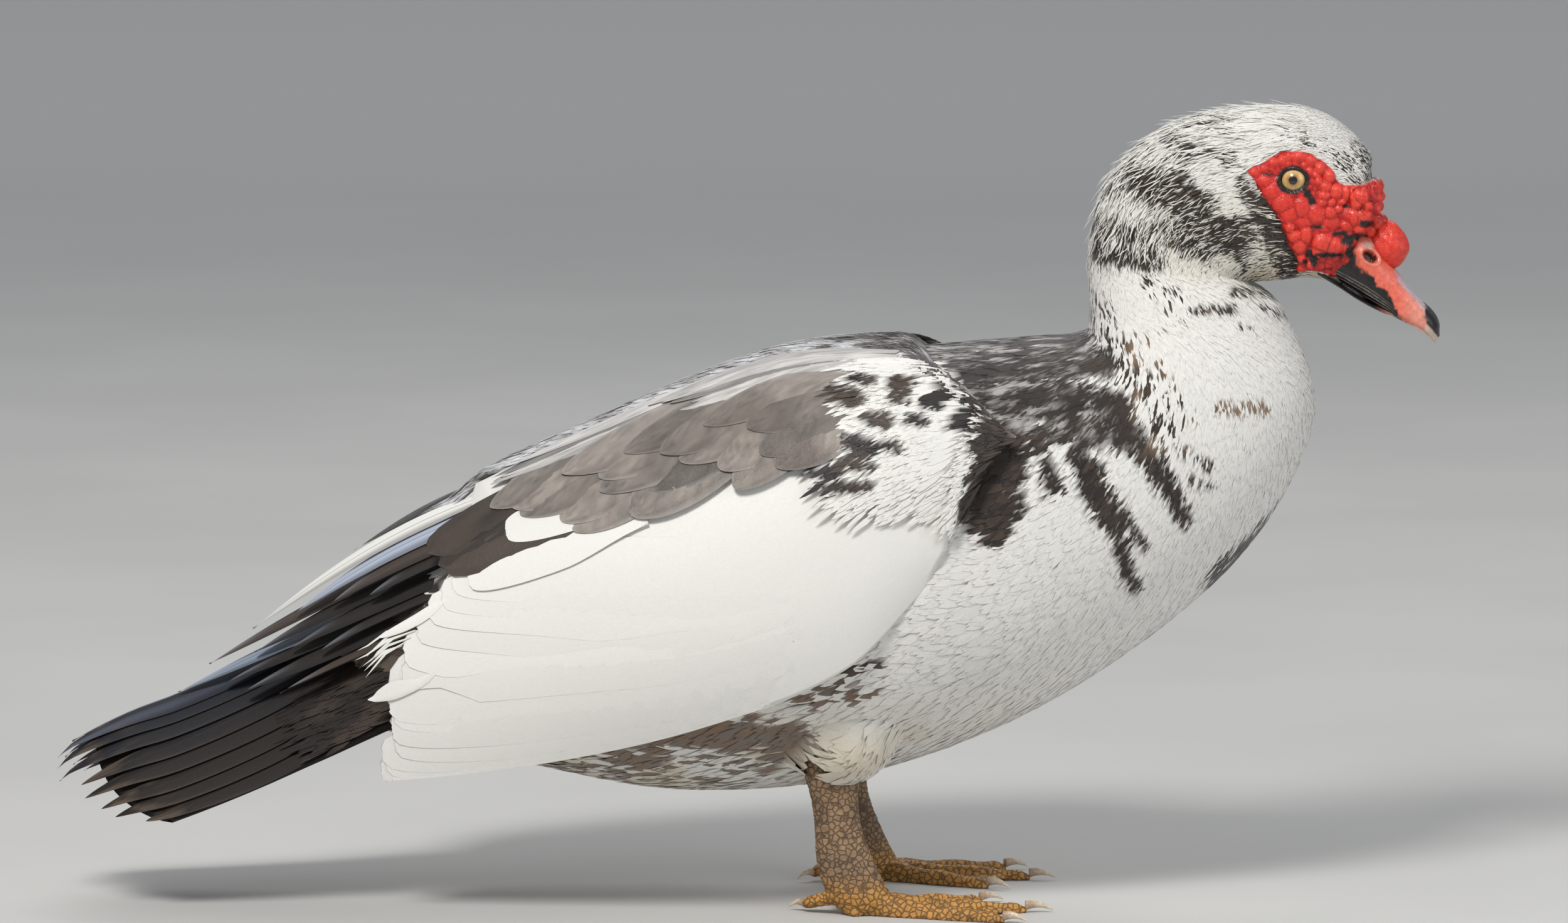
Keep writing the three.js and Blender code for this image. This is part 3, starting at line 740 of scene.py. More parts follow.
def mixed(a: Array | tuple, b: Array | tuple, share: Array) -> Array:
    """Colours between a and b, by a share for each."""
    return np.asarray(a) * (1 - share[..., None]) + np.asarray(b) * share[..., None]


# Feathers


@dataclass(frozen=True)
class Plume:
    """One kind of feather: its grid, outline and relief."""

    rows: int
    columns: int
    quill: float = 0.35  # width at the root as a share of the full width
    full: float = 0.45  # share of the length where it is widest
    point: float = 0.6  # below 1 the tip is round, at 1 and above pointed
    blunt: float = 0.12  # width that is left at the tip's last row
    ridge: float = 0.35  # height of the middle over the edges, mm
    thick: float = 0.3  # mm
    ragged: float = 0.0  # how far the tip's teeth reach, as a share of the length
    soften: float = 0.5  # how much its shading follows the body's form


HAIR = Plume(4, 3, quill=0.6, full=0.3, point=0.95, blunt=0.05, ridge=0.22, thick=0.2, soften=0.55)
DOWN = Plume(4, 3, quill=0.6, full=0.45, point=0.85, blunt=0.06, ridge=0.10, thick=0.12, soften=0.88)
VANE = Plume(22, 9, quill=0.3, full=0.5, point=0.42, blunt=0.10,
             ridge=0.5, thick=0.35, ragged=0.012, soften=0.5)
SATIN = Plume(22, 9, quill=0.4, full=0.5, point=0.4, blunt=0.25,
              ridge=0.35, thick=0.2, ragged=0.008, soften=0.7)
FUZZY = Plume(26, 11, quill=0.4, full=0.45, point=0.72, blunt=0.05,
              ridge=0.4, thick=0.25, ragged=0.03, soften=0.6)
LOOSE = Plume(10, 7, quill=0.4, full=0.5, point=0.6, blunt=0.2, ridge=0.5, thick=0.3, ragged=0.06, soften=0.6)
QUILL = Plume(24, 9, quill=0.5, full=0.35, point=0.75, blunt=0.08,
              ridge=0.5, thick=0.4, ragged=0.012, soften=0.2)


@dataclass
class Batch:
    """Feathers of one kind to be laid on one surface."""

    surface: Surface
    plume: Plume
    us: Array  # centre lines (n, rows)
    vs: Array
    width: Array  # full width of each (n,)
    lift_root: Array
    lift_tip: Array
    roll: Array  # how much the belly-side edge stands over the back-side one, mm
    lift_power: float = 1.0


def plume_steps(plume: Plume) -> Array:
    """Shares of the length at which a feather has its rows, closer together towards the tip."""
    t = np.linspace(0, 1, plume.rows)
    return 1 - (1 - t) ** 1.5


def plume_outline(plume: Plume, t: Array) -> Array:
    """Width of a feather as a share of its full one: rises from the quill, then falls by (1 - s^k)^point.

    Args:
        plume: the kind of feather.
        t: shares of the length.

    Returns:
        The width at each share.
    """
    rise = smooth(t, 0.0, plume.full)
    fall = np.clip(1 - np.clip((t - plume.full) / (1 - plume.full), 0, 1) ** 2.2, 0, 1) ** plume.point
    return (plume.quill + (1 - plume.quill) * rise) * (plume.blunt + (1 - plume.blunt) * fall)


def plume_faces(rows: int, columns: int) -> tuple[Array, Array, int]:
    """Faces of a closed lens-like feather whose top and bottom share their rim.

    Args:
        rows: rows of the grid.
        columns: its columns.

    Returns:
        Top triangles and bottom triangles over the points of the top grid followed by the inner
        points of the bottom grid, and the number of points.
    """
    top = np.arange(rows * columns).reshape(rows, columns)
    under = top.copy()
    inner = (rows - 2) * (columns - 2)
    under[1:-1, 1:-1] = rows * columns + np.arange(inner).reshape(rows - 2, columns - 2)

    def triangles(grid: Array) -> Array:
        """Two triangles in each cell of a grid of point numbers."""
        a, b, c, d = grid[:-1, :-1], grid[1:, :-1], grid[1:, 1:], grid[:-1, 1:]
        return np.concatenate([np.stack(corners, -1).reshape(-1, 3) for corners in ((a, b, c), (a, c, d))])

    return triangles(top), triangles(under)[:, ::-1], rows * columns + inner


@dataclass
class Coat:
    """A coat piece in the making, with its own stream of random numbers."""

    name: str
    seed: int
    sheaf: Sheaf = field(default_factory=Sheaf)
    triangles: int = 0

    def __post_init__(self) -> None:
        """Starts the random numbers."""
        self.random = np.random.default_rng(self.seed)

    def grow(self, batch: Batch, paint: Painter, shaft: float = 0.0, patch: float = 0.003) -> None:
        """Adds a batch of feathers.

        A feather's point is the surface at its centre line moved aside by half the width times the
        outline, and raised by the lift, the ridge (1 - a²) and the roll.

        Args:
            batch: the feathers.
            paint: gives colours from points (n, rows, columns, 3), the share along (1, rows, 1) and the
                share across (n, rows, columns), from -1 at the back's side to 1 at the belly's.
            shaft: how dark the shaft is drawn.
            patch: width of a feather's patch on the OFBake map.
        """
        plume, surface = batch.plume, batch.surface
        n, rows, columns = len(batch.us), plume.rows, plume.columns
        t = plume_steps(plume)
        a = np.linspace(-1, 1, columns)
        spot = surface.sample(batch.us, batch.vs)
        way = unit(np.gradient(spot.at, axis=1))
        side = unit(np.cross(spot.normal, way))
        outline = plume_outline(plume, t)
        half = 0.5 * batch.width[:, None] * outline[None, :]
        teeth = self.random.uniform(-1, 1, (n, columns)) * plume.ragged
        reach = teeth[:, None, :] * (smooth(t, 0.45, 0.9) * outline)[None, :, None]
        length = np.linalg.norm(np.diff(spot.at, axis=1), axis=-1).sum(1)
        move = side[:, :, None, :] * (half[:, :, None] * a)[..., None]
        move = move + way[:, :, None, :] * (reach * length[:, None, None])[..., None]
        wide = Spot(*(np.repeat(part[:, :, None, :], columns, 2)
                      for part in (spot.at, spot.along, spot.around, spot.normal)))
        laid = surface.sample(*surface.shifted(batch.us[:, :, None] + 0 * a, batch.vs[:, :, None] + 0 * a,
                                               move, wide))
        lift = batch.lift_root[:, None] + (batch.lift_tip - batch.lift_root)[:, None] * t ** batch.lift_power
        body = np.minimum(1.0, 4 * (1 - t))[None, :, None] * np.minimum(1.0, 6 * t + 0.3)[None, :, None]
        height = lift[:, :, None] + plume.ridge * (1 - a * a) * body
        belly_side = np.sign(dot(side, spot.around)) * surface.fall_sign(batch.vs)
        height = height + batch.roll[:, None, None] * a * belly_side[:, :, None]
        top = laid.at + laid.normal * height[..., None]
        form = unit(np.cross(np.gradient(top, axis=1), np.gradient(top, axis=2)))
        shading = unit(form * (1 - plume.soften) + laid.normal * plume.soften)
        under = top - laid.normal * (plume.thick * body[..., None])
        points = np.concatenate([top.reshape(n, -1, 3), under[:, 1:-1, 1:-1].reshape(n, -1, 3)], 1)
        up, down, count = plume_faces(rows, columns)
        step = (np.arange(n) * count)[:, None, None]
        faces = np.concatenate([up[None] + step, down[None] + step], 1).reshape(-1, 3)
        grid = np.concatenate([
            np.arange(rows * columns),
            np.arange(rows * columns).reshape(rows, columns)[1:-1, 1:-1].reshape(-1),
        ])
        flat = shading.reshape(n, -1, 3)
        normals = np.concatenate([flat[:, grid[up]], -flat[:, grid[down]]], 1).reshape(-1, 3)
        tinted = paint(laid.at, t[None, :, None], a * belly_side[:, :, None])
        colours = tinted.reshape(n, -1, 3)[:, grid]
        across = (half[:, :, None] * a).reshape(n, -1)[:, grid]
        along = np.repeat((length[:, None] * t)[:, :, None], columns, 2).reshape(n, -1)[:, grid]
        vanes = np.stack([across, along, np.full_like(along, shaft)], -1)
        flat_t = np.repeat(t[:, None], columns, 1).reshape(-1)[grid]
        flat_a = np.repeat(a[None, :], rows, 0).reshape(-1)[grid]
        local = np.stack([0.5 * flat_a, flat_t - 0.5], -1) * patch
        places = self.roots_on_map(batch)[:, None, :] + local[None]
        rim = np.ones((rows, columns), bool)
        rim[1:-1, 1:-1] = False
        rims = np.tile(np.concatenate([rim.reshape(-1), np.zeros(count - rows * columns, bool)]), n)
        self.sheaf.add(points.reshape(-1, 3), faces, rims, normals, colours.reshape(-1, 3),
                       vanes.reshape(-1, 3), places.reshape(-1, 2))
        self.triangles += len(faces)

    @staticmethod
    def roots_on_map(batch: Batch) -> Array:
        """Where the roots of a batch lie on the OFBake map, by their two parameters.

        Args:
            batch: the feathers.

        Returns:
            A place on the map for each feather (n, 2).
        """
        (u0, u1), (v0, v1) = batch.surface.u, batch.surface.v
        along = (batch.us[:, 0] - u0) / (u1 - u0)
        around = np.mod(batch.vs[:, 0] - v0, v1 - v0 + 1e-9) / (v1 - v0)
        return np.clip(np.stack([around, along], -1), 0.003, 0.997)

    def build(self, material: bpy.types.Material, slot: str) -> bpy.types.Object:
        """Turns the gathered feathers into one object with its colours, maps and normals.

        Args:
            material: the material of the piece.
            slot: its material slot; not used.

        Returns:
            The coat piece.
        """
        s = self.sheaf
        made = mesh_object(self.name, np.concatenate(s.points), np.concatenate(s.faces))
        mesh = made.data
        set_tint(mesh, np.concatenate(s.colours))
        set_vector(mesh, "Vane", np.concatenate(s.vanes))
        set_bake_map(mesh, np.concatenate(s.places))
        ends = np.empty(len(mesh.edges) * 2, np.int32)
        mesh.edges.foreach_get("vertices", ends)
        sharp = np.concatenate(s.rims)[ends.reshape(-1, 2)].all(1)
        mesh.attributes.new("sharp_edge", "BOOLEAN", "EDGE").data.foreach_set("value", sharp)
        layer = mesh.attributes.new("custom_normal", "FLOAT_VECTOR", "CORNER")
        layer.data.foreach_set("vector", np.concatenate(s.normals).astype(np.float32).reshape(-1))
        mesh.materials.append(material)
        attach(made, "root")
        LOG.info("%s: %d triangles", self.name, self.triangles)
        return made


# The skin


@dataclass(frozen=True)
class Lump:
    """A wart or lobe of the mask, placed in the side view. Its height follows (1 - r²)^0.5 to its rim."""

    x: float
    h: float
    long: float
    tall: float
    height: float
    y: float | None = None  # distance from the middle plane, where the side view can't tell


MASK_OUTLINE = np.array([
    [270.4, 396.7], [273.3, 400.8], [277.4, 401.4], [281.8, 404.7], [287.4, 407.0], [295.4, 408.4],
    [302.6, 407.6], [308.3, 404.4], [313.1, 400.8], [316.9, 397.1], [317.9, 392.6], [320.5, 390.6],
    [328.3, 389.4], [333.0, 389.6], [338.0, 392.0], [352.0, 394.0], [352.0, 320.0], [322.0, 338.0],
    [307.0, 342.5], [296.2, 343.6], [298.0, 347.4], [295.0, 352.3], [291.6, 360.4], [289.8, 366.0],
    [286.6, 372.5], [281.4, 379.8], [276.8, 386.2], [273.8, 391.5],
])
LUMP_SPREAD = 1.22  # how far lumps reach into each other
LUMPS = [Lump(*row) for row in (
    (273.3, 396.7, 3.4, 2.8, 1.7), (279.0, 398.8, 2.3, 2.1, 1.6),  # arch over the eye
    (284.0, 402.0, 2.9, 2.6, 2.0), (288.6, 403.2, 2.1, 3.0, 1.9),
    (292.4, 405.0, 2.3, 2.6, 1.9), (298.2, 405.2, 4.2, 2.8, 2.2),
    (304.6, 403.0, 2.8, 3.0, 2.2), (309.3, 398.8, 2.8, 3.3, 2.3),
    (314.3, 394.6, 2.9, 3.8, 2.5), (308.3, 391.9, 2.3, 2.5, 1.8),
    (312.3, 388.7, 3.1, 2.8, 2.2), (311.5, 384.2, 3.3, 2.4, 2.0),
    (310.3, 380.2, 2.8, 2.2, 1.7), (315.5, 380.2, 2.4, 2.0, 1.6),
    (303.8, 397.2, 2.2, 2.0, 1.3), (292.2, 401.0, 1.6, 1.4, 1.2),
    (296.0, 401.6, 1.8, 1.3, 1.2), (300.6, 400.6, 2.0, 1.5, 1.4),
    (306.6, 395.0, 1.9, 1.8, 1.5), (283.0, 398.2, 1.5, 1.2, 1.1),
    (318.3, 386.2, 3.5, 3.9, 2.4), (323.1, 385.4, 2.3, 4.3, 2.4),  # forehead ridge
    (327.3, 385.0, 2.3, 4.2, 2.4), (332.0, 383.8, 3.1, 3.9, 2.4),
    (321.1, 380.6, 2.6, 1.9, 1.8), (334.7, 378.1, 2.6, 2.6, 2.2),
    (328.6, 379.0, 2.6, 2.2, 1.9), (319.4, 376.6, 2.5, 2.1, 1.5),
    (315.0, 374.6, 3.2, 3.2, 1.4), (323.8, 374.1, 3.0, 3.0, 1.4),
    (327.6, 371.9, 2.7, 4.3, 2.0), (331.4, 371.4, 2.4, 4.4, 2.1),
    (334.6, 372.5, 2.4, 3.4, 1.9), (330.7, 365.8, 3.6, 2.4, 1.7),
    (324.3, 367.4, 3.6, 2.6, 1.2), (315.5, 368.6, 4.2, 3.0, 1.1),
    (335.5, 366.4, 2.2, 2.6, 1.5),
    (279.2, 391.9, 3.4, 3.0, 1.2), (283.4, 386.4, 4.5, 4.2, 1.3),  # lobes below the eye
    (289.0, 379.8, 5.2, 4.8, 1.4), (293.0, 373.6, 4.4, 4.6, 1.3),
    (299.4, 377.0, 4.0, 5.4, 1.4), (300.4, 369.4, 3.8, 3.4, 1.3),
    (307.2, 373.6, 4.6, 5.0, 1.4), (311.5, 365.8, 3.0, 2.0, 1.0),
    (293.0, 366.4, 2.6, 2.4, 1.8), (295.4, 361.8, 3.3, 3.0, 2.0),  # cheek
    (301.6, 362.4, 3.1, 4.6, 2.0), (298.4, 356.6, 3.4, 3.6, 1.9),
    (299.4, 350.2, 2.3, 2.3, 2.0), (304.0, 346.4, 2.3, 2.1, 1.9),
    (299.4, 344.6, 3.0, 1.5, 1.3),
    (311.0, 358.0, 5.4, 4.6, 2.4), (317.0, 356.4, 5.2, 4.0, 2.3),  # bean over the gape
    (308.6, 353.6, 3.8, 3.0, 1.8), (323.6, 356.0, 2.2, 2.8, 1.6),
    (337, 387.5, 2.6, 2.8, 2.2, -10), (338, 382.0, 2.6, 2.8, 2.2, -9),  # front of the face
    (338, 376.5, 2.6, 2.8, 2.2, -10), (338, 371.0, 2.5, 2.6, 2.0, -9),
    (336, 388.0, 2.6, 2.6, 2.0, -4), (336, 382.5, 2.5, 2.7, 2.0, -3),
    (336, 377.0, 2.5, 2.7, 2.0, -4), (336, 371.5, 2.5, 2.7, 2.0, -3),
    (336, 366.5, 2.4, 2.6, 1.8, -6), (335, 391.0, 2.4, 2.4, 1.6, -8),
)]
# Black bare patches of the mask: x, height, long, tall
DARK_PATCHES = [
    (334.6, 368.6, 4.4, 2.2), (307.6, 366.9, 3.8, 1.1), (320.6, 363.2, 4.6, 1.6), (324.0, 359.4, 3.6, 3.2),
    (323.4, 378.2, 2.6, 0.9), (303.4, 352.2, 2.2, 2.4), (306.0, 348.6, 2.2, 3.4), (281.0, 395.3, 3.6, 0.8),
    (330.0, 361.4, 6.0, 2.2), (302.6, 384.6, 2.6, 3.0), (305.0, 381.0, 2.4, 2.4), (314.0, 351.6, 9.0, 1.5),
    (326.6, 353.0, 4.0, 4.0), (301.0, 348.0, 1.6, 1.4),
]
BROW_PLACE = np.array([10.0, 378.5])  # distance from the middle plane, and height
BROW_SIZE = np.array([9.0, 15.0])
BROW_SWELL = 5.0
EYE_OPENING = np.array([6.7, 5.8])  # half length and half height
EYE_SOCKET = 4.5  # how deep the skin dips behind the eyeball


def mask_depth(p: Array) -> Array:
    """How far head points lie inside the outline of the bare red mask, seen from the side, in millimetres."""
    x, h = picture(faced(p))
    return outline_depth(np.stack([x, h], -1), MASK_OUTLINE)


def outline_depth(q: Array, outline: Array) -> Array:
    """Signed distance of flat points to a closed outline, positive inside, by the crossings of a ray.

    Args:
        q: flat points (..., 2).
        outline: the corners in order (n, 2).

    Returns:
        A depth for each point.
    """
    inside = np.zeros(q.shape[:-1], bool)
    nearest = np.full(q.shape[:-1], 1e9)
    for a, b in zip(outline, np.roll(outline, -1, 0)):
        d = b - a
        t = np.clip(((q - a) @ d) / (d @ d), 0, 1)
        nearest = np.minimum(nearest, np.linalg.norm(q - a - t[..., None] * d, axis=-1))
        above = (a[1] > q[..., 1]) != (b[1] > q[..., 1])
        rise = d[1] if abs(d[1]) > 1e-9 else 1e-9
        inside ^= above & (q[..., 0] < a[0] + (q[..., 1] - a[1]) / rise * d[0])
    return np.where(inside, nearest, -nearest)


def eye_ring(p: Array) -> Array:
    """Distance from an eye's axis as a share of the opening between the lids, for head points.

    Args:
        p: points (..., 3).

    Returns:
        1 on the edge of the opening, less inside, and 9 away from the sides of the head.
    """
    local = turned(p, -1.0)
    q = (local[..., [0, 2]] - EYE_PLACE[[0, 2]]) / EYE_OPENING
    return np.where(np.abs(local[..., 1]) > 8, np.hypot(q[..., 0], q[..., 1]), FAR)


@dataclass(frozen=True)
class Skin:
    """The one skin under the coat: rump, trunk, thighs, neck, head with its mask, knob and legs."""

    around: int = 250  # points in each ring

    def rows(self) -> Array:
        """Station numbers of the skin's rings, closest together over the mask.

        Returns:
            Station numbers in rising order.
        """
        return np.concatenate([
            np.linspace(-1, 0, 7)[:-1], np.linspace(0, 5, 46)[:-1], np.linspace(5, 8, 26)[:-1],
            np.linspace(8, 9.7, 26)[:-1], np.linspace(9.7, 11, 84)[:-1], np.linspace(11, 12, 44)[:-1],
            np.linspace(12, 13, 12)[:-1], 13 + (2 / math.pi) * np.arccos(np.linspace(1, 0.03, 30)),
        ])

    def columns(self) -> Array:
        """Angles round the skin, closer together at the height of the mask.

        Returns:
            Angles in rising order.
        """
        a = np.linspace(0, 2 * math.pi, 721)
        fold = np.abs(((a + math.pi) % (2 * math.pi)) - math.pi)
        dense = 1 + 1.3 * smooth(fold, 0.7, 1.0) * (1 - smooth(fold, 2.5, 2.9))
        total = np.concatenate([[0], np.cumsum(0.5 * (dense[1:] + dense[:-1]))])
        return np.interp(np.arange(self.around) / self.around, total / total[-1], a)

    def shape(self) -> Array:
        """Points of the rings (rows, columns, 3) with every wart, lid and fold.

        Returns:
            The points of the rings.
        """
        u, a = self.rows()[:, None], self.columns()[None, :]
        p = skin_shape(u, a)
        normal = self.normals(p)
        head = u[:, 0] > 9.0
        q, n = p[head], normal[head]
        local = turned(q, -1.0)
        brow = (np.stack([np.abs(local[..., 1]), local[..., 2]], -1) - BROW_PLACE) / BROW_SIZE
        swell = np.sqrt(np.clip(1 - dot(brow, brow), 0, 1)) * smooth(local[..., 0], 322, 334) * BROW_SWELL
        q = q + n * swell[..., None]
        n = self.normals(q)
        inside = mask_depth(q)
        bare = smooth(inside, -0.6, 0.8)
        height = self.warts(q)[0] * bare
        ring = eye_ring(q)
        lids = np.exp(-((ring - 1.12) / 0.13) ** 2) * 1.1
        socket = smooth(ring, 1.02, 0.86) * EYE_SOCKET
        clear = smooth(ring, 1.12, 1.4)
        height = height * clear + lids * (bare > 0) + 0.15 * bare - socket
        p[head] = q + n * height[..., None]
        return p

    @staticmethod
    def normals(p: Array) -> Array:
        """Unit normals of a closed grid of rings."""
        around = np.roll(p, -1, 1) - np.roll(p, 1, 1)
        return unit(np.cross(np.gradient(p, axis=0), around))

    @staticmethod
    def warts(q: Array) -> tuple[Array, Array]:
        """The warts over the mask: at each point the highest of the lumps there, and how near a crease is.

        Args:
            q: points of the head (..., 3).

        Returns:
            The height of the warts and the nearness of a crease, 0 to 1.
        """
        x, h = picture(faced(q))
        y = -np.abs(turned(q, -1.0)[..., 1])
        height = np.zeros(x.shape)
        next_height = np.zeros(x.shape)
        for lump in LUMPS:
            if lump.y is not None:
                r = np.hypot((y - lump.y) / lump.long, (h - lump.h) / lump.tall) / LUMP_SPREAD
                r = np.where(x > 330, r, FAR)
            else:
                r = np.hypot((x - lump.x) / lump.long, (h - lump.h) / lump.tall) / LUMP_SPREAD
            rise = 1.8 * lump.height * np.clip(1 - r * r, 0, 1) ** 0.5
            next_height = np.maximum(next_height, np.minimum(height, rise))
            height = np.maximum(height, rise)
        first, second = cells(q, 3.6)
        filler = 1.2 * np.clip(1 - 1.6 * first * first, 0, 1) ** 0.6
        creased = smooth(height - next_height, 0.45, 0.05) * (height > filler)
        creased = np.maximum(creased, smooth(second - first, 0.22, 0.02) * (height <= filler))
        return np.maximum(height, filler), creased


def cells(p: Array, size: float, seed: int = 5) -> tuple[Array, Array]:
    """Distances to the nearest and second nearest of jittered points, one in each cube of a grid.

    Args:
        p: points (..., 3).
        size: the width of a feature.
        seed: another number gives another pattern.

    Returns:
        The two distances for each point, as shares of a cube's edge.
    """
    q = p / size
    base = np.floor(q).astype(np.int64)
    first = np.full(q.shape[:-1], FAR)
    second = np.full(q.shape[:-1], FAR)
    for corner in np.ndindex(3, 3, 3):
        c = base + np.array(corner) - 1
        mix = grid_hash(c) ^ seed
        jitter = np.stack([((mix * k) >> 9) & 0x3FF for k in (40503, 69069, 30011)], -1) / 1023.0
        away = np.linalg.norm(c + 0.15 + 0.7 * jitter - q, axis=-1)
        second = np.minimum(second, np.maximum(first, away))
        first = np.minimum(first, away)
    return first, second


@dataclass(frozen=True)
class Toe:
    """A front toe: its heading from straight ahead towards the middle of the bird, and its lengths."""

    heading: float
    long: float
    claw: float


@dataclass(frozen=True)
class HindToe:
    """The hind toe: where it starts, its length, how much of it is buried, its fall, radius and heading."""

    x: float = 44.0
    z: float = 11.0
    long: float = 17.0
    buried: float = 8.0
    drop: float = 6.4
    radius: float = 4.6
    heading: float = 152.0


@dataclass
class Leg:
    """The bare shank and webbed foot of one side, in millimetres."""

    side: Side
    # Height, x of the middle, half length and half breadth of the shank
    shank_rows: tuple = (
        (92, 42, 14, 8.5), (84, 43, 14.5, 8.5), (76, 44.5, 15, 8.3), (62, 46, 12.8, 7), (46, 48, 13, 6.8),
        (30, 51.5, 15.5, 7.6), (17, 56, 17, 9), (9, 60, 17, 10), (2.5, 61, 13, 9),
    )
    toes: tuple = (Toe(27, 72, 13), Toe(3, 88, 14), Toe(-20, 80, 13))
    toe_root_x: float = 62.0
    toe_buried: float = 10.0
    toe_wide: float = 6.0
    toe_high: float = 13.0
    hind_toe: HindToe = HindToe()
    claw_radius: float = 2.7
    gap: float = 0.4  # between a toe's end and its claw

    def __post_init__(self) -> None:
        """Sets the sign of Y and how far this foot stands ahead."""
        self.sign = self.side.value
        self.ahead = LEFT_AHEAD if self.side is Side.LEFT else 0.0

    def heading(self, degrees: float) -> Array:
        """The unit vector of a heading on this side."""
        a = math.radians(degrees)
        return np.array([math.cos(a), -self.sign * math.sin(a), 0.0])

    def toe_end(self, toe: Toe, extra: float = 0.0) -> Array:
        """The point on the ground where a toe ends."""
        root = np.array([self.toe_root_x + self.ahead, self.sign * LEG_Y, 0.0])
        return root + self.heading(toe.heading) * (toe.long + extra)

    def shank(self) -> Array:
        """Rings of the shank: ovals whose middle and half axes follow smooth lines down the leg.

        Returns:
            Rings from the thigh down to the ankle.
        """
        rows = np.array(self.shank_rows, float)[::-1]
        z = np.linspace(rows[0, 0], rows[-1, 0], 44)
        x, long, wide = (line(list(zip(rows[:, 0], rows[:, k])))(z) for k in (1, 2, 3))
        a = angles(36)
        return np.stack([
            (x + self.ahead)[:, None] + long[:, None] * np.cos(a),
            self.sign * LEG_Y + wide[:, None] * np.sin(a),
            z[:, None] + 0 * a,
        ], -1)[::-1]

    def toe(self, toe: Toe) -> Array:
        """Rings of a toe: arches over a flat sole, swollen at the joints, along the heading.

        Args:
            toe: the toe.

        Returns:
            Rings from the root to the tip.
        """
        way = self.heading(toe.heading)
        aside = np.array([-way[1], way[0], 0.0])
        t, a = shares(40), angles(28)
        size = 1 - 0.45 * t + 0.05 * np.cos(6 * math.pi * t) - 0.3 * smooth(t, 0.93, 1.0)
        wide = self.toe_wide * size * np.cos(a)
        high = self.toe_high * size * (1 - 0.25 * t) * np.maximum(np.sin(a), 0) ** 0.9
        start = self.toe_end(toe, -toe.long - self.toe_buried)
        rings = start + way * ((toe.long + self.toe_buried) * t)[..., None] + aside * wide[..., None]
        rings[..., 2] = high
        return rings

    def hind(self) -> Array:
        """Rings of the short hind toe, which falls towards the ground behind the ankle.

        Returns:
            Rings from the root to the tip.
        """
        k = self.hind_toe
        way = self.heading(k.heading)
        aside = np.array([-way[1], way[0], 0.0])
        t, a = shares(16), angles(20)
        size = k.radius * (1 - 0.25 * t - 0.3 * smooth(t, 0.9, 1.0))
        start = np.array([k.x + self.ahead, self.sign * LEG_Y, k.z])
        run = (k.long + k.buried) * t - k.buried
        rings = start + way * run[..., None] + aside * (size * np.cos(a))[..., None]
        rings[..., 2] = np.maximum(k.z - k.drop * t + size * np.sin(a), 0.1)
        return rings

    def web(self) -> tuple[Array, Array]:
        """The web as a closed sheet: an arc of points from toe to toe, hollow between them, over a hub.

        Returns:
            Points and quads.
        """
        ends = [self.toe_end(toe, -6.0) for toe in self.toes]
        hub = self.toe_end(self.toes[1], -self.toes[1].long - 6.0)
        t = shares(25)
        arcs = []
        for a, b in zip(ends, ends[1:]):
            middle = 0.5 * (a + b) - np.array([17.0, 0, 0])
            arcs.append(((1 - t) ** 2 * a + 2 * t * (1 - t) * middle + t * t * b)[:-1])
        rim = np.concatenate([*arcs, ends[-1][None]])
        share = np.linspace(0.04, 1, 22)[:, None, None]
        flat = hub + (rim[None] - hub) * share
        sag = 1.4 * share[..., 0] * np.sin(math.pi * np.linspace(0, 2, len(rim)) % math.pi)[None, :] ** 2
        top = flat.copy()
        top[..., 2] = 3.0 + 3.0 * (1 - share[..., 0]) - sag
        low = flat.copy()
        low[..., 2] = 0.8
        rows, columns = top.shape[:2]
        grid = grid_faces(rows, columns, False)
        points = np.concatenate([top.reshape(-1, 3), low.reshape(-1, 3)])
        count = rows * columns
        edge = np.concatenate([
            np.arange(columns), np.arange(1, rows) * columns + columns - 1,
            (rows - 1) * columns + np.arange(columns - 2, -1, -1), np.arange(rows - 2, 0, -1) * columns,
        ])
        after = np.roll(edge, -1)
        walls = np.stack([edge, edge + count, after + count, after], -1)
        return points, np.concatenate([grid, grid[:, ::-1] + count, walls[:, ::-1]])

    def shells(self) -> list[Shell]:
        """The closed shells of the leg, each as points, triangles and quads.

        Returns:
            The shells.
        """
        made = [tube(self.shank()), tube(self.hind())]
        made += [tube(self.toe(toe)) for toe in self.toes]
        points, quads = self.web()
        made.append((points, np.empty((0, 3), int), quads))
        return made

    def claw(self, start: Array, way: Array, long: float, radius: float, drop: float) -> Array:
        """Rings of a claw: size falls as (1 - t)^0.7 while the middle arches up and drops by t².

        Args:
            start: the middle of its root.
            way: its heading as a unit vector.
            long: its length.
            radius: its radius at the root.
            drop: how far the tip falls.

        Returns:
            Rings from the root to the tip.
        """
        aside = np.array([-way[1], way[0], 0.0])
        t, a = np.linspace(0, 0.97, 14)[:, None], angles(12)
        size = radius * (1 - t) ** 0.7
        rings = start + way * (long * t)[..., None] + aside * (0.8 * size * np.cos(a))[..., None]
        rings[..., 2] = start[2] + 1.2 * np.sin(math.pi * t) - drop * t * t + size * np.sin(a)
        return rings

    def claws(self) -> list[Array]:
        """The four claws of the foot.

        Returns:
            The rings of each claw.
        """
        made = []
        for toe in self.toes:
            start = self.toe_end(toe, self.gap - 1.5)
            start[2] = self.claw_radius + 1.2
            made.append(self.claw(start, self.heading(toe.heading), toe.claw + 1.5, self.claw_radius,
                                  self.claw_radius))
        k = self.hind_toe
        way = self.heading(k.heading)
        start = np.array([k.x + self.ahead, self.sign * LEG_Y, k.z - k.drop])
        made.append(self.claw(start + way * (k.long - 1.0), way, 10.4, 2.3, 3.4))
        return made

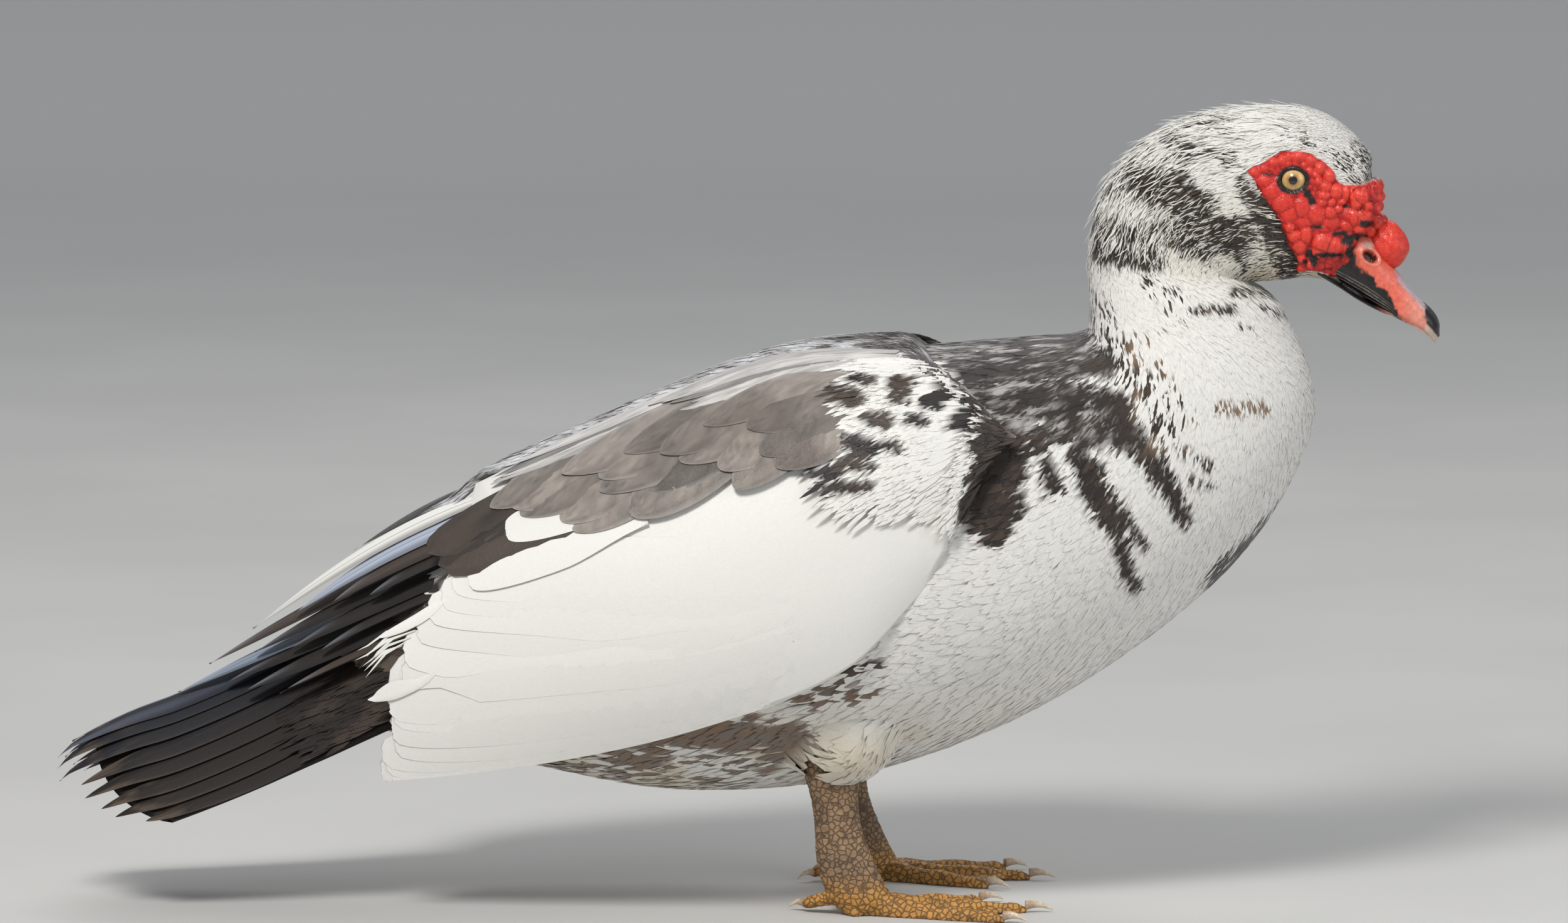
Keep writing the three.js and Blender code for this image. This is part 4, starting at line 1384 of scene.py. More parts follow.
    @staticmethod
    def scaled(p: Array, normal: Array) -> Array:
        """Leg points with their scales: cells over the shank and bands across the toes.

        The height of a cell rises from its border as the difference of the two nearest distances.

        Args:
            p: points (..., 3).
            normal: the normals at the points.

        Returns:
            The raised points.
        """
        first, second = cells(p, 3.1)
        cell = smooth(second - first, 0.02, 0.30)
        toes = smooth(p[..., 2], 13, 9)
        run = np.hypot(p[..., 0] - 58, np.abs(p[..., 1]) - LEG_Y)
        bands = np.abs(np.sin(math.pi * run / 3.4)) ** 0.5
        top = smooth(normal[..., 2], 0.1, 0.5)
        height = 0.34 * cell * (1 - toes * top) + 0.30 * bands * toes * top
        return p + normal * (height - 0.30)[..., None]


def joined(shells: list[Shell]) -> Shell:
    """Several shells as one set of points, triangles and quads.

    Args:
        shells: the shells.

    Returns:
        The joined shell.
    """
    offsets = np.cumsum([0] + [len(s[0]) for s in shells])
    return (
        np.concatenate([s[0] for s in shells]),
        np.concatenate([s[1] + o for s, o in zip(shells, offsets)]),
        np.concatenate([s[2] + o for s, o in zip(shells, offsets)]),
    )


def vertex_points(mesh: bpy.types.Mesh) -> Array:
    """A mesh's vertices in millimetres.

    Args:
        mesh: the mesh.

    Returns:
        The points (n, 3).
    """
    co = np.empty(len(mesh.vertices) * 3, np.float32)
    mesh.vertices.foreach_get("co", co)
    return co.reshape(-1, 3).astype(float) / METRE


def vertex_normals(mesh: bpy.types.Mesh) -> Array:
    """A mesh's vertex normals.

    Args:
        mesh: the mesh.

    Returns:
        The normals (n, 3).
    """
    normals = np.empty(len(mesh.vertices) * 3, np.float32)
    mesh.vertex_normals.foreach_get("vector", normals)
    return normals.reshape(-1, 3).astype(float)


def applied(made: bpy.types.Object) -> None:
    """Puts an object's modifiers into its mesh.

    Args:
        made: the object.
    """
    graph = bpy.context.evaluated_depsgraph_get()
    mesh = bpy.data.meshes.new_from_object(made.evaluated_get(graph), depsgraph=graph)
    made.modifiers.clear()
    made.data = mesh


LEG_GRID = 1.15  # fineness of the grid that melts a leg together
LEG_SMOOTHING = 4


def remeshed_leg(side: Side) -> bpy.types.Object:
    """A leg as one closed mesh: its shells melted together on a fine grid, smoothed and scaled.

    Args:
        side: the side of the bird.

    Returns:
        The leg.
    """
    points, faces, quads = joined(Leg(side).shells())
    made = mesh_object(f"leg_{side.name.lower()}", points, faces, quads)
    melt = made.modifiers.new("melt", "REMESH")
    melt.mode = "VOXEL"
    melt.voxel_size = LEG_GRID * METRE
    melt.use_smooth_shade = True
    calm = made.modifiers.new("calm", "SMOOTH")
    calm.iterations = LEG_SMOOTHING
    calm.factor = 0.5
    applied(made)
    p = Leg.scaled(vertex_points(made.data), vertex_normals(made.data))
    p[:, 2] = np.maximum(p[:, 2], 0.0)
    made.data.vertices.foreach_set("co", (p * METRE).astype(np.float32).reshape(-1))
    return made


def globe(rows: int, columns: int, inset: float) -> Array:
    """Directions over a sphere, in rings from its foot to its top with a small inset angle at both."""
    t, a = np.linspace(inset, math.pi - inset, rows)[:, None], angles(columns)
    return np.stack([np.sin(t) * np.cos(a), np.sin(t) * np.sin(a), -np.cos(t) + 0 * a], -1)


def knob_rings() -> Array:
    """Rings of the fleshy knob: an egg with a groove down each side and small lobes on its shoulder.

    Returns:
        Rings from its foot to its top.
    """
    way = globe(60, 84, 0.03)
    size = np.array([10.4, 9.7, 12.6])
    x, z = way[..., 0], way[..., 2]
    groove = 0.9 * np.exp(-((x + 0.25 - 0.25 * z) / 0.16) ** 2) * smooth(z, -0.5, 0.1) * smooth(z, 1.0, 0.85)
    folds = 0.35 * np.exp(-((x + 0.02 - 0.3 * z) / 0.1) ** 2) * smooth(z, -0.2, 0.3)
    lobes = 1.0 * np.abs(np.sin(4.2 * x + 2.6 * z + 1.0)) * smooth(z, -0.1, 0.5) * smooth(x, 0.7, -0.2)
    first, _ = cells(way + 3.0, 0.62)
    lobes = lobes + 0.7 * np.clip(1 - 1.5 * first * first, 0, 1) ** 0.6 * smooth(z, -0.7, 0.2)
    swell = 1 + 0.025 * np.cos(5.5 * z + 0.6)
    p = way * (size * swell[..., None] + (lobes - groove - folds)[..., None])
    p[..., 0] += -0.10 * p[..., 2]
    return turned(p + KNOB_PLACE)


KNOB_NECK = [  # small lobes between knob and face: place from the knob's middle, and radius
    (-6.5, 4.6, 12.6, 4.0), (-6.5, -4.6, 12.6, 4.0), (-10.0, 7.0, 8.4, 3.6), (-10.0, -7.0, 8.4, 3.6),
    (-4.6, 0.0, 12.8, 4.4), (-8.6, 0.0, 15.0, 4.0),
]


def ball(place: Array, radius: float) -> Array:
    """Rings of a sphere on the head."""
    return turned(place + radius * globe(22, 32, 0.04))


def lid_rings(side: int) -> Array:
    """A beaded lid round an eye, as a tube that runs round the opening and meets itself.

    Args:
        side: 1 for the left eye, -1 for the right one.

    Returns:
        Rings round the opening.
    """
    a, b = angles(120).T, angles(12)
    radius = 0.95 * (1 + 0.16 * np.abs(np.sin(17 * a)))
    flat = np.stack([np.cos(a) * EYE_OPENING[0], np.sin(a) * EYE_OPENING[1]], -1)
    out = unit(np.stack([np.cos(a) / EYE_OPENING[0], np.sin(a) / EYE_OPENING[1]], -1))
    over = np.sqrt(np.maximum(EYE_RADIUS ** 2 - dot(flat, flat), 1.0))
    across = flat + out * (0.55 + radius * np.cos(b))[..., None]
    depth = over + 0.5 + 0.75 * radius * np.sin(b)
    local = np.stack([
        EYE_PLACE[0] + across[..., 0], side * (EYE_PLACE[1] + depth), EYE_PLACE[2] + across[..., 1],
    ], -1)
    return turned(local)


def ring_tube(rings: Array) -> Shell:
    """A tube whose last ring meets its first.

    Args:
        rings: rings of points (rows, columns, 3).

    Returns:
        The shell.
    """
    rows, columns = rings.shape[:2]
    wrapped = grid_faces(rows + 1, columns, True) % (rows * columns)
    return rings.reshape(-1, 3), np.empty((0, 3), int), wrapped


def facing_out(shell: Shell) -> Shell:
    """A closed shell turned, if need be, so that the volume inside its faces is positive.

    Args:
        shell: the shell.

    Returns:
        The shell with its faces outwards.
    """
    points, faces, quads = shell
    tri = np.concatenate([faces, quads[:, [0, 1, 2]], quads[:, [0, 2, 3]]])
    a, b, c = (points[tri[:, k]] for k in range(3))
    if dot(a, np.cross(b, c)).sum() < 0:
        return points, faces[:, ::-1], quads[:, ::-1]
    return shell


KNOB_SIZE = np.array([13.0, 12.0, 15.0])  # half axes of the room that the knob takes up


def skin_colours(p: Array, normal: Array) -> tuple[Array, Array]:
    """Colours of the skin and its kinds.

    Args:
        p: points (n, 3).
        normal: their normals.

    Returns:
        Base colours (n, 3), and for each point how far it is red flesh, leg scales and feathered skin.
    """
    knob = np.linalg.norm((turned(p, -1.0) - KNOB_PLACE) / KNOB_SIZE, axis=-1) < 1.06
    neck = np.array([[x, y, z] for x, y, z, _ in KNOB_NECK]) + KNOB_PLACE
    for place, (*_, radius) in zip(neck, KNOB_NECK):
        knob |= np.linalg.norm(turned(p, -1.0) - place, axis=-1) < radius + 0.3
    head = p[:, 0] > HEAD_FROM
    rim = mask_depth(p) + 2.4 * (noise(p, 3.2, 77) - 0.5)
    bare = np.where(head, smooth(rim, -0.6, 0.2), 0.0)
    bare = np.where(knob & (p[:, 0] > 334), 1.0, bare)
    legs = (p[:, 2] < 96) & (np.abs(np.abs(p[:, 1]) - LEG_Y) < 48) & (p[:, 0] > 10)
    legs &= np.hypot(p[:, 0] - 46, (np.abs(p[:, 1]) - LEG_Y) * 1.4) < np.where(p[:, 2] < 60, 900, 22)
    legs &= (p[:, 2] < 74) | (np.hypot(p[:, 0] - 46, (np.abs(p[:, 1]) - LEG_Y) * 1.4) < 17)
    leg = legs.astype(float)
    share = dark_share(p, MARKS, 3)
    colour = mixed(PAINT.white, PAINT.brown, np.clip(share * 1.1, 0, 1))
    top, creased = Skin.warts(p)
    top = np.where(head & ~knob, top, 2.6)
    creased = np.where(head & ~knob, creased, 0.0)
    # Painted highlight: the higher the wart, the brighter its red, and the knob bright throughout. Painted
    # shade: a darker red in the creases between the warts.
    red = mixed(PAINT.red, PAINT.highlight_red, smooth(top, 0.8, 3.2) * (0.5 + 0.5 * noise(p, 5.0, 8)))
    red = mixed(red, PAINT.crease_shade_red, 0.8 * creased)
    colour = mixed(colour, red, bare)
    x, h = picture(faced(p))
    soot = np.zeros(len(p))
    for cx, ch, long, tall in DARK_PATCHES:
        r = np.hypot((x - cx) / long, (h - ch) / tall) + 0.5 * (noise(p, 1.3, 4) - 0.5)
        soot = np.maximum(soot, 1 - smooth(r, 0.75, 1.15))
    ring = eye_ring(p)
    lid = smooth(ring + 0.12 * (noise(p, 1.0, 6) - 0.5), 1.42, 1.26)
    soot = np.maximum(soot, lid)
    away = (p[:, 0] > HEAD_FROM) & ~(knob & (p[:, 0] > 337))
    colour = mixed(colour, PAINT.soot, np.where(away, soot * bare, 0.0))
    lower = smooth(p[:, 2], 26, 8)
    scales = mixed(PAINT.leg, PAINT.web, lower)
    scales = mixed(scales, PAINT.sole, smooth(p[:, 2], 1.5, 0.4) * smooth(normal[:, 2], -0.5, -0.9))
    scales = scales * (0.75 + 0.5 * noise(p, 9.0, 11))[:, None]
    colour = mixed(colour, scales, leg)
    return colour, np.stack([bare * (1 - leg), leg, (1 - bare) * (1 - leg)], -1)


def build_skin(material: bpy.types.Material) -> bpy.types.Object:
    """Joins rump to face, knob, lids and legs into one closed skin and colours it.

    Args:
        material: the material of the piece.

    Returns:
        The skin.
    """
    made = mesh_object("skin", *facing_out(tube(Skin().shape())))
    parts = [facing_out(tube(knob_rings()))]
    parts += [facing_out(tube(ball(KNOB_PLACE + np.array([x, y, z]), r))) for x, y, z, r in KNOB_NECK]
    parts += [facing_out(ring_tube(lid_rings(side.value))) for side in Side]
    extras = [mesh_object(f"extra_{k}", *part) for k, part in enumerate(parts)]
    extras += [remeshed_leg(side) for side in Side]
    for extra in extras:
        join = made.modifiers.new(extra.name, "BOOLEAN")
        join.operation = "UNION"
        join.solver = "MANIFOLD"
        join.object = extra
    applied(made)
    for extra in extras:
        bpy.data.objects.remove(extra)
    mesh = made.data
    mesh.polygons.foreach_set("use_smooth", np.ones(len(mesh.polygons), bool))
    points = vertex_points(mesh)
    colour, kind = skin_colours(points, vertex_normals(mesh))
    set_tint(mesh, colour)
    set_vector(mesh, "Kind", kind)
    set_bake_map(mesh, unwrap(points))
    mesh.materials.clear()
    mesh.materials.append(material)
    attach(made, "root")
    names = ["trunk", "neck", "head", "knob"]
    names += [f"{part}_{side.name.lower()}" for side in Side for part in ("thigh", "shank", "foot")]
    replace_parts(made, *names)
    LOG.info("skin: %d faces", len(mesh.polygons))
    return made


AT_ONCE = 20000  # points worked on together, which keeps the arrays small


def unwrap(p: Array) -> Array:
    """A place on the bake map for any point of the skin: along by the nearest station, around by angle.

    Args:
        p: points (..., 3).

    Returns:
        A place for each point (n, 2).
    """
    us = np.linspace(0, LAST, 131)
    bx, bz, vx, vz, _ = (f(us) for f in STATION_LINES)
    middle = np.stack([0.53 * bx + 0.47 * vx, 0 * bx, 0.53 * bz + 0.47 * vz], -1)
    middle = turned(middle, smooth(us, TURN_FROM, TURN_TO))
    place = np.zeros((len(p), 2))
    for start in range(0, len(p), AT_ONCE):
        q = p[start:start + AT_ONCE]
        away = np.linalg.norm(q[:, None, [0, 2]] - middle[None, :, [0, 2]], axis=-1)
        k = away.argmin(1)
        rel = q - middle[k]
        down = np.stack([vx - bx, vz - bz], -1)[k]
        down /= np.linalg.norm(down, axis=-1, keepdims=True)
        depth = rel[:, 0] * down[:, 0] + rel[:, 2] * down[:, 1]
        angle = np.arctan2(rel[:, 1], -depth)
        place[start:start + AT_ONCE] = np.stack([0.5 + angle / (2 * math.pi), us[k] / LAST], -1)
    return np.clip(0.01 + 0.98 * place, 0, 1)


# The coat of the body


FEATHER_CELL = 0.87  # area that a feather takes, as a share of its pitch squared


@dataclass
class Roots:
    """Where feathers start on a surface."""

    u: Array
    v: Array
    at: Array


def scatter(surface: Surface, pitch: Callable[[Array, Array], Array], keep: Callable[[Array], Array],
            random: np.random.Generator) -> Roots:
    """Even roots over a surface: every cell of its table gets its area over that of one feather.

    Args:
        surface: the surface.
        pitch: distance between neighbours, from u and v.
        keep: share of the roots kept, from points.
        random: the random numbers.

    Returns:
        The roots, in the order of the table.
    """
    t = surface.table
    last = surface.size[1] if surface.closed else surface.size[1] - 1
    cell = t[:-1, :last]
    area = np.linalg.norm(np.cross(cell[..., 3:6], cell[..., 6:9]), axis=-1) * abs(surface.du * surface.dv)
    us = surface.u[0] + surface.du * np.arange(surface.size[0] - 1)
    vs = surface.v[0] + surface.dv * np.arange(last)
    uu, vv = np.meshgrid(us, vs, indexing="ij")
    want = area / (FEATHER_CELL * pitch(uu, vv) ** 2) * keep(cell[..., 0:3])
    total = np.cumsum(want.reshape(-1))
    marks = np.arange(int(total[-1])) + random.uniform(0.15, 0.85, int(total[-1]))
    index = np.minimum(np.searchsorted(total, marks), total.size - 1)
    u = uu.reshape(-1)[index] + surface.du * random.random(len(index))
    v = vv.reshape(-1)[index] + surface.dv * random.random(len(index))
    return Roots(u, v, surface.sample(u, v).at)


def between(x: Array, low: float, high: float, soft: float) -> Array:
    """A soft window: 1 from low to high, falling to 0 over a soft width outside."""
    return smooth(x, low - soft, low) * smooth(x, high + soft, high)


def folded(v: Array) -> Array:
    """The angle from the back, 0 to pi, whichever side of the body v is on."""
    return np.abs((v + math.pi) % (2 * math.pi) - math.pi)


def mixed_value(a: Array, b: Array, share: Array) -> Array:
    """Values between a and b, by a share."""
    return a + (b - a) * share


def mottled(at: Array) -> Array:
    """Colours of the mantle: dark feathers like cells, pale along their edges and some pale all over.

    Args:
        at: points (..., 3).

    Returns:
        A colour for each point.
    """
    first, second = cells(at * np.array([0.6, 1.0, 1.0]), 7.0)
    edge = smooth(second - first, 0.13, 0.02) * smooth(noise(at, 9.0, 64), 0.35, 0.5)
    blot = smooth(noise(at * np.array([0.5, 1, 1]), 4.0, 62), 0.66, 0.72)
    p = mixed(PAINT.black, (0.050, 0.036, 0.028), noise(at, 9.0, 61))
    return mixed(p, (0.50, 0.48, 0.47), np.maximum(0.45 * edge, 0.8 * blot))


BILL_FROM, FOREHEAD = 334.0, 393.0  # no feathers ahead of the first and below the second


@dataclass(frozen=True)
class Region:
    """A part of the body's coat that becomes one piece: its stations, kind of feather and looks."""

    name: str
    seed: int
    first: float
    last: float
    plume: Plume
    pale_tip: float = 0.0  # share of dark feathers with a pale tip
    spread: float = 5.0  # how far headings differ, degrees
    swirl: float = 0.0  # how far a feather bends, radians
    wisps: float = 0.0  # share of loose pale hairs laid over the rest


@dataclass
class BodyCoat:
    """Feathers over rump, trunk, breast, neck and head, each size a smooth line along the body."""

    pitch: Profile = line([
        [-1, 5.0], [0, 4.8], [2, 4.1], [3.5, 3.7], [4.2, 2.6], [5, 2.05], [6, 1.8], [7, 1.6], [8, 1.5],
        [9, 1.36], [10, 1.30], [11, 1.16], [12, 1.12], [14, 1.10],
    ])
    length: Profile = line([
        [-1, 26], [3.5, 24], [4.2, 19], [5, 16], [6, 14], [7, 12], [8, 11], [9, 12], [10, 11],
        [11, 9.5], [12, 9.5], [14, 9],
    ])
    width: Profile = line([
        [-1, 8], [2, 6], [3.5, 4.8], [4.2, 3.3], [5, 2.5], [6, 2.1], [7, 1.6], [8, 1.3], [9, 1.2],
        [10, 1.05], [11, 0.9], [14, 0.85],
    ])
    sunk: Profile = line([[-1, 0.6], [3, 0.75], [4, 0.86], [6, 0.84], [8, 0.70], [9, 0.55], [14, 0.5]])
    regions: tuple = (
        Region("coat_rump", 11, -1, 2, DOWN), Region("coat_belly", 12, 2, 4.1, DOWN),
        Region("coat_breast", 13, 4.1, 4.65, DOWN), Region("coat_chest", 19, 4.65, 5.25, DOWN),
        Region("coat_throat", 14, 5.25, 6.4, DOWN), Region("coat_neck", 15, 6.4, 8.4, DOWN, 0.1, 7, 0.2),
        Region("coat_nape", 16, 8.4, 9.5, HAIR, 0.28, 10, 0.9, 0.16),
        Region("coat_cheek", 18, 9.5, 10.6, HAIR, 0.22, 9, 0.8, 0.12),
        Region("coat_crown", 17, 10.6, 14, HAIR, 0.25, 8, 0.5, 0.08),
    )

    def __post_init__(self) -> None:
        """Makes the surface the feathers lie on."""
        self.surface = Surface(skin_shape, (-1, LAST + 1), (0, 2 * math.pi), (420, 208), closed=True)

    @staticmethod
    def keep(p: Array) -> Array:
        """Share of roots kept: none under the wings, on the mask, the bill's base or the shanks.

        Args:
            p: points (..., 3).

        Returns:
            1 where roots stay and 0 where they don't.
        """
        x, y, z = p[..., 0], np.abs(p[..., 1]), p[..., 2]
        under_wing = (x > -150) & (x < 62) & (z > WING_LOW(x) + 16)
        shank = (np.hypot(x - 45, y - LEG_Y) < 15) & (z < 90)
        bare = (x > HEAD_FROM) & (mask_depth(p) > -0.3)
        bill = (turned(p, -1.0)[..., 0] > BILL_FROM) & (z < FOREHEAD)
        return np.where(under_wing | shank | bare | bill, 0.0, 1.0)

    def batch(self, region: Region, random: np.random.Generator, roots: Roots, wisps: bool = False) -> Batch:
        """Centre lines, widths and lifts of a region's feathers, or of the loose hairs over them.

        Args:
            region: the part of the coat.
            random: the piece's random numbers.
            roots: where its feathers start.
            wisps: whether these are its loose hairs.

        Returns:
            The feathers.
        """
        u, fold = roots.u, folded(roots.v)
        n = len(u)
        depth = DEPTH_LINE(u)
        crest = between(u, 8.3, 10.9, 0.5) * smooth(fold, 1.8, 0.8)
        cheek = smooth(u, 9.3, 10.2) * smooth(fold, 0.9, 1.3)
        length = self.length(u) * random.uniform(0.8, 1.25, n) * (1 + 0.4 * crest) * (1 - 0.35 * cheek)
        width = self.width(u) * random.uniform(0.8, 1.25, n)
        chin = (roots.at[:, 0] > 270) & (roots.at[:, 2] < 353) & (u > 9)
        length = np.where(chin, 0.5 * length, length)
        clump = noise(roots.at, 6.0, 41) - 0.5
        heading = np.radians(random.normal(0, region.spread, n)) + 0.9 * clump * region.swirl
        heading = heading + 0.35 * between(u, 4.3, 6.6, 0.6) * np.sin(fold)
        swirl = region.swirl * random.normal(0, 0.6, n)
        swirl = swirl + 0.8 * region.swirl * (noise(roots.at, 5.0, 42) - 0.5)
        us, vs = self.surface.march(u, roots.v, heading, length, plume_steps(region.plume), swirl)
        root = depth * self.sunk(u)
        tip = depth * random.uniform(0.95, 1.0, n) + crest * random.uniform(-1.5, 1.2, n)
        tip = tip - 1.6 * smooth(u, 9.8, 11) * (1 - smooth(u, 13, 14))
        if wisps:
            tip = tip + 0.3 + crest * random.uniform(-0.5, 4.0, n)
            width = 0.6 * width
        power = 1.3 if wisps else 0.9
        return Batch(self.surface, region.plume, us, vs, width, root, tip, 0 * u, lift_power=power)

    @staticmethod
    def paint(region: Region, random: np.random.Generator, wisps: bool = False) -> Painter:
        """The colours of a region's feathers.

        Every feather has a threshold of its own, part chance and part shared with its neighbours, and
        is dark where the share of dark feathers at a point is above it, so that patches end in barbs.

        Args:
            region: the part of the coat.
            random: the piece's random numbers.
            wisps: whether these are its loose hairs.

        Returns:
            The function that gives their colours.
        """

        def colours(at: Array, t: Array, a: Array) -> Array:
            """White to cream, with the dark marks drawn over whole feathers.

            Args:
                at: points of the feathers (n, rows, columns, 3).
                t: share along each feather (1, rows, 1).
                a: share across it (n, rows, columns), -1 on the back's side; not used.

            Returns:
                A colour for each point.
            """
            n = len(at)
            x, z = at[..., 0], at[..., 2]
            root = at[:, 0, at.shape[2] // 2]
            clump = noise(root, 4.2, 51)[:, None, None]
            head = smooth(root[:, 2], 335, 350)[:, None, None] * smooth(root[:, 0], 322, 300)[:, None, None]
            spread = random.random((n, 1, 1))
            shared = 0.6 * spread + 0.9 * clump - 0.25
            own = np.clip(0.12 + 0.80 * mixed_value(spread, shared, head), 0.1, 1.0)
            share = dark_share(at, MARKS, 3)
            slid = at + (random.random((n, 1, 1, 1)) - 0.5) * np.array([4.0, 0.0, 3.0])
            mantle = dark_share(at, MANTLE, 13)
            dark = smooth(share - own, -0.05, 0.05)
            tone = random.uniform(0.95, 1.03, (n, 1, 1, 1))
            pale = np.broadcast_to(np.array(PAINT.white), at.shape) * tone
            low = smooth(noise(at, 26.0, 21), 0.40, 0.70) * smooth(z, 130, 90) * smooth(x, 170, 60)
            pale = mixed(pale, PAINT.cream, 0.7 * low)
            chin = smooth(x, 250, 276) * smooth(z, 357, 345) * smooth(z, 326, 334)
            cheek = smooth(x, 205, 240) * smooth(z, 395, 370) * smooth(z, 330, 345)
            pale = mixed(pale, PAINT.cream, np.maximum(0.8 * chin, 0.35 * cheek))
            kind = random.random((n, 1, 1)) + 0 * share
            ink = mixed(PAINT.black, PAINT.brown, kind * (0.6 + 0.8 * noise(at, 8.0, 52)))
            flank = smooth(z, 150, 120) * smooth(x, 120, 80)
            ink = mixed(ink, mixed(PAINT.tan, PAINT.grey, kind), 0.75 * flank)
            tawny = between(x, 208, 245, 6) * between(z, 256, 318, 8) * smooth(noise(at, 12.0, 53), 0.3, 0.6)
            tawny = np.maximum(tawny, between(x, 250, 280, 4) * between(z, 255, 280, 4))
            ink = mixed(ink, PAINT.tan, 0.7 * tawny)
            ink = mixed(ink, mottled(slid), smooth(mantle, 0.3, 0.6))
            dark = np.maximum(dark, smooth(mantle - own, -0.05, 0.05))
            tipped = (random.random((n, 1, 1)) < region.pale_tip) * smooth(t, 0.55, 0.9)
            ink = mixed(ink, PAINT.white, 0.85 * tipped + 0 * share)
            if wisps:
                return mixed(pale, PAINT.cream, 0.3 * kind)
            return mixed(pale, ink, dark)

        return colours

    def build(self, material: bpy.types.Material) -> None:
        """Builds one coat piece for each region.

        Args:
            material: the material of the plumage.
        """
        random = np.random.default_rng(4)
        roots = scatter(self.surface, lambda u, v: self.pitch(u), self.keep, random)
        for region in self.regions:
            inside = (roots.u >= region.first) & (roots.u < region.last)
            own = Roots(roots.u[inside], roots.v[inside], roots.at[inside])
            coat = Coat(region.name, region.seed)
            coat.grow(self.batch(region, coat.random, own), self.paint(region, coat.random))
            if region.wisps:
                some = coat.random.random(len(own.u)) < region.wisps
                few = Roots(own.u[some], own.v[some], own.at[some])
                coat.grow(self.batch(region, coat.random, few, True), self.paint(region, coat.random, True))
            coat.build(material, "plumage")


# Wings


WING_TOP = line([[-205, 191], [-177, 214.5], [-92, 256], [10, 297], [75, 304.5], [110, 298], [140, 272]])
WING_TOP_OUT = line([[-205, 20], [-150, 8], [-50, 4], [20, 10], [75, 34], [110, 50], [140, 75]])
WING_MID = line([[-200, 120], [-100, 150], [0, 175], [100, 215], [140, 236]])
WING_OUT = line([[-200, 70], [-160, 82], [-120, 94], [-60, 109], [0, 115], [60, 113], [100, 105], [140, 97]])
WING_LOW = line([[-215, 74], [-200, 74], [-109, 87], [-24, 108], [53, 140], [99, 188]])
WING_LOW_OUT = line([[-200, 66], [-109, 84], [-24, 99], [53, 104], [99, 100]])


def wing_point(x: Array, v: Array, side: int) -> Array:
    """The folded wing's outer surface.

    Above its widest line it is a quarter of a squared oval from the ridge of the back to the widest
    line, and below that a parabola down to the lower edge.

    Args:
        x: place along the body.
        v: 0 at the top edge, 0.5 at the widest line, 1 at the lower edge.
        side: 1 for the left wing, -1 for the right one.

    Returns:
        Points (..., 3).
    """
    x, v = np.broadcast_arrays(np.asarray(x, float), np.asarray(v, float))
    mid, out, top, top_out = WING_MID(x), WING_OUT(x), WING_TOP(x), WING_TOP_OUT(x)
    a = np.clip(v, -0.1, 0.5) * math.pi
    q = np.clip(2 * v - 1, 0, 1)
    low = np.minimum(WING_LOW(x), mid - 1)
    y = top_out + (out - top_out) * np.sign(a) * np.abs(np.sin(a)) ** (2 / 2.3)
    z = mid + (top - mid) * np.maximum(np.cos(a), 0) ** (2 / 2.3)
    y = np.where(v > 0.5, out + (WING_LOW_OUT(x) - out) * q * q, y)
    z = np.where(v > 0.5, mid + (low - mid) * q, z)
    return np.stack([x, side * y, z], -1)


def form_object(name: str, outer: Array, inner: Array, paint: tuple) -> tuple[bpy.types.Object, Array]:
    """A closed smooth form of one colour between two sheets.

    Args:
        name: the object's name.
        outer: points of the outer sheet (rows, columns, 3).
        inner: the same of the inner one.
        paint: its colour.

    Returns:
        The object and its vertices in millimetres.
    """
    made = mesh_object(name, *facing_out(tube(np.concatenate([outer, inner[:, ::-1]], 1))))
    q = vertex_points(made.data)
    set_tint(made.data, np.broadcast_to(np.array(paint), q.shape))
    return made, q


@dataclass(frozen=True)
class Row:
    """A row of large feathers, each from a root to a tip in the wing's own two parameters.

    Roots and tips are lists of (x, v) spread evenly over the feathers of the row, from the top one down.
    """

    count: int
    roots: tuple
    tips: tuple
    width: float
    tint: tuple
    lift: float
    roll: float
    plume: Plume = VANE
    shaft: float = 0.0
    fringe: float = 0.0  # how pale the edges are
    dusk: float = 0.0  # how dark the part near the tip is
    jitter: float = 1.5
    sunk: float = 0.0  # how deep the root lies under the surface, mm
    bend: float = 0.0  # how far the middle of the feather sags, as a share of v


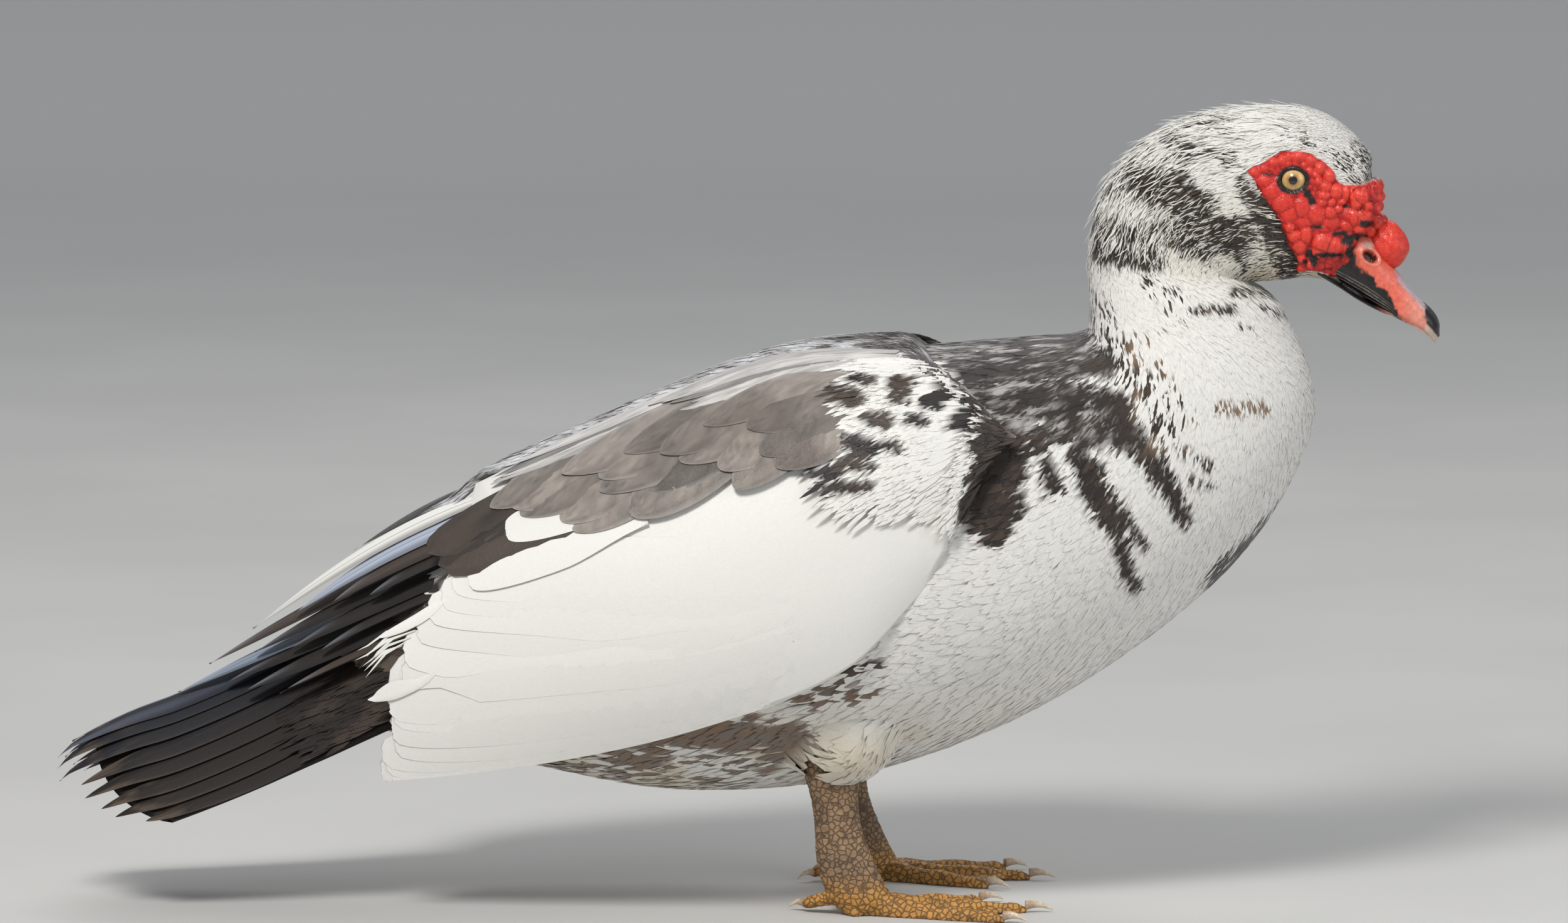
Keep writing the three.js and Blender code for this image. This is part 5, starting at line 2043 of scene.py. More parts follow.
@dataclass
class Wing:
    """One folded wing: secondaries, coverts, scapulars and long inner feathers over a smooth form."""

    side: Side
    secondaries: Row = Row(
        15, ((66, .50), (78, .62), (84, .80), (72, .90), (50, .955)),
        ((-158, .33), (-172, .385), (-190, .45), (-190, .62), (-191, .795), (-197, .93), (-192, .985)),
        37.0, PAINT.white, 1.2, 0.35, SATIN, jitter=1.6, sunk=2.6, bend=0.012)
    grey: tuple = (
        Row(3, ((-62, .18), (-50, .25)), ((-172, .235), (-160, .30)), 34.0, PAINT.brown, 1.8, 0.4, LOOSE),
        Row(5, ((-40, .13), (-22, .20)), ((-138, .19), (-114, .25), (-84, .325)), 40.0, PAINT.grey, 2.2, 0.25,
            FUZZY, 0.1, 0.2, jitter=6.0),
        Row(5, ((2, .13), (22, .20)), ((-98, .19), (-46, .33)), 40.0, PAINT.grey, 2.7, 0.25,
            FUZZY, 0.12, 0.2, jitter=8.0),
        Row(5, ((36, .14), (48, .21)), ((-54, .19), (-4, .335)), 36.0, PAINT.grey, 3.2, 0.25,
            FUZZY, 0.15, 0.12, dusk=0.4, jitter=8.0),
        Row(4, ((54, .16), (58, .25)), ((-10, .20), (18, .335)), 30.0, PAINT.grey, 3.6, 0.25,
            FUZZY, 0.15, 0.1, dusk=0.7, jitter=6.0),
    )
    long: Row = Row(8, ((30, .05), (34, .15)), ((-140, .06), (-126, .19)), 26.0, PAINT.pale, 1.6, 0.4,
                    FUZZY, 0.3, 0.3, jitter=5.0)
    short: Row = Row(7, ((80, .055), (74, .17)), ((-52, .06), (-26, .16)), 22.0, PAINT.pale, 2.2, 0.3,
                     FUZZY, 0.3, 0.25, jitter=6.0)
    curled: Row = Row(2, ((-160, .355), (-166, .49)), ((-197, .375), (-204, .505)), 6.5, PAINT.white,
                      2.6, 0.2, QUILL, jitter=0.0, bend=0.012)
    barbs: Row = Row(7, ((-180, .385), (-182, .425)), ((-205, .40), (-206, .455)), 1.5, PAINT.white,
                     3.0, 0.0, HAIR, jitter=2.5, bend=-0.014)
    patch: Row = Row(2, ((-48, .285), (-54, .33)), ((-129, .272), (-149, .345)), 25.0, PAINT.white,
                     2.05, 0.3, SATIN, jitter=0.0)

    # Ends of the fine barbs, of the breast's soft feathers and of the form, by v
    front_v: tuple = (0, .15, .25, .4, .5)
    barbs_front: tuple = (70, 106, 135, 120, 108)
    breast_edge: tuple = (72, 108, 137, 122, 110)
    barbs_rear: tuple = ((0, .17, .2, .32, .40, .44, .47), (66, 62, 52, 40, 52, 70, 100))
    form_rear: tuple = ((0, .15, .25, .35, .5, 1), (-150, -140, -150, -168, -178, -184))
    form_front: tuple = ((0, .15, .25, .4, .5, .75, 1), (58, 106, 134, 117, 107, 105, 96))

    def __post_init__(self) -> None:
        """Makes the surface of its side."""
        self.surface = Surface(lambda u, v: wing_point(u, v, self.side.value), (-215, 142), (-0.08, 1),
                               (300, 162), flip=self.side is Side.RIGHT)

    def spread(self, points: tuple, count: int) -> Array:
        """Evenly spread places (count, 2) along a list of points.

        Args:
            points: the places (x, v).
            count: how many are wanted.

        Returns:
            The places (count, 2).
        """
        p = np.array(points, float)
        t = np.linspace(0, len(p) - 1, count)
        return np.stack([np.interp(t, np.arange(len(p)), p[:, k]) for k in (0, 1)], -1)

    def lay(self, coat: Coat, row: Row) -> None:
        """Grows a row of large feathers.

        Args:
            coat: the coat piece the feathers go into.
            row: the row of feathers.
        """
        n = row.count
        first, last = self.spread(row.roots, n), self.spread(row.tips, n)
        push = coat.random.normal(0, 1, (n, 4)) * np.array([row.jitter, 0.006, row.jitter, 0.005])
        first, last = first + push[:, :2], last + push[:, 2:]
        t = plume_steps(row.plume)
        us = first[:, :1] + (last[:, :1] - first[:, :1]) * t
        vs = first[:, 1:] + (last[:, 1:] - first[:, 1:]) * t + row.bend * np.sin(math.pi * t)
        width = row.width * coat.random.uniform(0.93, 1.07, n)
        root = np.full(n, row.lift * 0.4 - row.sunk)
        tip = row.lift + coat.random.uniform(-0.15, 0.25, n)
        batch = Batch(self.surface, row.plume, us, vs, width, root, tip, np.full(n, row.roll))
        coat.grow(batch, self.paint(row, coat.random), shaft=row.shaft, patch=0.012)

    @staticmethod
    def paint(row: Row, random: np.random.Generator) -> Painter:
        """Colours of a row: its tint, paler along the edges and towards the root, darker near the tip.

        Args:
            row: the row of feathers.
            random: the piece's random numbers.

        Returns:
            The function that gives their colours.
        """

        def colours(at: Array, t: Array, a: Array) -> Array:
            """White feathers even, the others clouded, streaked and fringed.

            Args:
                at: points of the feathers (n, rows, columns, 3).
                t: share along each feather (1, rows, 1).
                a: share across it (n, rows, columns), -1 on the back's side.

            Returns:
                A colour for each point.
            """
            n = len(at)
            if row.tint is PAINT.white:
                tone = random.uniform(0.95, 1.04, (n, 1, 1, 1))
                return np.broadcast_to(np.array(row.tint), at.shape) * tone
            tone = random.choice([0.4, 0.8, 1.0, 1.15, 1.35], (n, 1, 1))
            streak = noise(at * np.array([0.12, 1.0, 1.0]), 1.6, 71)
            cloud = noise(at, 16.0, 17)
            number = np.arange(n)[:, None, None]
            barbs = noise(np.stack([34 * t - 8 * np.abs(a), 2 * a, 0 * a + number], -1), 1.0, 74)
            p = np.array(row.tint) * (tone * (0.25 + 0.5 * streak + 0.4 * cloud + 0.5 * barbs))[..., None]
            p = mixed(p, PAINT.brown, 0.35 * smooth(a, 0.55, 0.95) * smooth(t, 0.2, 0.6))
            if row.dusk:
                near = smooth(t, 0.40, 0.70) * row.dusk * random.uniform(0.5, 1.0, (n, 1, 1))
                p = mixed(p, PAINT.brown, near + 0 * a)
            edge = smooth(np.abs(a), 0.86, 1.0) * smooth(t, 0.2, 0.6)
            tip = smooth(t, 0.96, 1.0)
            return mixed(p, PAINT.white, row.fringe * np.maximum(edge, 0.6 * tip))

        return colours

    def coverts(self, coat: Coat) -> None:
        """Fine barbs over the shoulder and the front of the white panel, dark feathers drawn in them.

        Args:
            coat: the coat piece the feathers go into.
        """
        random = coat.random
        xs, vs = np.meshgrid(np.arange(-30, 138, 2.4), np.arange(0.012, 0.47, 0.0088), indexing="ij")
        x = xs.reshape(-1) + random.normal(0, 1.0, xs.size)
        v = vs.reshape(-1) + random.normal(0, 0.003, xs.size)
        rear, front = np.interp(v, *self.barbs_rear), np.interp(v, self.front_v, self.barbs_front)
        keep = (x > rear + random.uniform(-6, 20, len(x))) & (x < front)
        x, v = x[keep], v[keep]
        n = len(x)
        heading = np.radians(random.normal(17, 5, n)) * smooth(v, 0.02, 0.15) * smooth(v, 0.60, 0.40)
        length = random.uniform(15, 23, n)
        us, vv = self.surface.march(x, v, heading, length, plume_steps(DOWN))
        order = 2.2 + 1.8 * smooth(x, 40, 120) * smooth(v, 0.5, 0.4) - 1.2 * smooth(front[keep] - x, 16, 4)
        order = order * (0.1 + 0.9 * smooth(v, 0.02, 0.17)) * (0.3 + 0.7 * smooth(v, 0.47, 0.38))
        batch = Batch(self.surface, DOWN, us, vv, random.uniform(2.4, 3.5, n), order - 0.5,
                      order + random.uniform(0, 0.3, n), 0 * x)

        def colours(at: Array, t: Array, a: Array) -> Array:
            """White, with each dark spot drawn over whole barbs.

            Args:
                at: points of the feathers (n, rows, columns, 3).
                t: share along each feather (1, rows, 1); not used.
                a: share across it (n, rows, columns), -1 on the back's side; not used.

            Returns:
                A colour for each point.
            """
            own = random.uniform(0.15, 0.85, (n, 1, 1))
            dark = smooth(dark_share(at, SPOTS, 9) - own, -0.05, 0.05)
            root = at[:, 0, at.shape[2] // 2]
            warm = smooth(noise(root, 14.0, 73), 0.4, 0.6)[:, None, None]
            ink = mixed(PAINT.black, PAINT.brown, warm + 0 * dark)
            tone = random.uniform(0.96, 1.03, (n, 1, 1, 1))
            return mixed(np.array(PAINT.white) * tone + 0 * at, ink, dark)

        coat.grow(batch, colours)

    def front(self, coat: Coat) -> None:
        """Soft feathers of the breast's side that lie over the wing's front edge.

        Args:
            coat: the coat piece the feathers go into.
        """
        n = 560
        v = coat.random.uniform(0.06, 0.50, n)
        edge = np.interp(v, self.front_v, self.breast_edge)
        x = edge + coat.random.uniform(-4, 7, n)
        length = coat.random.uniform(11, 18, n)
        heading = np.radians(coat.random.normal(22, 9, n)) * smooth(v, 0.05, 0.3)
        us, vv = self.surface.march(x, v, heading, length, plume_steps(DOWN), coat.random.normal(0, 0.2, n))
        out = smooth(x - edge, -4, 7)
        low = 0.15 + 0.85 * smooth(v, 0.06, 0.22)
        batch = Batch(self.surface, DOWN, us, vv, coat.random.uniform(1.6, 2.6, n), (2.6 - 2.2 * out) * low,
                      (3.2 + coat.random.uniform(0, 0.8, n)) * low, 0 * x)
        region = Region("front", 0, 0, 0, DOWN)
        coat.grow(batch, BodyCoat.paint(region, coat.random))

    def form(self, material: bpy.types.Material) -> bpy.types.Object:
        """The smooth form under the feathers: the surface 1 mm in, thickened inwards.

        Args:
            material: the material of the piece.

        Returns:
            The form.
        """
        x = np.linspace(-1, 1, 70)[:, None]
        v = np.linspace(0.004, 0.996, 60)[None, :]
        rear, front = np.interp(v, *self.form_rear), np.interp(v, *self.form_front)
        u = rear + (front - rear) * (0.5 + 0.5 * x)
        p = wing_point(u, v, self.side.value)
        spot = self.surface.sample(u, v + 0 * u)
        rim = (1 - np.abs(x) ** 6) * (1 - np.abs(2 * v - 1) ** 8)
        outer = p - spot.normal * 1.0
        inner = outer - spot.normal * (0.6 + 7.0 * np.clip(rim, 0, 1))[..., None]
        made, q = form_object(f"wing_form_{self.side.name.lower()}", outer, inner, PAINT.white)
        set_vector(made.data, "Vane", q[:, [2, 0, 1]] * np.array([1, 1, 0]))
        outside = np.where(q[:, 1] * self.side.value > 60, 0.45, 0)
        place = np.stack([(q[:, 0] + 215) / 360, 0.5 * q[:, 2] / 310 + outside], -1)
        set_bake_map(made.data, np.clip(place, 0.01, 0.99))
        made.data.materials.append(material)
        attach(made, "root")
        return made

    def build(self, material: bpy.types.Material) -> None:
        """Builds the form and the feathers, and replaces the CAD wing with them.

        Args:
            material: the material of the wing's feathers.
        """
        self.form(material)
        name = self.side.name.lower()
        seed = 30 + self.side.value
        panel = Coat(f"wing_panel_{name}", seed)
        for row in (self.secondaries, self.curled, self.barbs):
            self.lay(panel, row)
        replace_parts(panel.build(material, "wing_feathers"), f"wing_{name}")
        cover = Coat(f"wing_cover_{name}", seed + 5)
        for row in (self.long, self.short, *self.grey, self.patch):
            self.lay(cover, row)
        self.coverts(cover)
        self.front(cover)
        cover.build(material, "wing_feathers")
        Primaries(self.side).build(material)


@dataclass(frozen=True)
class Saddle:
    """Soft feathers that meet over the back and fill the hollow between the two wings."""

    reach: float = 9.0  # how far they pass under the wings' upper feathers, mm
    front: float = 106.0
    rear: float = -166.0
    # Painted shade: the white feathers in the hollow between the wings are coloured bluish grey, and streaked
    # with a darker grey.
    pale: tuple = (0.62, 0.625, 0.645)
    shade: tuple = (0.27, 0.255, 0.25)

    def shape(self, u: Array, v: Array) -> Array:
        """The surface from wing to wing: arched by 1 - v² across, its two ends sunk towards the body.

        Args:
            u: place along the body.
            v: share of the width, -1 to 1.

        Returns:
            Points (..., 3).
        """
        x, v = np.broadcast_arrays(u, v)
        ends = 9.0 * smooth(x, 84, self.front) + 7.0 * smooth(x, -140, self.rear)
        z = WING_TOP(x) + 0.4 + 1.4 * (1 - v * v) - 2.6 * np.abs(v) ** 3 - ends
        return np.stack([x + 0 * v, v * (WING_TOP_OUT(x) + self.reach), z], -1)

    def form(self, material: bpy.types.Material) -> None:
        """The thin closed form under the feathers.

        Args:
            material: the material of the piece.
        """
        x = np.linspace(self.rear, self.front, 70)[:, None]
        outer = self.shape(x, np.linspace(-0.98, 0.98, 16)[None, :])
        outer[..., 2] -= 0.8
        inner = outer - np.array([0.0, 0.0, 3.0])
        # Painted shade: the form takes the same bluish grey as the shaded white feathers.
        made, q = form_object("back_form", outer, inner, self.pale)
        set_vector(made.data, "Vane", q[:, [1, 0, 2]] * np.array([1, 1, 0]))
        under = vertex_normals(made.data)[:, 2] < 0
        place = np.stack([(q[:, 0] + 170) / 290, (q[:, 1] + 65) / 300 + np.where(under, 0.5, 0)], -1)
        set_bake_map(made.data, np.clip(place, 0.01, 0.99))
        made.data.materials.append(material)
        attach(made, "root")

    def build(self, material: bpy.types.Material) -> None:
        """Builds the form and its feathers, white painted bluish grey with shade behind, and mottled towards
        the neck.

        Args:
            material: the material of the piece.
        """
        self.form(material)
        surface = Surface(self.shape, (self.rear - 30, self.front + 4), (-1, 1), (200, 40))
        coat = Coat("coat_back", 45)
        random = coat.random
        roots = scatter(surface, lambda u, v: 2.5 + 0 * u,
                        lambda p: np.where(p[..., 0] > -160, 1.0, 0.0), random)
        n = len(roots.u)
        us, vs = surface.march(roots.u, roots.v, np.radians(random.normal(0, 6, n)),
                               random.uniform(17, 26, n), plume_steps(DOWN))
        batch = Batch(surface, DOWN, us, vs, random.uniform(2.6, 4.0, n), np.full(n, -0.3),
                      1.0 + random.uniform(0, 0.8, n), np.zeros(n))

        def colours(at: Array, t: Array, a: Array) -> Array:
            """White painted bluish grey and streaked with painted shade behind, running into the mottled
            feathers of the neck's foot.

            Args:
                at: points of the feathers (n, rows, columns, 3).
                t: share along each feather (1, rows, 1); not used.
                a: share across it (n, rows, columns), -1 on the back's side; not used.

            Returns:
                A colour for each point.
            """
            streak = noise(at * np.array([0.12, 0.7, 0.7]), 2.6, 81)
            tone = random.uniform(0.85, 1.1, (n, 1, 1, 1))
            # Painted shade: bluish grey white with darker grey streaks.
            p = mixed(np.array(self.pale) * tone, self.shade, 0.8 * smooth(streak, 0.45, 0.75))
            own = random.uniform(-0.1, 0.1, (n, 1, 1))
            patch = noise(at, 9.0, 82) + 0.55 * smooth(at[..., 0], 20, 96) + own
            return mixed(p, mottled(at), smooth(patch, 0.72, 0.80))

        coat.grow(batch, colours)
        coat.build(material, "wing_feathers")


@dataclass(frozen=True)
class Blades:
    """A group of long flight feathers: where they start, where the longest ends, and each one's reach."""

    start: tuple
    end: tuple
    reach: tuple  # shares of the longest
    places: tuple  # across, from the middle of the back
    shades: tuple
    arch: float = 12.0


# Painted sky reflection: the blue-grey second blade of the top group.
UPPER_WITH_PAINTED_REFLECTION = (PAINT.white, (0.42, 0.47, 0.58), PAINT.brown, PAINT.tail)
# Pale grey to bluish grey blades of the far wing.
FAR_PALE_GREYS = ((0.55, 0.56, 0.58), (0.42, 0.45, 0.50), PAINT.grey)
BLADES = {
    Side.RIGHT: [
        Blades((-100, 34, 232), (-268, 9, 144), (1.0, 0.86, 0.74, 0.62), (-0.4, 0.3, 0.9, 1.5), UPPER_WITH_PAINTED_REFLECTION),
        Blades((-110, 37, 216), (-292, 8, 125), (1.0, 0.86, 0.75, 0.66), (-0.35, 0.3, 0.95, 1.6),
               (PAINT.brown, PAINT.tail, PAINT.tail, PAINT.tail), 5.0),
        # Painted sky reflection: the blue-grey first blade of this group, which lies along the top of the
        # tail.
        Blades((-120, 40, 200), (-309, 7, 110), (1.0, 0.86, 0.8, 0.7), (-0.3, 0.3, 1.0, 1.7),
               ((0.26, 0.31, 0.40), PAINT.tail, PAINT.tail, PAINT.brown), 1.0),
    ],
    Side.LEFT: [
        Blades((-100, 34, 227), (-214, 17, 184), (1.0, 0.86, 0.74), (-0.4, 0.3, 0.9), FAR_PALE_GREYS, 9.0),
    ],
}


@dataclass(frozen=True)
class Primaries:
    """The long flight feathers that lie crossed over the rump: narrow blades, each over the next."""

    side: Side
    apart: float = 12.5  # from one blade to the next, outwards
    below: float = 9.5  # the same, downwards

    def shape(self, group: Blades, u: Array, v: Array) -> Array:
        """The surface: a band from start to end, arched by a sine, that slopes down away from the middle.

        Args:
            group: the group of blades.
            u: less the share of the longest blade.
            v: place across, from the middle of the group.

        Returns:
            Points (..., 3).
        """
        t = -u
        x0, y0, z0 = group.start
        x1, y1, z1 = group.end
        y = y0 + (y1 - y0) * t + v * self.apart
        x = x0 + (x1 - x0) * t + 0 * v
        z = z0 + (z1 - z0) * t + group.arch * np.sin(math.pi * np.clip(t, 0, 1))
        z = z - v * self.below - 1.2 * v * v + 0 * t
        return np.stack([x, self.side.value * y, z], -1)

    def build(self, material: bpy.types.Material) -> None:
        """Builds the blades: pale above, and darker along the lower edge by painted shadow.

        Args:
            material: the material of the piece.
        """
        coat = Coat(f"primaries_{self.side.name.lower()}", 50 + self.side.value)
        for group in BLADES[self.side]:
            surface = Surface(lambda u, v, g=group: self.shape(g, u, v), (-1.02, 0.0), (-1.8, 1.8), (120, 70),
                              flip=self.side is Side.RIGHT)
            ends, places = np.array(group.reach), np.array(group.places)
            n = len(ends)
            t = plume_steps(QUILL)
            us = -ends[:, None] * (0.15 + 0.85 * t)
            vs = places[:, None] + 0.12 * t
            batch = Batch(surface, QUILL, us, vs, np.full(n, 15.0), np.full(n, 0.8), 1.4 + 2.4 * (ends - 0.5),
                          np.full(n, 1.0))
            shade = np.array(group.shades[:n])[:, None, None, :]

            def colours(at: Array, t: Array, a: Array) -> Array:
                """The colour of each blade, with painted shadow darkening its lower half and a painted sky
                reflection making its upper edge bluish near the tip.
                """
                # Painted shadow darkens the lower half of each blade, and a painted sky reflection makes its
                # upper edge bluish near the tip.
                p = mixed(shade + 0 * at, 0.45 * shade, smooth(a, 0.2, 0.8))
                return mixed(p, (0.40, 0.44, 0.52), 0.35 * smooth(t, 0.75, 1.0) * smooth(a, 0.4, -0.4))

            coat.grow(batch, colours, shaft=0.5, patch=0.05)
        coat.build(material, "wing_feathers")


@dataclass(frozen=True)
class Tail:
    """The tail: sixteen long feathers in a flat fan, with coverts over and beside their roots."""

    root_x: float = -188.0
    tip_x: float = -374.5
    side_x: float = -304.0
    top: Profile = line([
        [-374.5, 76], [-366, 84], [-337, 98.5], [-309, 109], [-262, 131], [-230, 149], [-203, 165],
        [-188, 173], [-150, 186],
    ])
    root_half: float = 64.0
    half: float = 56.0
    slope: float = 1.22
    ridge: float = 8.0
    count: int = 16

    def tip(self, a: Array) -> Array:
        """How far back the tail reaches at a share of its half width."""
        return self.side_x + (self.tip_x - self.side_x) * np.clip(1 - a * a, 0, 1) ** 0.62

    def shape(self, u: Array, v: Array) -> Array:
        """The upper surface over u = -(share of the length) and v = share of the half width.

        Args:
            u: less the share of the length.
            v: share of the half width.

        Returns:
            Points (..., 3).
        """
        r, a = np.broadcast_arrays(-u, v)
        reach = self.tip(np.clip(a, -1, 1))
        x = self.root_x + (reach - self.root_x) * r
        y = a * (self.root_half + (self.half - self.root_half) * np.clip(r, 0, 2) ** 0.9)
        z = self.top(x) - self.slope * (np.hypot(y, self.ridge) - self.ridge)
        return np.stack([x, y, z], -1)

    @staticmethod
    def colours(at: Array, t: Array, a: Array) -> Array:
        """Dark brown, with a painted blue sheen near the ridge, and browner and paler along the edges near the
        tip, partly their own colour and partly painted highlight.

        Args:
            at: points of the feathers (n, rows, columns, 3).
            t: share along each feather (1, rows, 1).
            a: share across it (n, rows, columns), -1 on the back's side.

        Returns:
            A colour for each point.
        """
        y = np.abs(at[..., 1])
        # Painted sheen: a bluish black towards the middle of the fan and a blue sky reflection along the
        # ridge.
        p = mixed(PAINT.tail, (0.012, 0.014, 0.020), smooth(y, 40, 12))
        p = mixed(p, (0.20, 0.23, 0.31), 0.8 * smooth(y, 12, 2) * smooth(t, 0.1, 0.3) * smooth(a, 0.2, -0.8))
        # Partly the feathers' own brown edges and partly painted highlight where the edges catch the light.
        rim = smooth(np.abs(a), 0.7, 1.0) * smooth(t, 0.4, 0.8) * smooth(y, 8, 24)
        p = mixed(p, (0.10, 0.075, 0.055), 0.4 * rim)
        worn = smooth(t, 0.72, 1.0) * smooth(noise(at * np.array([0.25, 1, 1]), 3.0, 3), 0.4, 0.7)
        return mixed(p, (0.19, 0.14, 0.10), 0.55 * worn + 0 * a)

    def feathers(self, material: bpy.types.Material) -> bpy.types.Object:
        """The long feathers, the middle pair on top and each next one under its neighbour.

        Args:
            material: the material of the piece.

        Returns:
            The fan.
        """
        surface = Surface(self.shape, (-1.06, 0.35), (-1.08, 1.08), (180, 120))
        coat = Coat("tail_fan", 61)
        n = self.count
        place = np.linspace(-0.93, 0.93, n)
        out = np.abs(place)
        t = plume_steps(QUILL)
        longest = 1.0 + coat.random.uniform(-0.05, 0.012, n)
        us = -longest[:, None] * t
        vs = place[:, None] * (0.9 + 0.1 * t) + coat.random.normal(0, 0.018, (n, 1)) * t
        lift = 3.6 - 4.6 * out
        batch = Batch(surface, QUILL, us, vs, coat.random.uniform(17, 20, n), lift, lift + 0.2,
                      0.9 * np.sign(place))
        coat.grow(batch, self.colours, shaft=0.9, patch=0.04)
        return coat.build(material, "tail_feathers")

    def coverts(self, material: bpy.types.Material) -> None:
        """Dark loose feathers over and beside the roots of the tail, and up the rump.

        Args:
            material: the material of the piece.
        """
        surface = Surface(self.shape, (-1.0, 0.42), (-1.5, 1.5), (140, 120))
        coat = Coat("tail_coverts", 62)
        random = coat.random
        n = 1700
        roots = np.stack([random.uniform(-0.2, 0.36, n), random.uniform(-0.95, 0.95, n)], -1)
        t = plume_steps(DOWN)
        us = roots[:, :1] - random.uniform(0.16, 0.24, n)[:, None] * t
        vs = roots[:, 1:] * (1.0 + 0.02 * t) + random.normal(0, 0.02, (n, 1)) * t
        order = np.clip((roots[:, 0] + 0.2) / 0.56, 0, 1)
        batch = Batch(surface, DOWN, us, vs, random.uniform(2.6, 4.2, n), 1.2 + 3.6 * order,
                      1.8 + 4.0 * order + random.uniform(0, 0.5, n), 0 * order)

        def colours(at: Array, t: Array, a: Array) -> Array:
            """Near black, browner in clouds.

            Args:
                at: points of the feathers (n, rows, columns, 3).
                t: share along each feather (1, rows, 1); not used.
                a: share across it (n, rows, columns), -1 on the back's side; not used.

            Returns:
                A colour for each point.
            """
            tone = random.uniform(0.7, 1.3, (n, 1, 1, 1))
            p = np.broadcast_to(np.array(PAINT.tail), at.shape) * tone
            return mixed(p, PAINT.brown, 0.6 * smooth(noise(at, 14.0, 6), 0.45, 0.7))

        coat.grow(batch, colours)
        coat.build(material, "tail_feathers")

    def form(self, material: bpy.types.Material) -> bpy.types.Object:
        """The flat form between the upper and the under side of the fan, closed all round.

        Args:
            material: the material of the piece.

        Returns:
            The form.
        """
        r = np.linspace(0.0, 0.9, 40)[:, None]
        a = np.linspace(-0.93, 0.93, 50)[None, :]
        top = self.shape(-r, a)
        top[..., 2] -= 2.4
        thick = 1.2 + 24.0 * smooth(r, 0.55, 0.0) * (1 - a * a)
        low = top - np.stack([0 * thick, 0 * thick, thick], -1)
        made, q = form_object("tail_form", top, low, PAINT.tail)
        set_vector(made.data, "Vane", q[:, [1, 0, 2]] * np.array([1, -1, 0]))
        under = vertex_normals(made.data)[:, 2] < 0
        place = np.stack([(q[:, 0] + 380) / 200, (q[:, 1] + 70) / 300 + np.where(under, 0.5, 0)], -1)
        set_bake_map(made.data, np.clip(place, 0.01, 0.99))
        made.data.materials.append(material)
        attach(made, "root")
        return made

    def build(self, material: bpy.types.Material) -> None:
        """Builds form, fan and coverts.

        Args:
            material: the material of the tail's feathers.
        """
        self.form(material)
        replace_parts(self.feathers(material), "tail")
        self.coverts(material)


# Bill, eyes and claws


def loft(sections: Array, power: float, waist: float, rows: int, columns: int) -> Array:
    """Rings of a bill half between its back line and its belly line.

    Args:
        sections: rows of back x, back z, belly x, belly z and half width, from base to tip.
        power: n of the squared oval, c = |cos a|^(2/n).
        waist: height of the widest place, from the back, as a share.
        rows: number of rings.
        columns: points in each.

    Returns:
        The rings (rows, columns, 3).
    """
    t = np.linspace(0, len(sections) - 1, rows)[:, None]
    bx, bz, vx, vz, half = (line(list(zip(range(len(sections)), column)))(t) for column in sections.T)
    cos, sin = np.cos(angles(columns)), np.sin(angles(columns))
    top = np.where(cos > 0, waist, 1 - waist)
    down = waist - top * np.sign(cos) * np.abs(cos) ** (2 / power)
    x = bx + (vx - bx) * down
    z = bz + (vz - bz) * down
    y = half * np.sign(sin) * np.abs(sin) ** (2 / power)
    return np.stack([x, y, z], -1)


UPPER_BILL = np.array([
    [316, 374, 298, 352, 10.0], [322, 366, 306, 348, 11], [335, 365, 318, 339.5, 14],
    [345, 350, 330, 331.8, 13.5], [352.5, 341, 342, 323.8, 12.5], [361, 330.8, 353, 317.2, 12.5],
    [367.8, 324.2, 361.5, 313.4, 11.5],
    [372.6, 317.5, 367.5, 309, 8.5], [373.3, 309.5, 371, 305, 3],
], float)
LOWER_BILL = np.array([
    [307, 346.2, 308.5, 341, 10], [318, 338.5, 320, 334.9, 11.5], [330, 330.8, 331.5, 327.8, 12],
    [342, 325.0, 343.5, 321.6, 11], [352, 321.4, 353, 319.0, 8],
], float)


COMB_PITCH = 0.055  # of the ridges along the bill's edge, as a share of its height


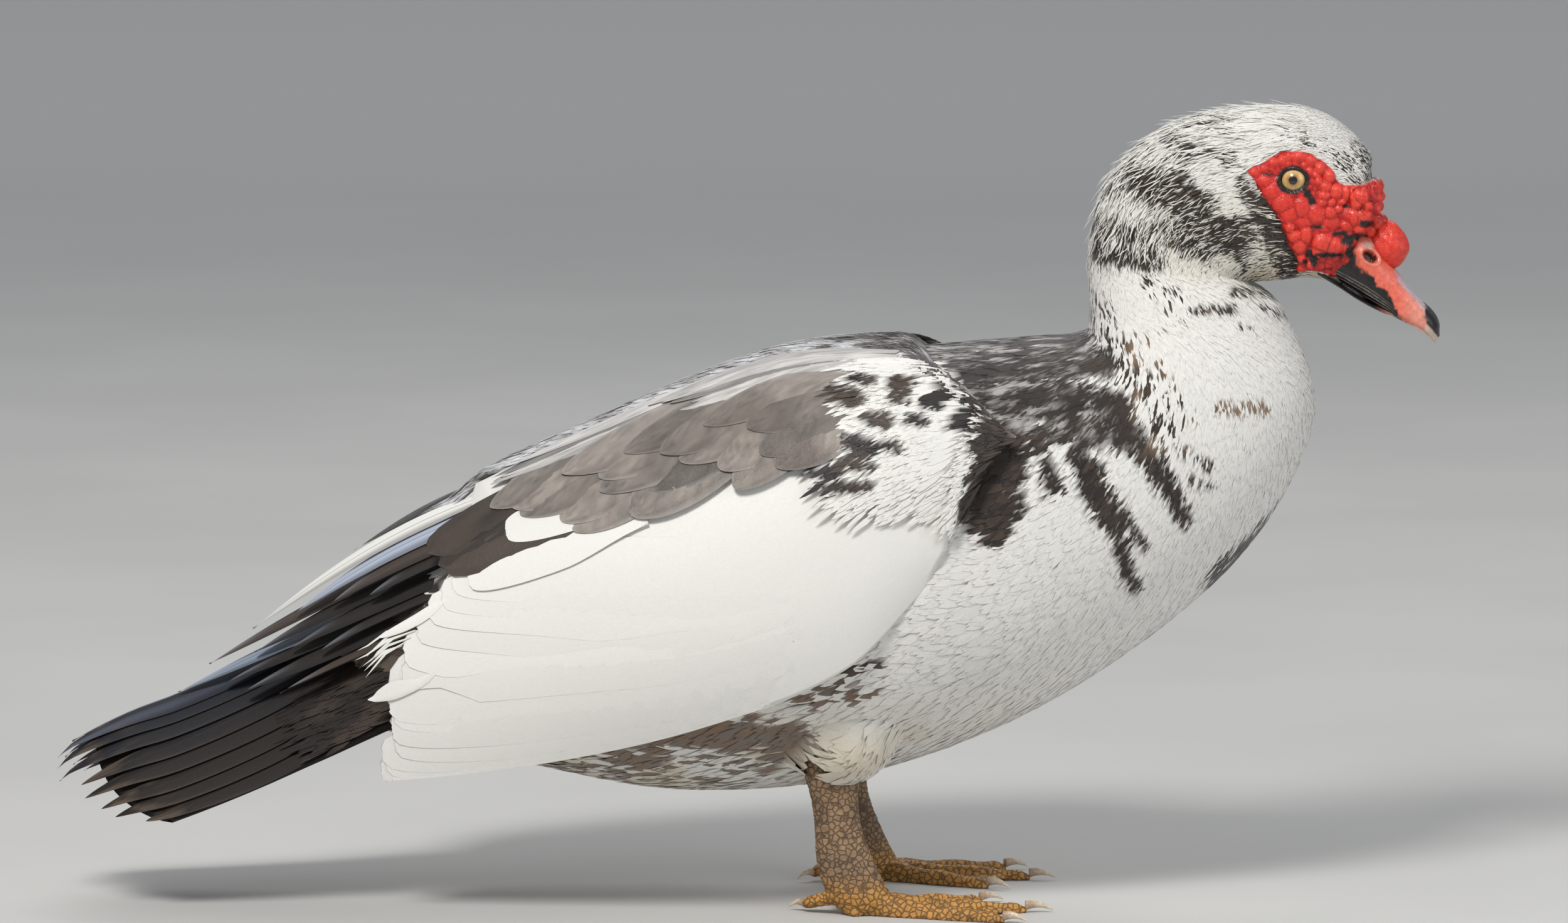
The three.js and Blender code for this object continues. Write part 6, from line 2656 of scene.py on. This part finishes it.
@dataclass(frozen=True)
class Bill:
    """The bill: a broad upper half with its nostrils and comb, the hooked nail and the lower half."""

    # Lower edge and culmen of the upper half in the side view
    edge: tuple = ((300, 322, 345, 355, 370), (349, 337, 323, 315, 303))
    culmen: tuple = ((300, 335, 352, 361, 370, 374), (372, 364, 341, 331, 319, 309))
    nostril: tuple = (336.5, 350.6)
    nostril_lean: float = math.radians(-38)
    nostril_size: tuple = (4.6, 3.0)  # half length and half height

    def nostril_ring(self, x: Array, h: Array) -> Array:
        """Distance from the nostril's middle as a share of its slanting opening.

        Args:
            x: place across the side view.
            h: height in the side view.

        Returns:
            1 on the edge of the opening, less inside.
        """
        lean = self.nostril_lean
        dx, dh = x - self.nostril[0], h - self.nostril[1]
        along = dx * math.cos(lean) + dh * math.sin(lean)
        across = -dx * math.sin(lean) + dh * math.cos(lean)
        return np.hypot(along / self.nostril_size[0], across / self.nostril_size[1])

    def upper_shape(self) -> Array:
        """The upper half with a pit for each nostril, a rim round it and ridges along the lower edge.

        Returns:
            Its rings.
        """
        p = loft(UPPER_BILL, 2.5, 0.62, 170, 170)
        normal = Skin.normals(p)
        s = np.abs(p[..., 1])
        q = turned(np.stack([p[..., 0], -s, p[..., 2]], -1))
        x, h = picture(q)
        ring = self.nostril_ring(x, h)
        height = -4.5 * smooth(ring, 1.0, 0.70) + 0.9 * np.exp(-((ring - 1.25) / 0.22) ** 2)
        height = np.where(s > 3.0, height, 0.0)
        edge = self.edge_share(x, h)
        combs = np.abs(np.sin(math.pi * edge / COMB_PITCH)) ** 0.7
        height = height + 0.30 * combs * smooth(edge, 0.17, 0.13) * smooth(x, 308, 314) * smooth(x, 354, 344)
        height = height + 0.25 * (noise(p, 3.2, 9) - 0.5) * smooth(x, 352, 338)
        return turned(p + normal * height[..., None])

    def edge_share(self, x: Array, h: Array) -> Array:
        """How far a point in the side view is from the lower edge to the culmen of the upper half.

        Args:
            x: place across the side view.
            h: height in the side view.

        Returns:
            0 at the edge and 1 at the culmen.
        """
        low, high = np.interp(x, *self.edge), np.interp(x, *self.culmen)
        return (h - low) / np.maximum(high - low, 2.0)

    def colours(self, p: Array) -> Array:
        """Black at the base and along the edge, pink in the middle, with a painted sky reflection along the
        culmen near the tip and painted shade in the nostrils.

        Args:
            p: points (..., 3).

        Returns:
            A colour for each point.
        """
        x, h = picture(faced(p))
        edge = self.edge_share(x, h)
        blot = noise(p, 3.4, 31) + 0.5 * noise(p, 1.5, 32) - 0.75
        pink = mixed(PAINT.pink, (0.80, 0.30, 0.22), smooth(x, 350, 364))
        limit = np.interp(x, [322, 332, 342, 350, 356], [0.75, 0.46, 0.34, 0.16, 0.0])
        black = smooth(edge + 0.35 * blot - limit, 0.06, -0.06)
        base = smooth(x + 8 * blot, 329, 322)
        colour = mixed(pink, PAINT.soot, np.maximum(black, base))
        nostril = smooth(np.hypot((x - 337.5) / 8.5, (h - 350.0) / 9.0) + 0.5 * blot, 1.1, 0.75)
        fleck = smooth(noise(p, 4.0, 7) + smooth(h, 352, 360), 0.7, 1.2)
        flesh = mixed((0.70, 0.13, 0.08), PAINT.bone, fleck)
        colour = mixed(colour, flesh, nostril * (x < 348))
        # Painted sky reflection: a bluish stripe along the culmen towards the tip.
        blue = between(edge, 0.84, 0.98, 0.08) * smooth(x, 348, 354)
        colour = mixed(colour, (0.42, 0.44, 0.52), 0.75 * blue)
        tipped = smooth(x + 3 * blot, 365.0, 367.5)
        colour = mixed(colour, mixed(PAINT.bone, PAINT.soot, smooth(edge, 0.42, 0.55)), tipped)
        stripe = smooth(np.abs(np.sin(math.pi * edge / COMB_PITCH)), 0.80, 0.97) * smooth(edge, 0.17, 0.13)
        stripe = stripe * smooth(x, 312, 318) * smooth(x, 352, 342) * (0.3 + 0.7 * noise(p, 3.0, 5))
        colour = mixed(colour, (0.42, 0.38, 0.33), 0.55 * stripe)
        ring = self.nostril_ring(x, h)
        side = smooth(np.abs(p[..., 1]), 2.0, 4.0)
        colour = mixed(colour, (0.78, 0.24, 0.17), side * np.exp(-((ring - 1.28) / 0.2) ** 2))
        # Painted shade: the pit of the nostril is near black.
        return mixed(colour, (0.045, 0.010, 0.008), side * smooth(ring, 0.98, 0.80))

    def piece(self, name: str, rings: Array, colours: Array, material: bpy.types.Material) -> bpy.types.Object:
        """One closed piece of the bill.

        Args:
            name: the piece's name.
            rings: its points (rows, columns, 3).
            colours: the same for its colours.
            material: its material.

        Returns:
            The object.
        """
        made = mesh_object(name, *facing_out(tube(rings)))
        set_tint(made.data, tube_colours(colours))
        rows, columns = rings.shape[:2]
        i, j = np.meshgrid(np.arange(rows) / rows, np.arange(columns) / columns, indexing="ij")
        place = np.concatenate([np.stack([j, i], -1).reshape(-1, 2), [[0.5, 0.0], [0.5, 0.99]]])
        set_bake_map(made.data, 0.01 + 0.98 * place)
        made.data.materials.append(material)
        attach(made, "root")
        return made

    def build(self, materials: "Materials") -> None:
        """Builds both halves and the nail.

        Args:
            materials: the materials of the model.
        """
        upper = self.upper_shape()
        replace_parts(self.piece("bill_top", upper, self.colours(upper), materials.bill),
                    "bill_upper")
        lower = loft(LOWER_BILL, 2.2, 0.4, 60, 80)
        ridge = np.abs(np.sin(math.pi * lower[..., 0] / 1.9)) ** 0.6 * smooth(np.abs(lower[..., 1]), 7, 9)
        lower = turned(lower + Skin.normals(lower) * (0.25 * ridge)[..., None])
        x, _ = picture(faced(lower))
        tint = mixed(PAINT.soot, (0.45, 0.20, 0.15), smooth(x + 8 * noise(lower, 5, 3), 340, 352))
        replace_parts(self.piece("bill_under", lower, tint, materials.bill), "bill_lower")
        self.nail(materials)

    def nail(self, materials: "Materials") -> None:
        """The nail: the last 9 mm of the upper half, narrower, raised and hooked down at the tip.

        Args:
            materials: the materials of the model.
        """
        t, a = shares(40), angles(60)
        back = line([[0, 363.4], [0.35, 367.8], [0.7, 371.4], [0.9, 372.6], [1.0, 372.0]])(t)
        back_z = line([[0, 328.2], [0.35, 323.6], [0.7, 318.0], [0.9, 312.4], [1.0, 307.2]])(t)
        size = line([[0, 0.4], [0.12, 3.6], [0.4, 6.6], [0.7, 6.4], [0.9, 4.6], [1.0, 1.2]])(t)
        deep = line([[0, 0.3], [0.15, 1.6], [0.5, 3.7], [0.8, 4.0], [1.0, 1.0]])(t)
        way = unit(np.stack([0.76 + 0.2 * t, 0 * t, 0.65 - 0.75 * t], -1))
        centre = np.stack([back, 0 * t, back_z], -1) - way * (0.75 * deep)[..., None]
        rings = centre + way * (deep * np.cos(a))[..., None]
        rings[..., 1] = size * np.sin(a)
        sides = smooth(np.cos(a), 0.62, 0.30) * smooth(t, 0.12, 0.25)
        pale = np.maximum(smooth(t, 0.80, 0.95) + 0 * a, sides)
        tint = mixed(PAINT.soot, (0.55, 0.53, 0.52), np.clip(pale, 0, 1) * 0.85)
        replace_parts(self.piece("nail", turned(rings), tint, materials.claw), "bill_nail")


def build_eyes(material: bpy.types.Material) -> None:
    """Two eyeballs: gold-brown iris, paler outwards, dark rim, and a black pupil round the axis.

    Args:
        material: the material of the eyeballs.
    """
    for side in Side:
        t = np.linspace(0.02, math.pi - 0.02, 64)[:, None]
        a = angles(64)
        way = np.stack([np.sin(t) * np.cos(a), -np.cos(t) * side.value + 0 * a, np.sin(t) * np.sin(a)], -1)
        bulge = 1 + 0.05 * np.exp(-((math.pi - t) / 0.55) ** 2)
        p = EYE_PLACE * np.array([1, side.value, 1]) + way * (EYE_RADIUS * bulge)[..., None]
        flat = EYE_RADIUS * np.sin(t) + 0 * a
        flat = np.where(t + 0 * a > math.pi / 2, flat, FAR)
        streak = noise(np.stack([12 * np.cos(a) + 0 * t, 12 * np.sin(a) + 0 * t, flat * 0.4], -1), 1.0, 3)
        gold = mixed((0.42, 0.21, 0.055), (0.74, 0.48, 0.19), smooth(flat, 2.6, 4.6) * (0.6 + 0.5 * streak))
        colour = mixed(gold, (0.002, 0.002, 0.002), smooth(flat, 2.5, 2.35))
        colour = mixed(colour, (0.02, 0.015, 0.012), smooth(flat, 5.9, 6.4))
        made = mesh_object(f"eyeball_{side.name.lower()}", *facing_out(tube(turned(p))))
        set_tint(made.data, tube_colours(colour))
        place = 0.5 + 0.045 * np.stack([flat * np.cos(a), flat * np.sin(a)], -1).reshape(-1, 2)
        set_bake_map(made.data, np.concatenate([place, [[0.02, 0.02], [0.5, 0.5]]]))
        made.data.materials.append(material)
        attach(made, "root")
        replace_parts(made, f"eye_{side.name.lower()}")


def build_claws(material: bpy.types.Material) -> None:
    """The four claws of each foot as one piece, darker at the root and pale at the tip.

    Args:
        material: the material of the claws.
    """
    for side in Side:
        rings = Leg(side).claws()
        made = mesh_object(f"claws_{side.name.lower()}", *joined([facing_out(tube(r)) for r in rings]))
        rows, columns = rings[0].shape[:2]
        t = np.concatenate([np.repeat(np.linspace(0, 1, rows), columns), [0.0, 1.0]])
        t = np.tile(t, len(rings))
        q = vertex_points(made.data)
        tint = mixed((0.42, 0.30, 0.20), (0.70, 0.58, 0.44), smooth(t + 0.3 * noise(q, 2.0, 4), 0.2, 0.8))
        set_tint(made.data, tint)
        k = np.repeat(np.arange(len(rings)), rows * columns + 2)
        a = np.tile(np.concatenate([np.tile(np.arange(columns) / columns, rows), [0.5, 0.5]]), len(rings))
        set_bake_map(made.data, np.stack([0.02 + 0.24 * (k + a), 0.02 + 0.9 * t], -1))
        made.data.materials.append(material)
        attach(made, "root")
        toes = ("inner", "middle", "outer", "hind")
        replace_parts(made, *(f"claw_{toe}_{side.name.lower()}" for toe in toes))


# Materials


@dataclass(frozen=True)
class Finish:
    """How a surface takes the light."""

    rough: float
    rough_spread: float = 0.0
    sheen: float = 0.0
    coat: float = 0.0
    coat_rough: float = 0.2
    specular: float = 0.5
    bump: float = 0.0
    subsurface: float = 0.0


class Net:
    """A node tree in the making, with short calls for the usual nodes."""

    def __init__(self, tree: bpy.types.NodeTree) -> None:
        """Keeps the tree."""
        self.tree = tree

    def node(self, kind: str, **settings: object) -> bpy.types.Node:
        """A new node with some of its settings.

        Args:
            kind: the node's type.
            settings: its settings by name.

        Returns:
            The node.
        """
        made = self.tree.nodes.new(kind)
        for name, value in settings.items():
            setattr(made, name, value)
        return made

    def put(self, value: object, socket: bpy.types.NodeSocket) -> None:
        """Links an output to a socket, or sets a plain value on it.

        Args:
            value: a socket or a plain value.
            socket: the input it goes to.
        """
        if isinstance(value, bpy.types.NodeSocket):
            self.tree.links.new(value, socket)
        else:
            socket.default_value = value

    def math(self, operation: str, *values: object) -> bpy.types.NodeSocket:
        """One arithmetic node over sockets and numbers.

        Args:
            operation: what it does.
            values: its inputs.

        Returns:
            Its result.
        """
        made = self.node("ShaderNodeMath", operation=operation)
        for value, socket in zip(values, made.inputs):
            self.put(value, socket)
        return made.outputs[0]

    def ramp(self, value: object, low: float, high: float, first: float = 0.0, last: float = 1.0) -> object:
        """A clamped smooth map from the range low..high to first..last.

        Args:
            value: a socket or a plain value.
            low: start of the range.
            high: end of the range.
            first: result at its start.
            last: result at its end.

        Returns:
            The mapped value.
        """
        made = self.node("ShaderNodeMapRange", interpolation_type="SMOOTHSTEP")
        for number, socket in zip((value, low, high, first, last), made.inputs):
            self.put(number, socket)
        return made.outputs[0]

    def mix(self, share: object, a: object, b: object, blend: str = "MIX") -> bpy.types.NodeSocket:
        """A colour between two, by a share.

        Args:
            share: how much of the second.
            a: the first colour.
            b: the second colour.
            blend: how they are blended.

        Returns:
            The colour.
        """
        made = self.node("ShaderNodeMix", data_type="RGBA", blend_type=blend)
        self.put(share, made.inputs[0])
        self.put(a, made.inputs[6])
        self.put(b, made.inputs[7])
        return made.outputs[2]

    def noise(self, vector: object, scale: float, detail: float = 2.0, rough: float = 0.5) -> object:
        """Noise from 0 to 1 with a number of features per metre.

        Args:
            vector: where it is read.
            scale: features per metre.
            detail: finer layers.
            rough: how strong they are.

        Returns:
            The value.
        """
        made = self.node("ShaderNodeTexNoise")
        self.put(vector, made.inputs["Vector"])
        made.inputs["Scale"].default_value = scale
        made.inputs["Detail"].default_value = detail
        made.inputs["Roughness"].default_value = rough
        return made.outputs[0]

    def attribute(self, name: str) -> bpy.types.Node:
        """Reads a vertex attribute."""
        return self.node("ShaderNodeAttribute", attribute_name=name)

    def object_place(self) -> bpy.types.NodeSocket:
        """Object coordinates, which are the frame's own in metres."""
        return self.node("ShaderNodeTexCoord").outputs["Object"]


def new_group(name: str, inputs: dict, outputs: dict) -> tuple[Net, object, object]:
    """A shader node group with named float, vector or colour sockets.

    Args:
        name: the group's name.
        inputs: socket names with their kinds.
        outputs: the same for the results.

    Returns:
        Its net, its input node and its output node.
    """
    tree = bpy.data.node_groups.new(name, "ShaderNodeTree")
    for direction, sockets in (("INPUT", inputs), ("OUTPUT", outputs)):
        for socket, kind in sockets.items():
            tree.interface.new_socket(socket, in_out=direction, socket_type=f"NodeSocket{kind}")
    net = Net(tree)
    return net, net.node("NodeGroupInput"), net.node("NodeGroupOutput")


BARB_SLANT = 1.2  # how far forward a barb reaches for each step away from the shaft


def barb_group() -> bpy.types.NodeTree:
    """The barbs of a feather: slanting lines that leave the shaft, and the shaft itself.

    The lines are a sine of the distance along less the slanted distance from the shaft, with its
    phase pushed about by noise.

    Returns:
        The group.
    """
    net, given, out = new_group("Barbs", {"Vane": "Vector", "Pitch": "Float"},
                                {"Lines": "Float", "Shaft": "Float", "Cloud": "Float"})
    parts = net.node("ShaderNodeSeparateXYZ")
    net.put(given.outputs["Vane"], parts.inputs[0])
    across = net.math("ABSOLUTE", parts.outputs[0])
    slant = net.math("SUBTRACT", parts.outputs[1], net.math("MULTIPLY", across, BARB_SLANT))
    where = net.object_place()
    push = net.math("MULTIPLY", net.noise(where, 260, 2), 5.0)
    phase = net.math("DIVIDE", net.math("ADD", slant, push), given.outputs["Pitch"])
    wave = net.math("SINE", net.math("MULTIPLY", phase, 2 * math.pi))
    lines = net.math("MULTIPLY_ADD", wave, 0.5, 0.5)
    net.put(lines, out.inputs["Lines"])
    narrow = net.ramp(across, 0.25, 0.75, 1.0, 0.0)
    net.put(net.math("MULTIPLY", narrow, parts.outputs[2]), out.inputs["Shaft"])
    net.put(net.noise(where, 900, 3, 0.6), out.inputs["Cloud"])
    return net.tree


def scaled_cells(net: Net, given: bpy.types.Node, feature: str) -> tuple[object, bpy.types.Node]:
    """A cell pattern over object coordinates times a group's scale.

    Args:
        net: the group's net.
        given: its input node.
        feature: which distance the pattern gives.

    Returns:
        The scaled coordinates and the pattern's node.
    """
    where = net.node("ShaderNodeVectorMath", operation="SCALE")
    net.put(net.object_place(), where.inputs[0])
    net.put(given.outputs["Scale"], where.inputs["Scale"])
    pattern = net.node("ShaderNodeTexVoronoi", feature=feature)
    net.put(where.outputs[0], pattern.inputs["Vector"])
    pattern.inputs["Scale"].default_value = 1.0
    return where.outputs[0], pattern


def grain_group() -> bpy.types.NodeTree:
    """Fine wrinkles and pores of bare skin, as a height and a shade.

    Returns:
        The group.
    """
    net, given, out = new_group("Grain", {"Scale": "Float"}, {"Height": "Float", "Shade": "Float"})
    where, pattern = scaled_cells(net, given, "SMOOTH_F1")
    pattern.inputs["Smoothness"].default_value = 0.4
    pores = net.ramp(pattern.outputs["Distance"], 0.1, 0.7)
    wrinkle = net.noise(where, 0.45, 3, 0.6)
    net.put(net.math("ADD", net.math("MULTIPLY", pores, -0.6), wrinkle), out.inputs["Height"])
    net.put(wrinkle, out.inputs["Shade"])
    return net.tree


def scale_group() -> bpy.types.NodeTree:
    """The net of small scales on the legs: how near the gap between two scales is.

    Returns:
        The group.
    """
    net, given, out = new_group("Scales", {"Scale": "Float"}, {"Gap": "Float"})
    _, pattern = scaled_cells(net, given, "DISTANCE_TO_EDGE")
    net.put(net.ramp(pattern.outputs["Distance"], 0.03, 0.17, 1.0, 0.0), out.inputs["Gap"])
    return net.tree


@dataclass
class Materials:
    """Every material of the model, built once."""

    skin_grain: float = 1150.0  # wrinkles of the bare skin per metre
    leg_scales: float = 310.0  # scales of the leg per metre

    def __post_init__(self) -> None:
        """Builds the shared groups and the materials."""
        self.barbs = barb_group()
        self.grain = grain_group()
        self.scales = scale_group()
        down = Finish(rough=0.78, rough_spread=0.1, sheen=0.35, specular=0.25, bump=0.25)
        satin = Finish(rough=0.55, rough_spread=0.08, sheen=0.15, specular=0.4, bump=0.18)
        self.plumage = self.feather("plumage", down, pitch=0.55, contrast=0.20)
        self.wing = self.feather("wing_feathers", satin, pitch=0.9, contrast=0.10)
        dull = Finish(rough=0.60, rough_spread=0.08, specular=0.3, bump=0.15)
        self.tail = self.feather("tail_feathers", dull, pitch=0.9, contrast=0.35)
        self.skin = self.bare("skin")
        glossy = Finish(rough=0.30, rough_spread=0.12, specular=0.5, bump=0.10)
        self.bill = self.horn("bill", glossy, scale=900)
        worn = Finish(rough=0.38, rough_spread=0.1, specular=0.5, bump=0.12)
        self.claw = self.horn("claw_horn", worn, scale=1400)
        self.eye = self.glass("eye")

    @staticmethod
    def start(name: str, finish: Finish) -> tuple[bpy.types.Material, Net, bpy.types.Node]:
        """A material with its Principled node, and the even part of its finish set on the sockets.

        Args:
            name: the material's name.
            finish: its finish.

        Returns:
            The material, its net and its shader.
        """
        material = bpy.data.materials.new(name)
        material.use_nodes = True
        shader = material.node_tree.nodes["Principled BSDF"]
        settings = {
            "Specular IOR Level": finish.specular, "Sheen Weight": finish.sheen, "Sheen Roughness": 0.5,
            "Coat Weight": finish.coat, "Coat Roughness": finish.coat_rough,
            "Subsurface Weight": finish.subsurface, "Subsurface Scale": 2 * METRE,
        }
        for name_of_socket, value in settings.items():
            shader.inputs[name_of_socket].default_value = value
        return material, Net(material.node_tree), shader

    @staticmethod
    def bump(net: Net, shader: bpy.types.Node, height: object, strength: float, distance: float) -> None:
        """Feeds a height through a bump node into the shader's normal.

        Args:
            net: the net the node goes into.
            shader: the shader whose normal it feeds.
            height: the height.
            strength: how strong it is.
            distance: the height of 1, in metres.
        """
        made = net.node("ShaderNodeBump")
        made.inputs["Strength"].default_value = strength
        made.inputs["Distance"].default_value = distance
        net.put(height, made.inputs["Height"])
        net.put(made.outputs["Normal"], shader.inputs["Normal"])

    def feather(self, name: str, finish: Finish, pitch: float, contrast: float) -> bpy.types.Material:
        """Feathers: the tint of each, darker between its barbs and along its shaft.

        Args:
            name: the material's name.
            finish: its finish.
            pitch: distance between barb lines, mm.
            contrast: how much darker the colour is between them.

        Returns:
            The material.
        """
        material, net, shader = self.start(name, finish)
        group = net.node("ShaderNodeGroup", node_tree=self.barbs)
        net.put(net.attribute("Vane").outputs["Vector"], group.inputs["Vane"])
        group.inputs["Pitch"].default_value = pitch
        tint = net.attribute("Tint").outputs["Color"]
        lines, cloud = group.outputs["Lines"], group.outputs["Cloud"]
        shade = net.math("MULTIPLY", lines, net.ramp(cloud, 0.35, 0.65))
        dark = net.mix(0.55, tint, (0.02, 0.014, 0.01, 1))
        colour = net.mix(net.math("MULTIPLY", shade, contrast), tint, dark)
        colour = net.mix(net.math("MULTIPLY", group.outputs["Shaft"], 0.75), colour, (0.03, 0.02, 0.015, 1))
        net.put(colour, shader.inputs["Base Color"])
        low, high = finish.rough - finish.rough_spread, finish.rough + finish.rough_spread
        net.put(net.ramp(cloud, 0.3, 0.7, low, high), shader.inputs["Roughness"])
        self.bump(net, shader, lines, finish.bump, 0.0003)
        return material

    def bare(self, name: str) -> bpy.types.Material:
        """The skin: red flesh, scaled legs and feathered skin, told apart by its Kind attribute.

        Args:
            name: the material's name.

        Returns:
            The material.
        """
        material, net, shader = self.start(name, Finish(rough=0.4, specular=0.45, subsurface=0.06))
        kind = net.node("ShaderNodeSeparateXYZ")
        net.put(net.attribute("Kind").outputs["Vector"], kind.inputs[0])
        group = net.node("ShaderNodeGroup", node_tree=self.grain)
        group.inputs["Scale"].default_value = self.skin_grain
        tint = net.attribute("Tint").outputs["Color"]
        shade = net.ramp(group.outputs["Shade"], 0.3, 0.7, 0.78, 1.12)
        colour = net.mix(1.0, tint, shade, "MULTIPLY")
        scales = net.node("ShaderNodeGroup", node_tree=self.scales)
        scales.inputs["Scale"].default_value = self.leg_scales
        gap = net.math("MULTIPLY", scales.outputs["Gap"], kind.outputs[1])
        colour = net.mix(net.math("MULTIPLY", gap, 0.72), colour, (0.035, 0.020, 0.012, 1.0))
        net.put(colour, shader.inputs["Base Color"])
        flesh = net.ramp(group.outputs["Shade"], 0.3, 0.7, 0.42, 0.27)
        rough = net.math("ADD", net.math("MULTIPLY", kind.outputs[0], flesh),
                         net.math("ADD", net.math("MULTIPLY", kind.outputs[1], 0.5),
                                  net.math("MULTIPLY", kind.outputs[2], 0.9)))
        net.put(rough, shader.inputs["Roughness"])
        height = net.math("SUBTRACT", group.outputs["Height"], net.math("MULTIPLY", gap, 1.6))
        self.bump(net, shader, height, 0.5, 0.0004)
        return material

    def horn(self, name: str, finish: Finish, scale: float) -> bpy.types.Material:
        """Horn: its own tint with faint growth streaks and scratches.

        Args:
            name: the material's name.
            finish: its finish.
            scale: features of its grain per metre.

        Returns:
            The material.
        """
        material, net, shader = self.start(name, finish)
        group = net.node("ShaderNodeGroup", node_tree=self.grain)
        group.inputs["Scale"].default_value = scale
        tint = net.attribute("Tint").outputs["Color"]
        shade = net.ramp(group.outputs["Shade"], 0.3, 0.7, 0.8, 1.12)
        net.put(net.mix(1.0, tint, shade, "MULTIPLY"), shader.inputs["Base Color"])
        net.put(net.ramp(group.outputs["Shade"], 0.3, 0.7, finish.rough + finish.rough_spread,
                         finish.rough - finish.rough_spread), shader.inputs["Roughness"])
        self.bump(net, shader, group.outputs["Height"], finish.bump, 0.0003)
        return material

    def glass(self, name: str) -> bpy.types.Material:
        """The wet eyeball: its painted iris under a clear coat.

        Args:
            name: the material's name.

        Returns:
            The material.
        """
        material, net, shader = self.start(name, Finish(rough=0.3, coat=1.0, coat_rough=0.02, specular=0.5))
        tint = net.attribute("Tint").outputs["Color"]
        flecks = net.ramp(net.noise(net.object_place(), 2600, 2), 0.3, 0.7, 0.8, 1.15)
        net.put(net.mix(1.0, tint, flecks, "MULTIPLY"), shader.inputs["Base Color"])
        smear = net.noise(net.object_place(), 900, 2)
        net.put(net.ramp(smear, 0.3, 0.7, 0.25, 0.4), shader.inputs["Roughness"])
        return material


# Floor, light and camera


@dataclass(frozen=True)
class Lamp:
    """A soft rectangular light: its place and target in metres, its size, power and colour."""

    place: tuple
    target: tuple
    size: tuple
    power: float
    colour: tuple = (1.0, 1.0, 1.0)


def aimed(place: Vector | tuple, way: Vector) -> Matrix:
    """The matrix of a lamp or camera that stands at a place and looks along a way."""
    return Matrix.Translation(place) @ way.to_track_quat("-Z", "Y").to_matrix().to_4x4()


@dataclass(frozen=True)
class Studio:
    """A wide pale floor, soft lights and the camera of the photograph."""

    floor_reach: float = 40.0  # metres from the middle to each edge
    sky: tuple = (0.93, 0.96, 1.0, 1)
    sky_strength: float = 0.32
    sensor: float = 36.0  # width of the camera's sensor, millimetres

    lamps: tuple = (
        Lamp((-0.7, -1.7, 2.2), (0.05, 0.0, 0.22), (0.7, 0.7), 58.0, (1.0, 0.98, 0.95)),
        Lamp((2.0, -1.2, 1.0), (0.1, 0.0, 0.25), (1.4, 1.6), 12.0, (0.95, 0.98, 1.0)),
        Lamp((0.2, 1.8, 2.2), (0.0, 0.0, 0.25), (2.4, 1.2), 20.0),
    )

    def build(self) -> None:
        """Builds floor, lamps, world and camera."""
        self.floor()
        for lamp in self.lamps:
            self.lamp(lamp)
        self.world()
        self.camera()

    def floor(self) -> None:
        """The floor: flat and wide, and painted paler far away, where only the sky lights it, to stand in for
        the lamps' light.
        """
        x = np.linspace(-self.floor_reach, self.floor_reach, 9)
        points = np.stack([x[None, :] + 0 * x[:, None], x[:, None] + 0 * x, np.zeros((9, 9))], -1)
        quads = grid_faces(len(x), len(x), False)[:, [0, 3, 2, 1]]
        made = mesh_object("floor", points.reshape(-1, 3) / METRE, np.empty((0, 3), int), quads)
        material = bpy.data.materials.new("floor")
        material.use_nodes = True
        net = Net(material.node_tree)
        shader = material.node_tree.nodes["Principled BSDF"]
        place = net.object_place()
        cloud = net.noise(place, 3.0, 3)
        near = net.mix(net.ramp(cloud, 0.3, 0.7), (0.56, 0.555, 0.54, 1), (0.60, 0.595, 0.58, 1))
        away = net.node("ShaderNodeVectorMath", operation="LENGTH")
        net.put(place, away.inputs[0])
        # Painted light: the colour turns paler from 1 m to 6 m out, making up for the lamps' light that does
        # not reach so far.
        far = net.ramp(away.outputs["Value"], 1.0, 6.0)
        net.put(net.mix(far, near, (0.90, 0.90, 0.885, 1)), shader.inputs["Base Color"])
        net.put(net.ramp(cloud, 0.3, 0.7, 0.75, 0.85), shader.inputs["Roughness"])
        made.data.materials.append(material)

    @staticmethod
    def lamp(lamp: Lamp) -> None:
        """One area light turned towards its target.

        Args:
            lamp: its sizes.
        """
        light = bpy.data.lights.new("lamp", "AREA")
        light.shape = "RECTANGLE"
        light.size, light.size_y = lamp.size
        light.energy = lamp.power
        light.color = lamp.colour
        made = bpy.data.objects.new("lamp", light)
        bpy.context.scene.collection.objects.link(made)
        made.matrix_world = aimed(lamp.place, Vector(lamp.target) - Vector(lamp.place))

    def world(self) -> None:
        """A pale even sky that fills the shadows."""
        world = bpy.data.worlds.new("world")
        world.use_nodes = True
        back = world.node_tree.nodes["Background"]
        back.inputs[0].default_value = self.sky
        back.inputs[1].default_value = self.sky_strength
        bpy.context.scene.world = world

    def camera(self) -> None:
        """The camera: 4.5 m away, seven degrees above level, square to the bird's side."""
        data = bpy.data.cameras.new("camera")
        data.sensor_width = self.sensor
        data.lens = self.sensor * CAMERA_DISTANCE / PHOTO_WIDTH
        data.dof.use_dof = False
        data.clip_end = 50.0
        made = bpy.data.objects.new("camera", data)
        bpy.context.scene.collection.objects.link(made)
        target = Vector(CAMERA_TARGET * METRE)
        away = Vector((0.0, -math.cos(CAMERA_UP), math.sin(CAMERA_UP))) * CAMERA_DISTANCE * METRE
        made.matrix_world = aimed(target + away, -away)
        bpy.context.scene.camera = made
        bpy.context.scene.view_settings.view_transform = "Standard"


def main() -> None:
    """Builds every piece, then floor, lights and camera."""
    logging.basicConfig(level=logging.INFO, format="%(name)s: %(message)s")
    materials = Materials()
    build_skin(materials.skin)
    BodyCoat().build(materials.plumage)
    for side in Side:
        Wing(side).build(materials.wing)
    Saddle().build(materials.wing)
    Tail().build(materials.tail)
    Bill().build(materials)
    build_eyes(materials.eye)
    build_claws(materials.claw)
    Studio().build()


if __name__ == "__main__":
    main()
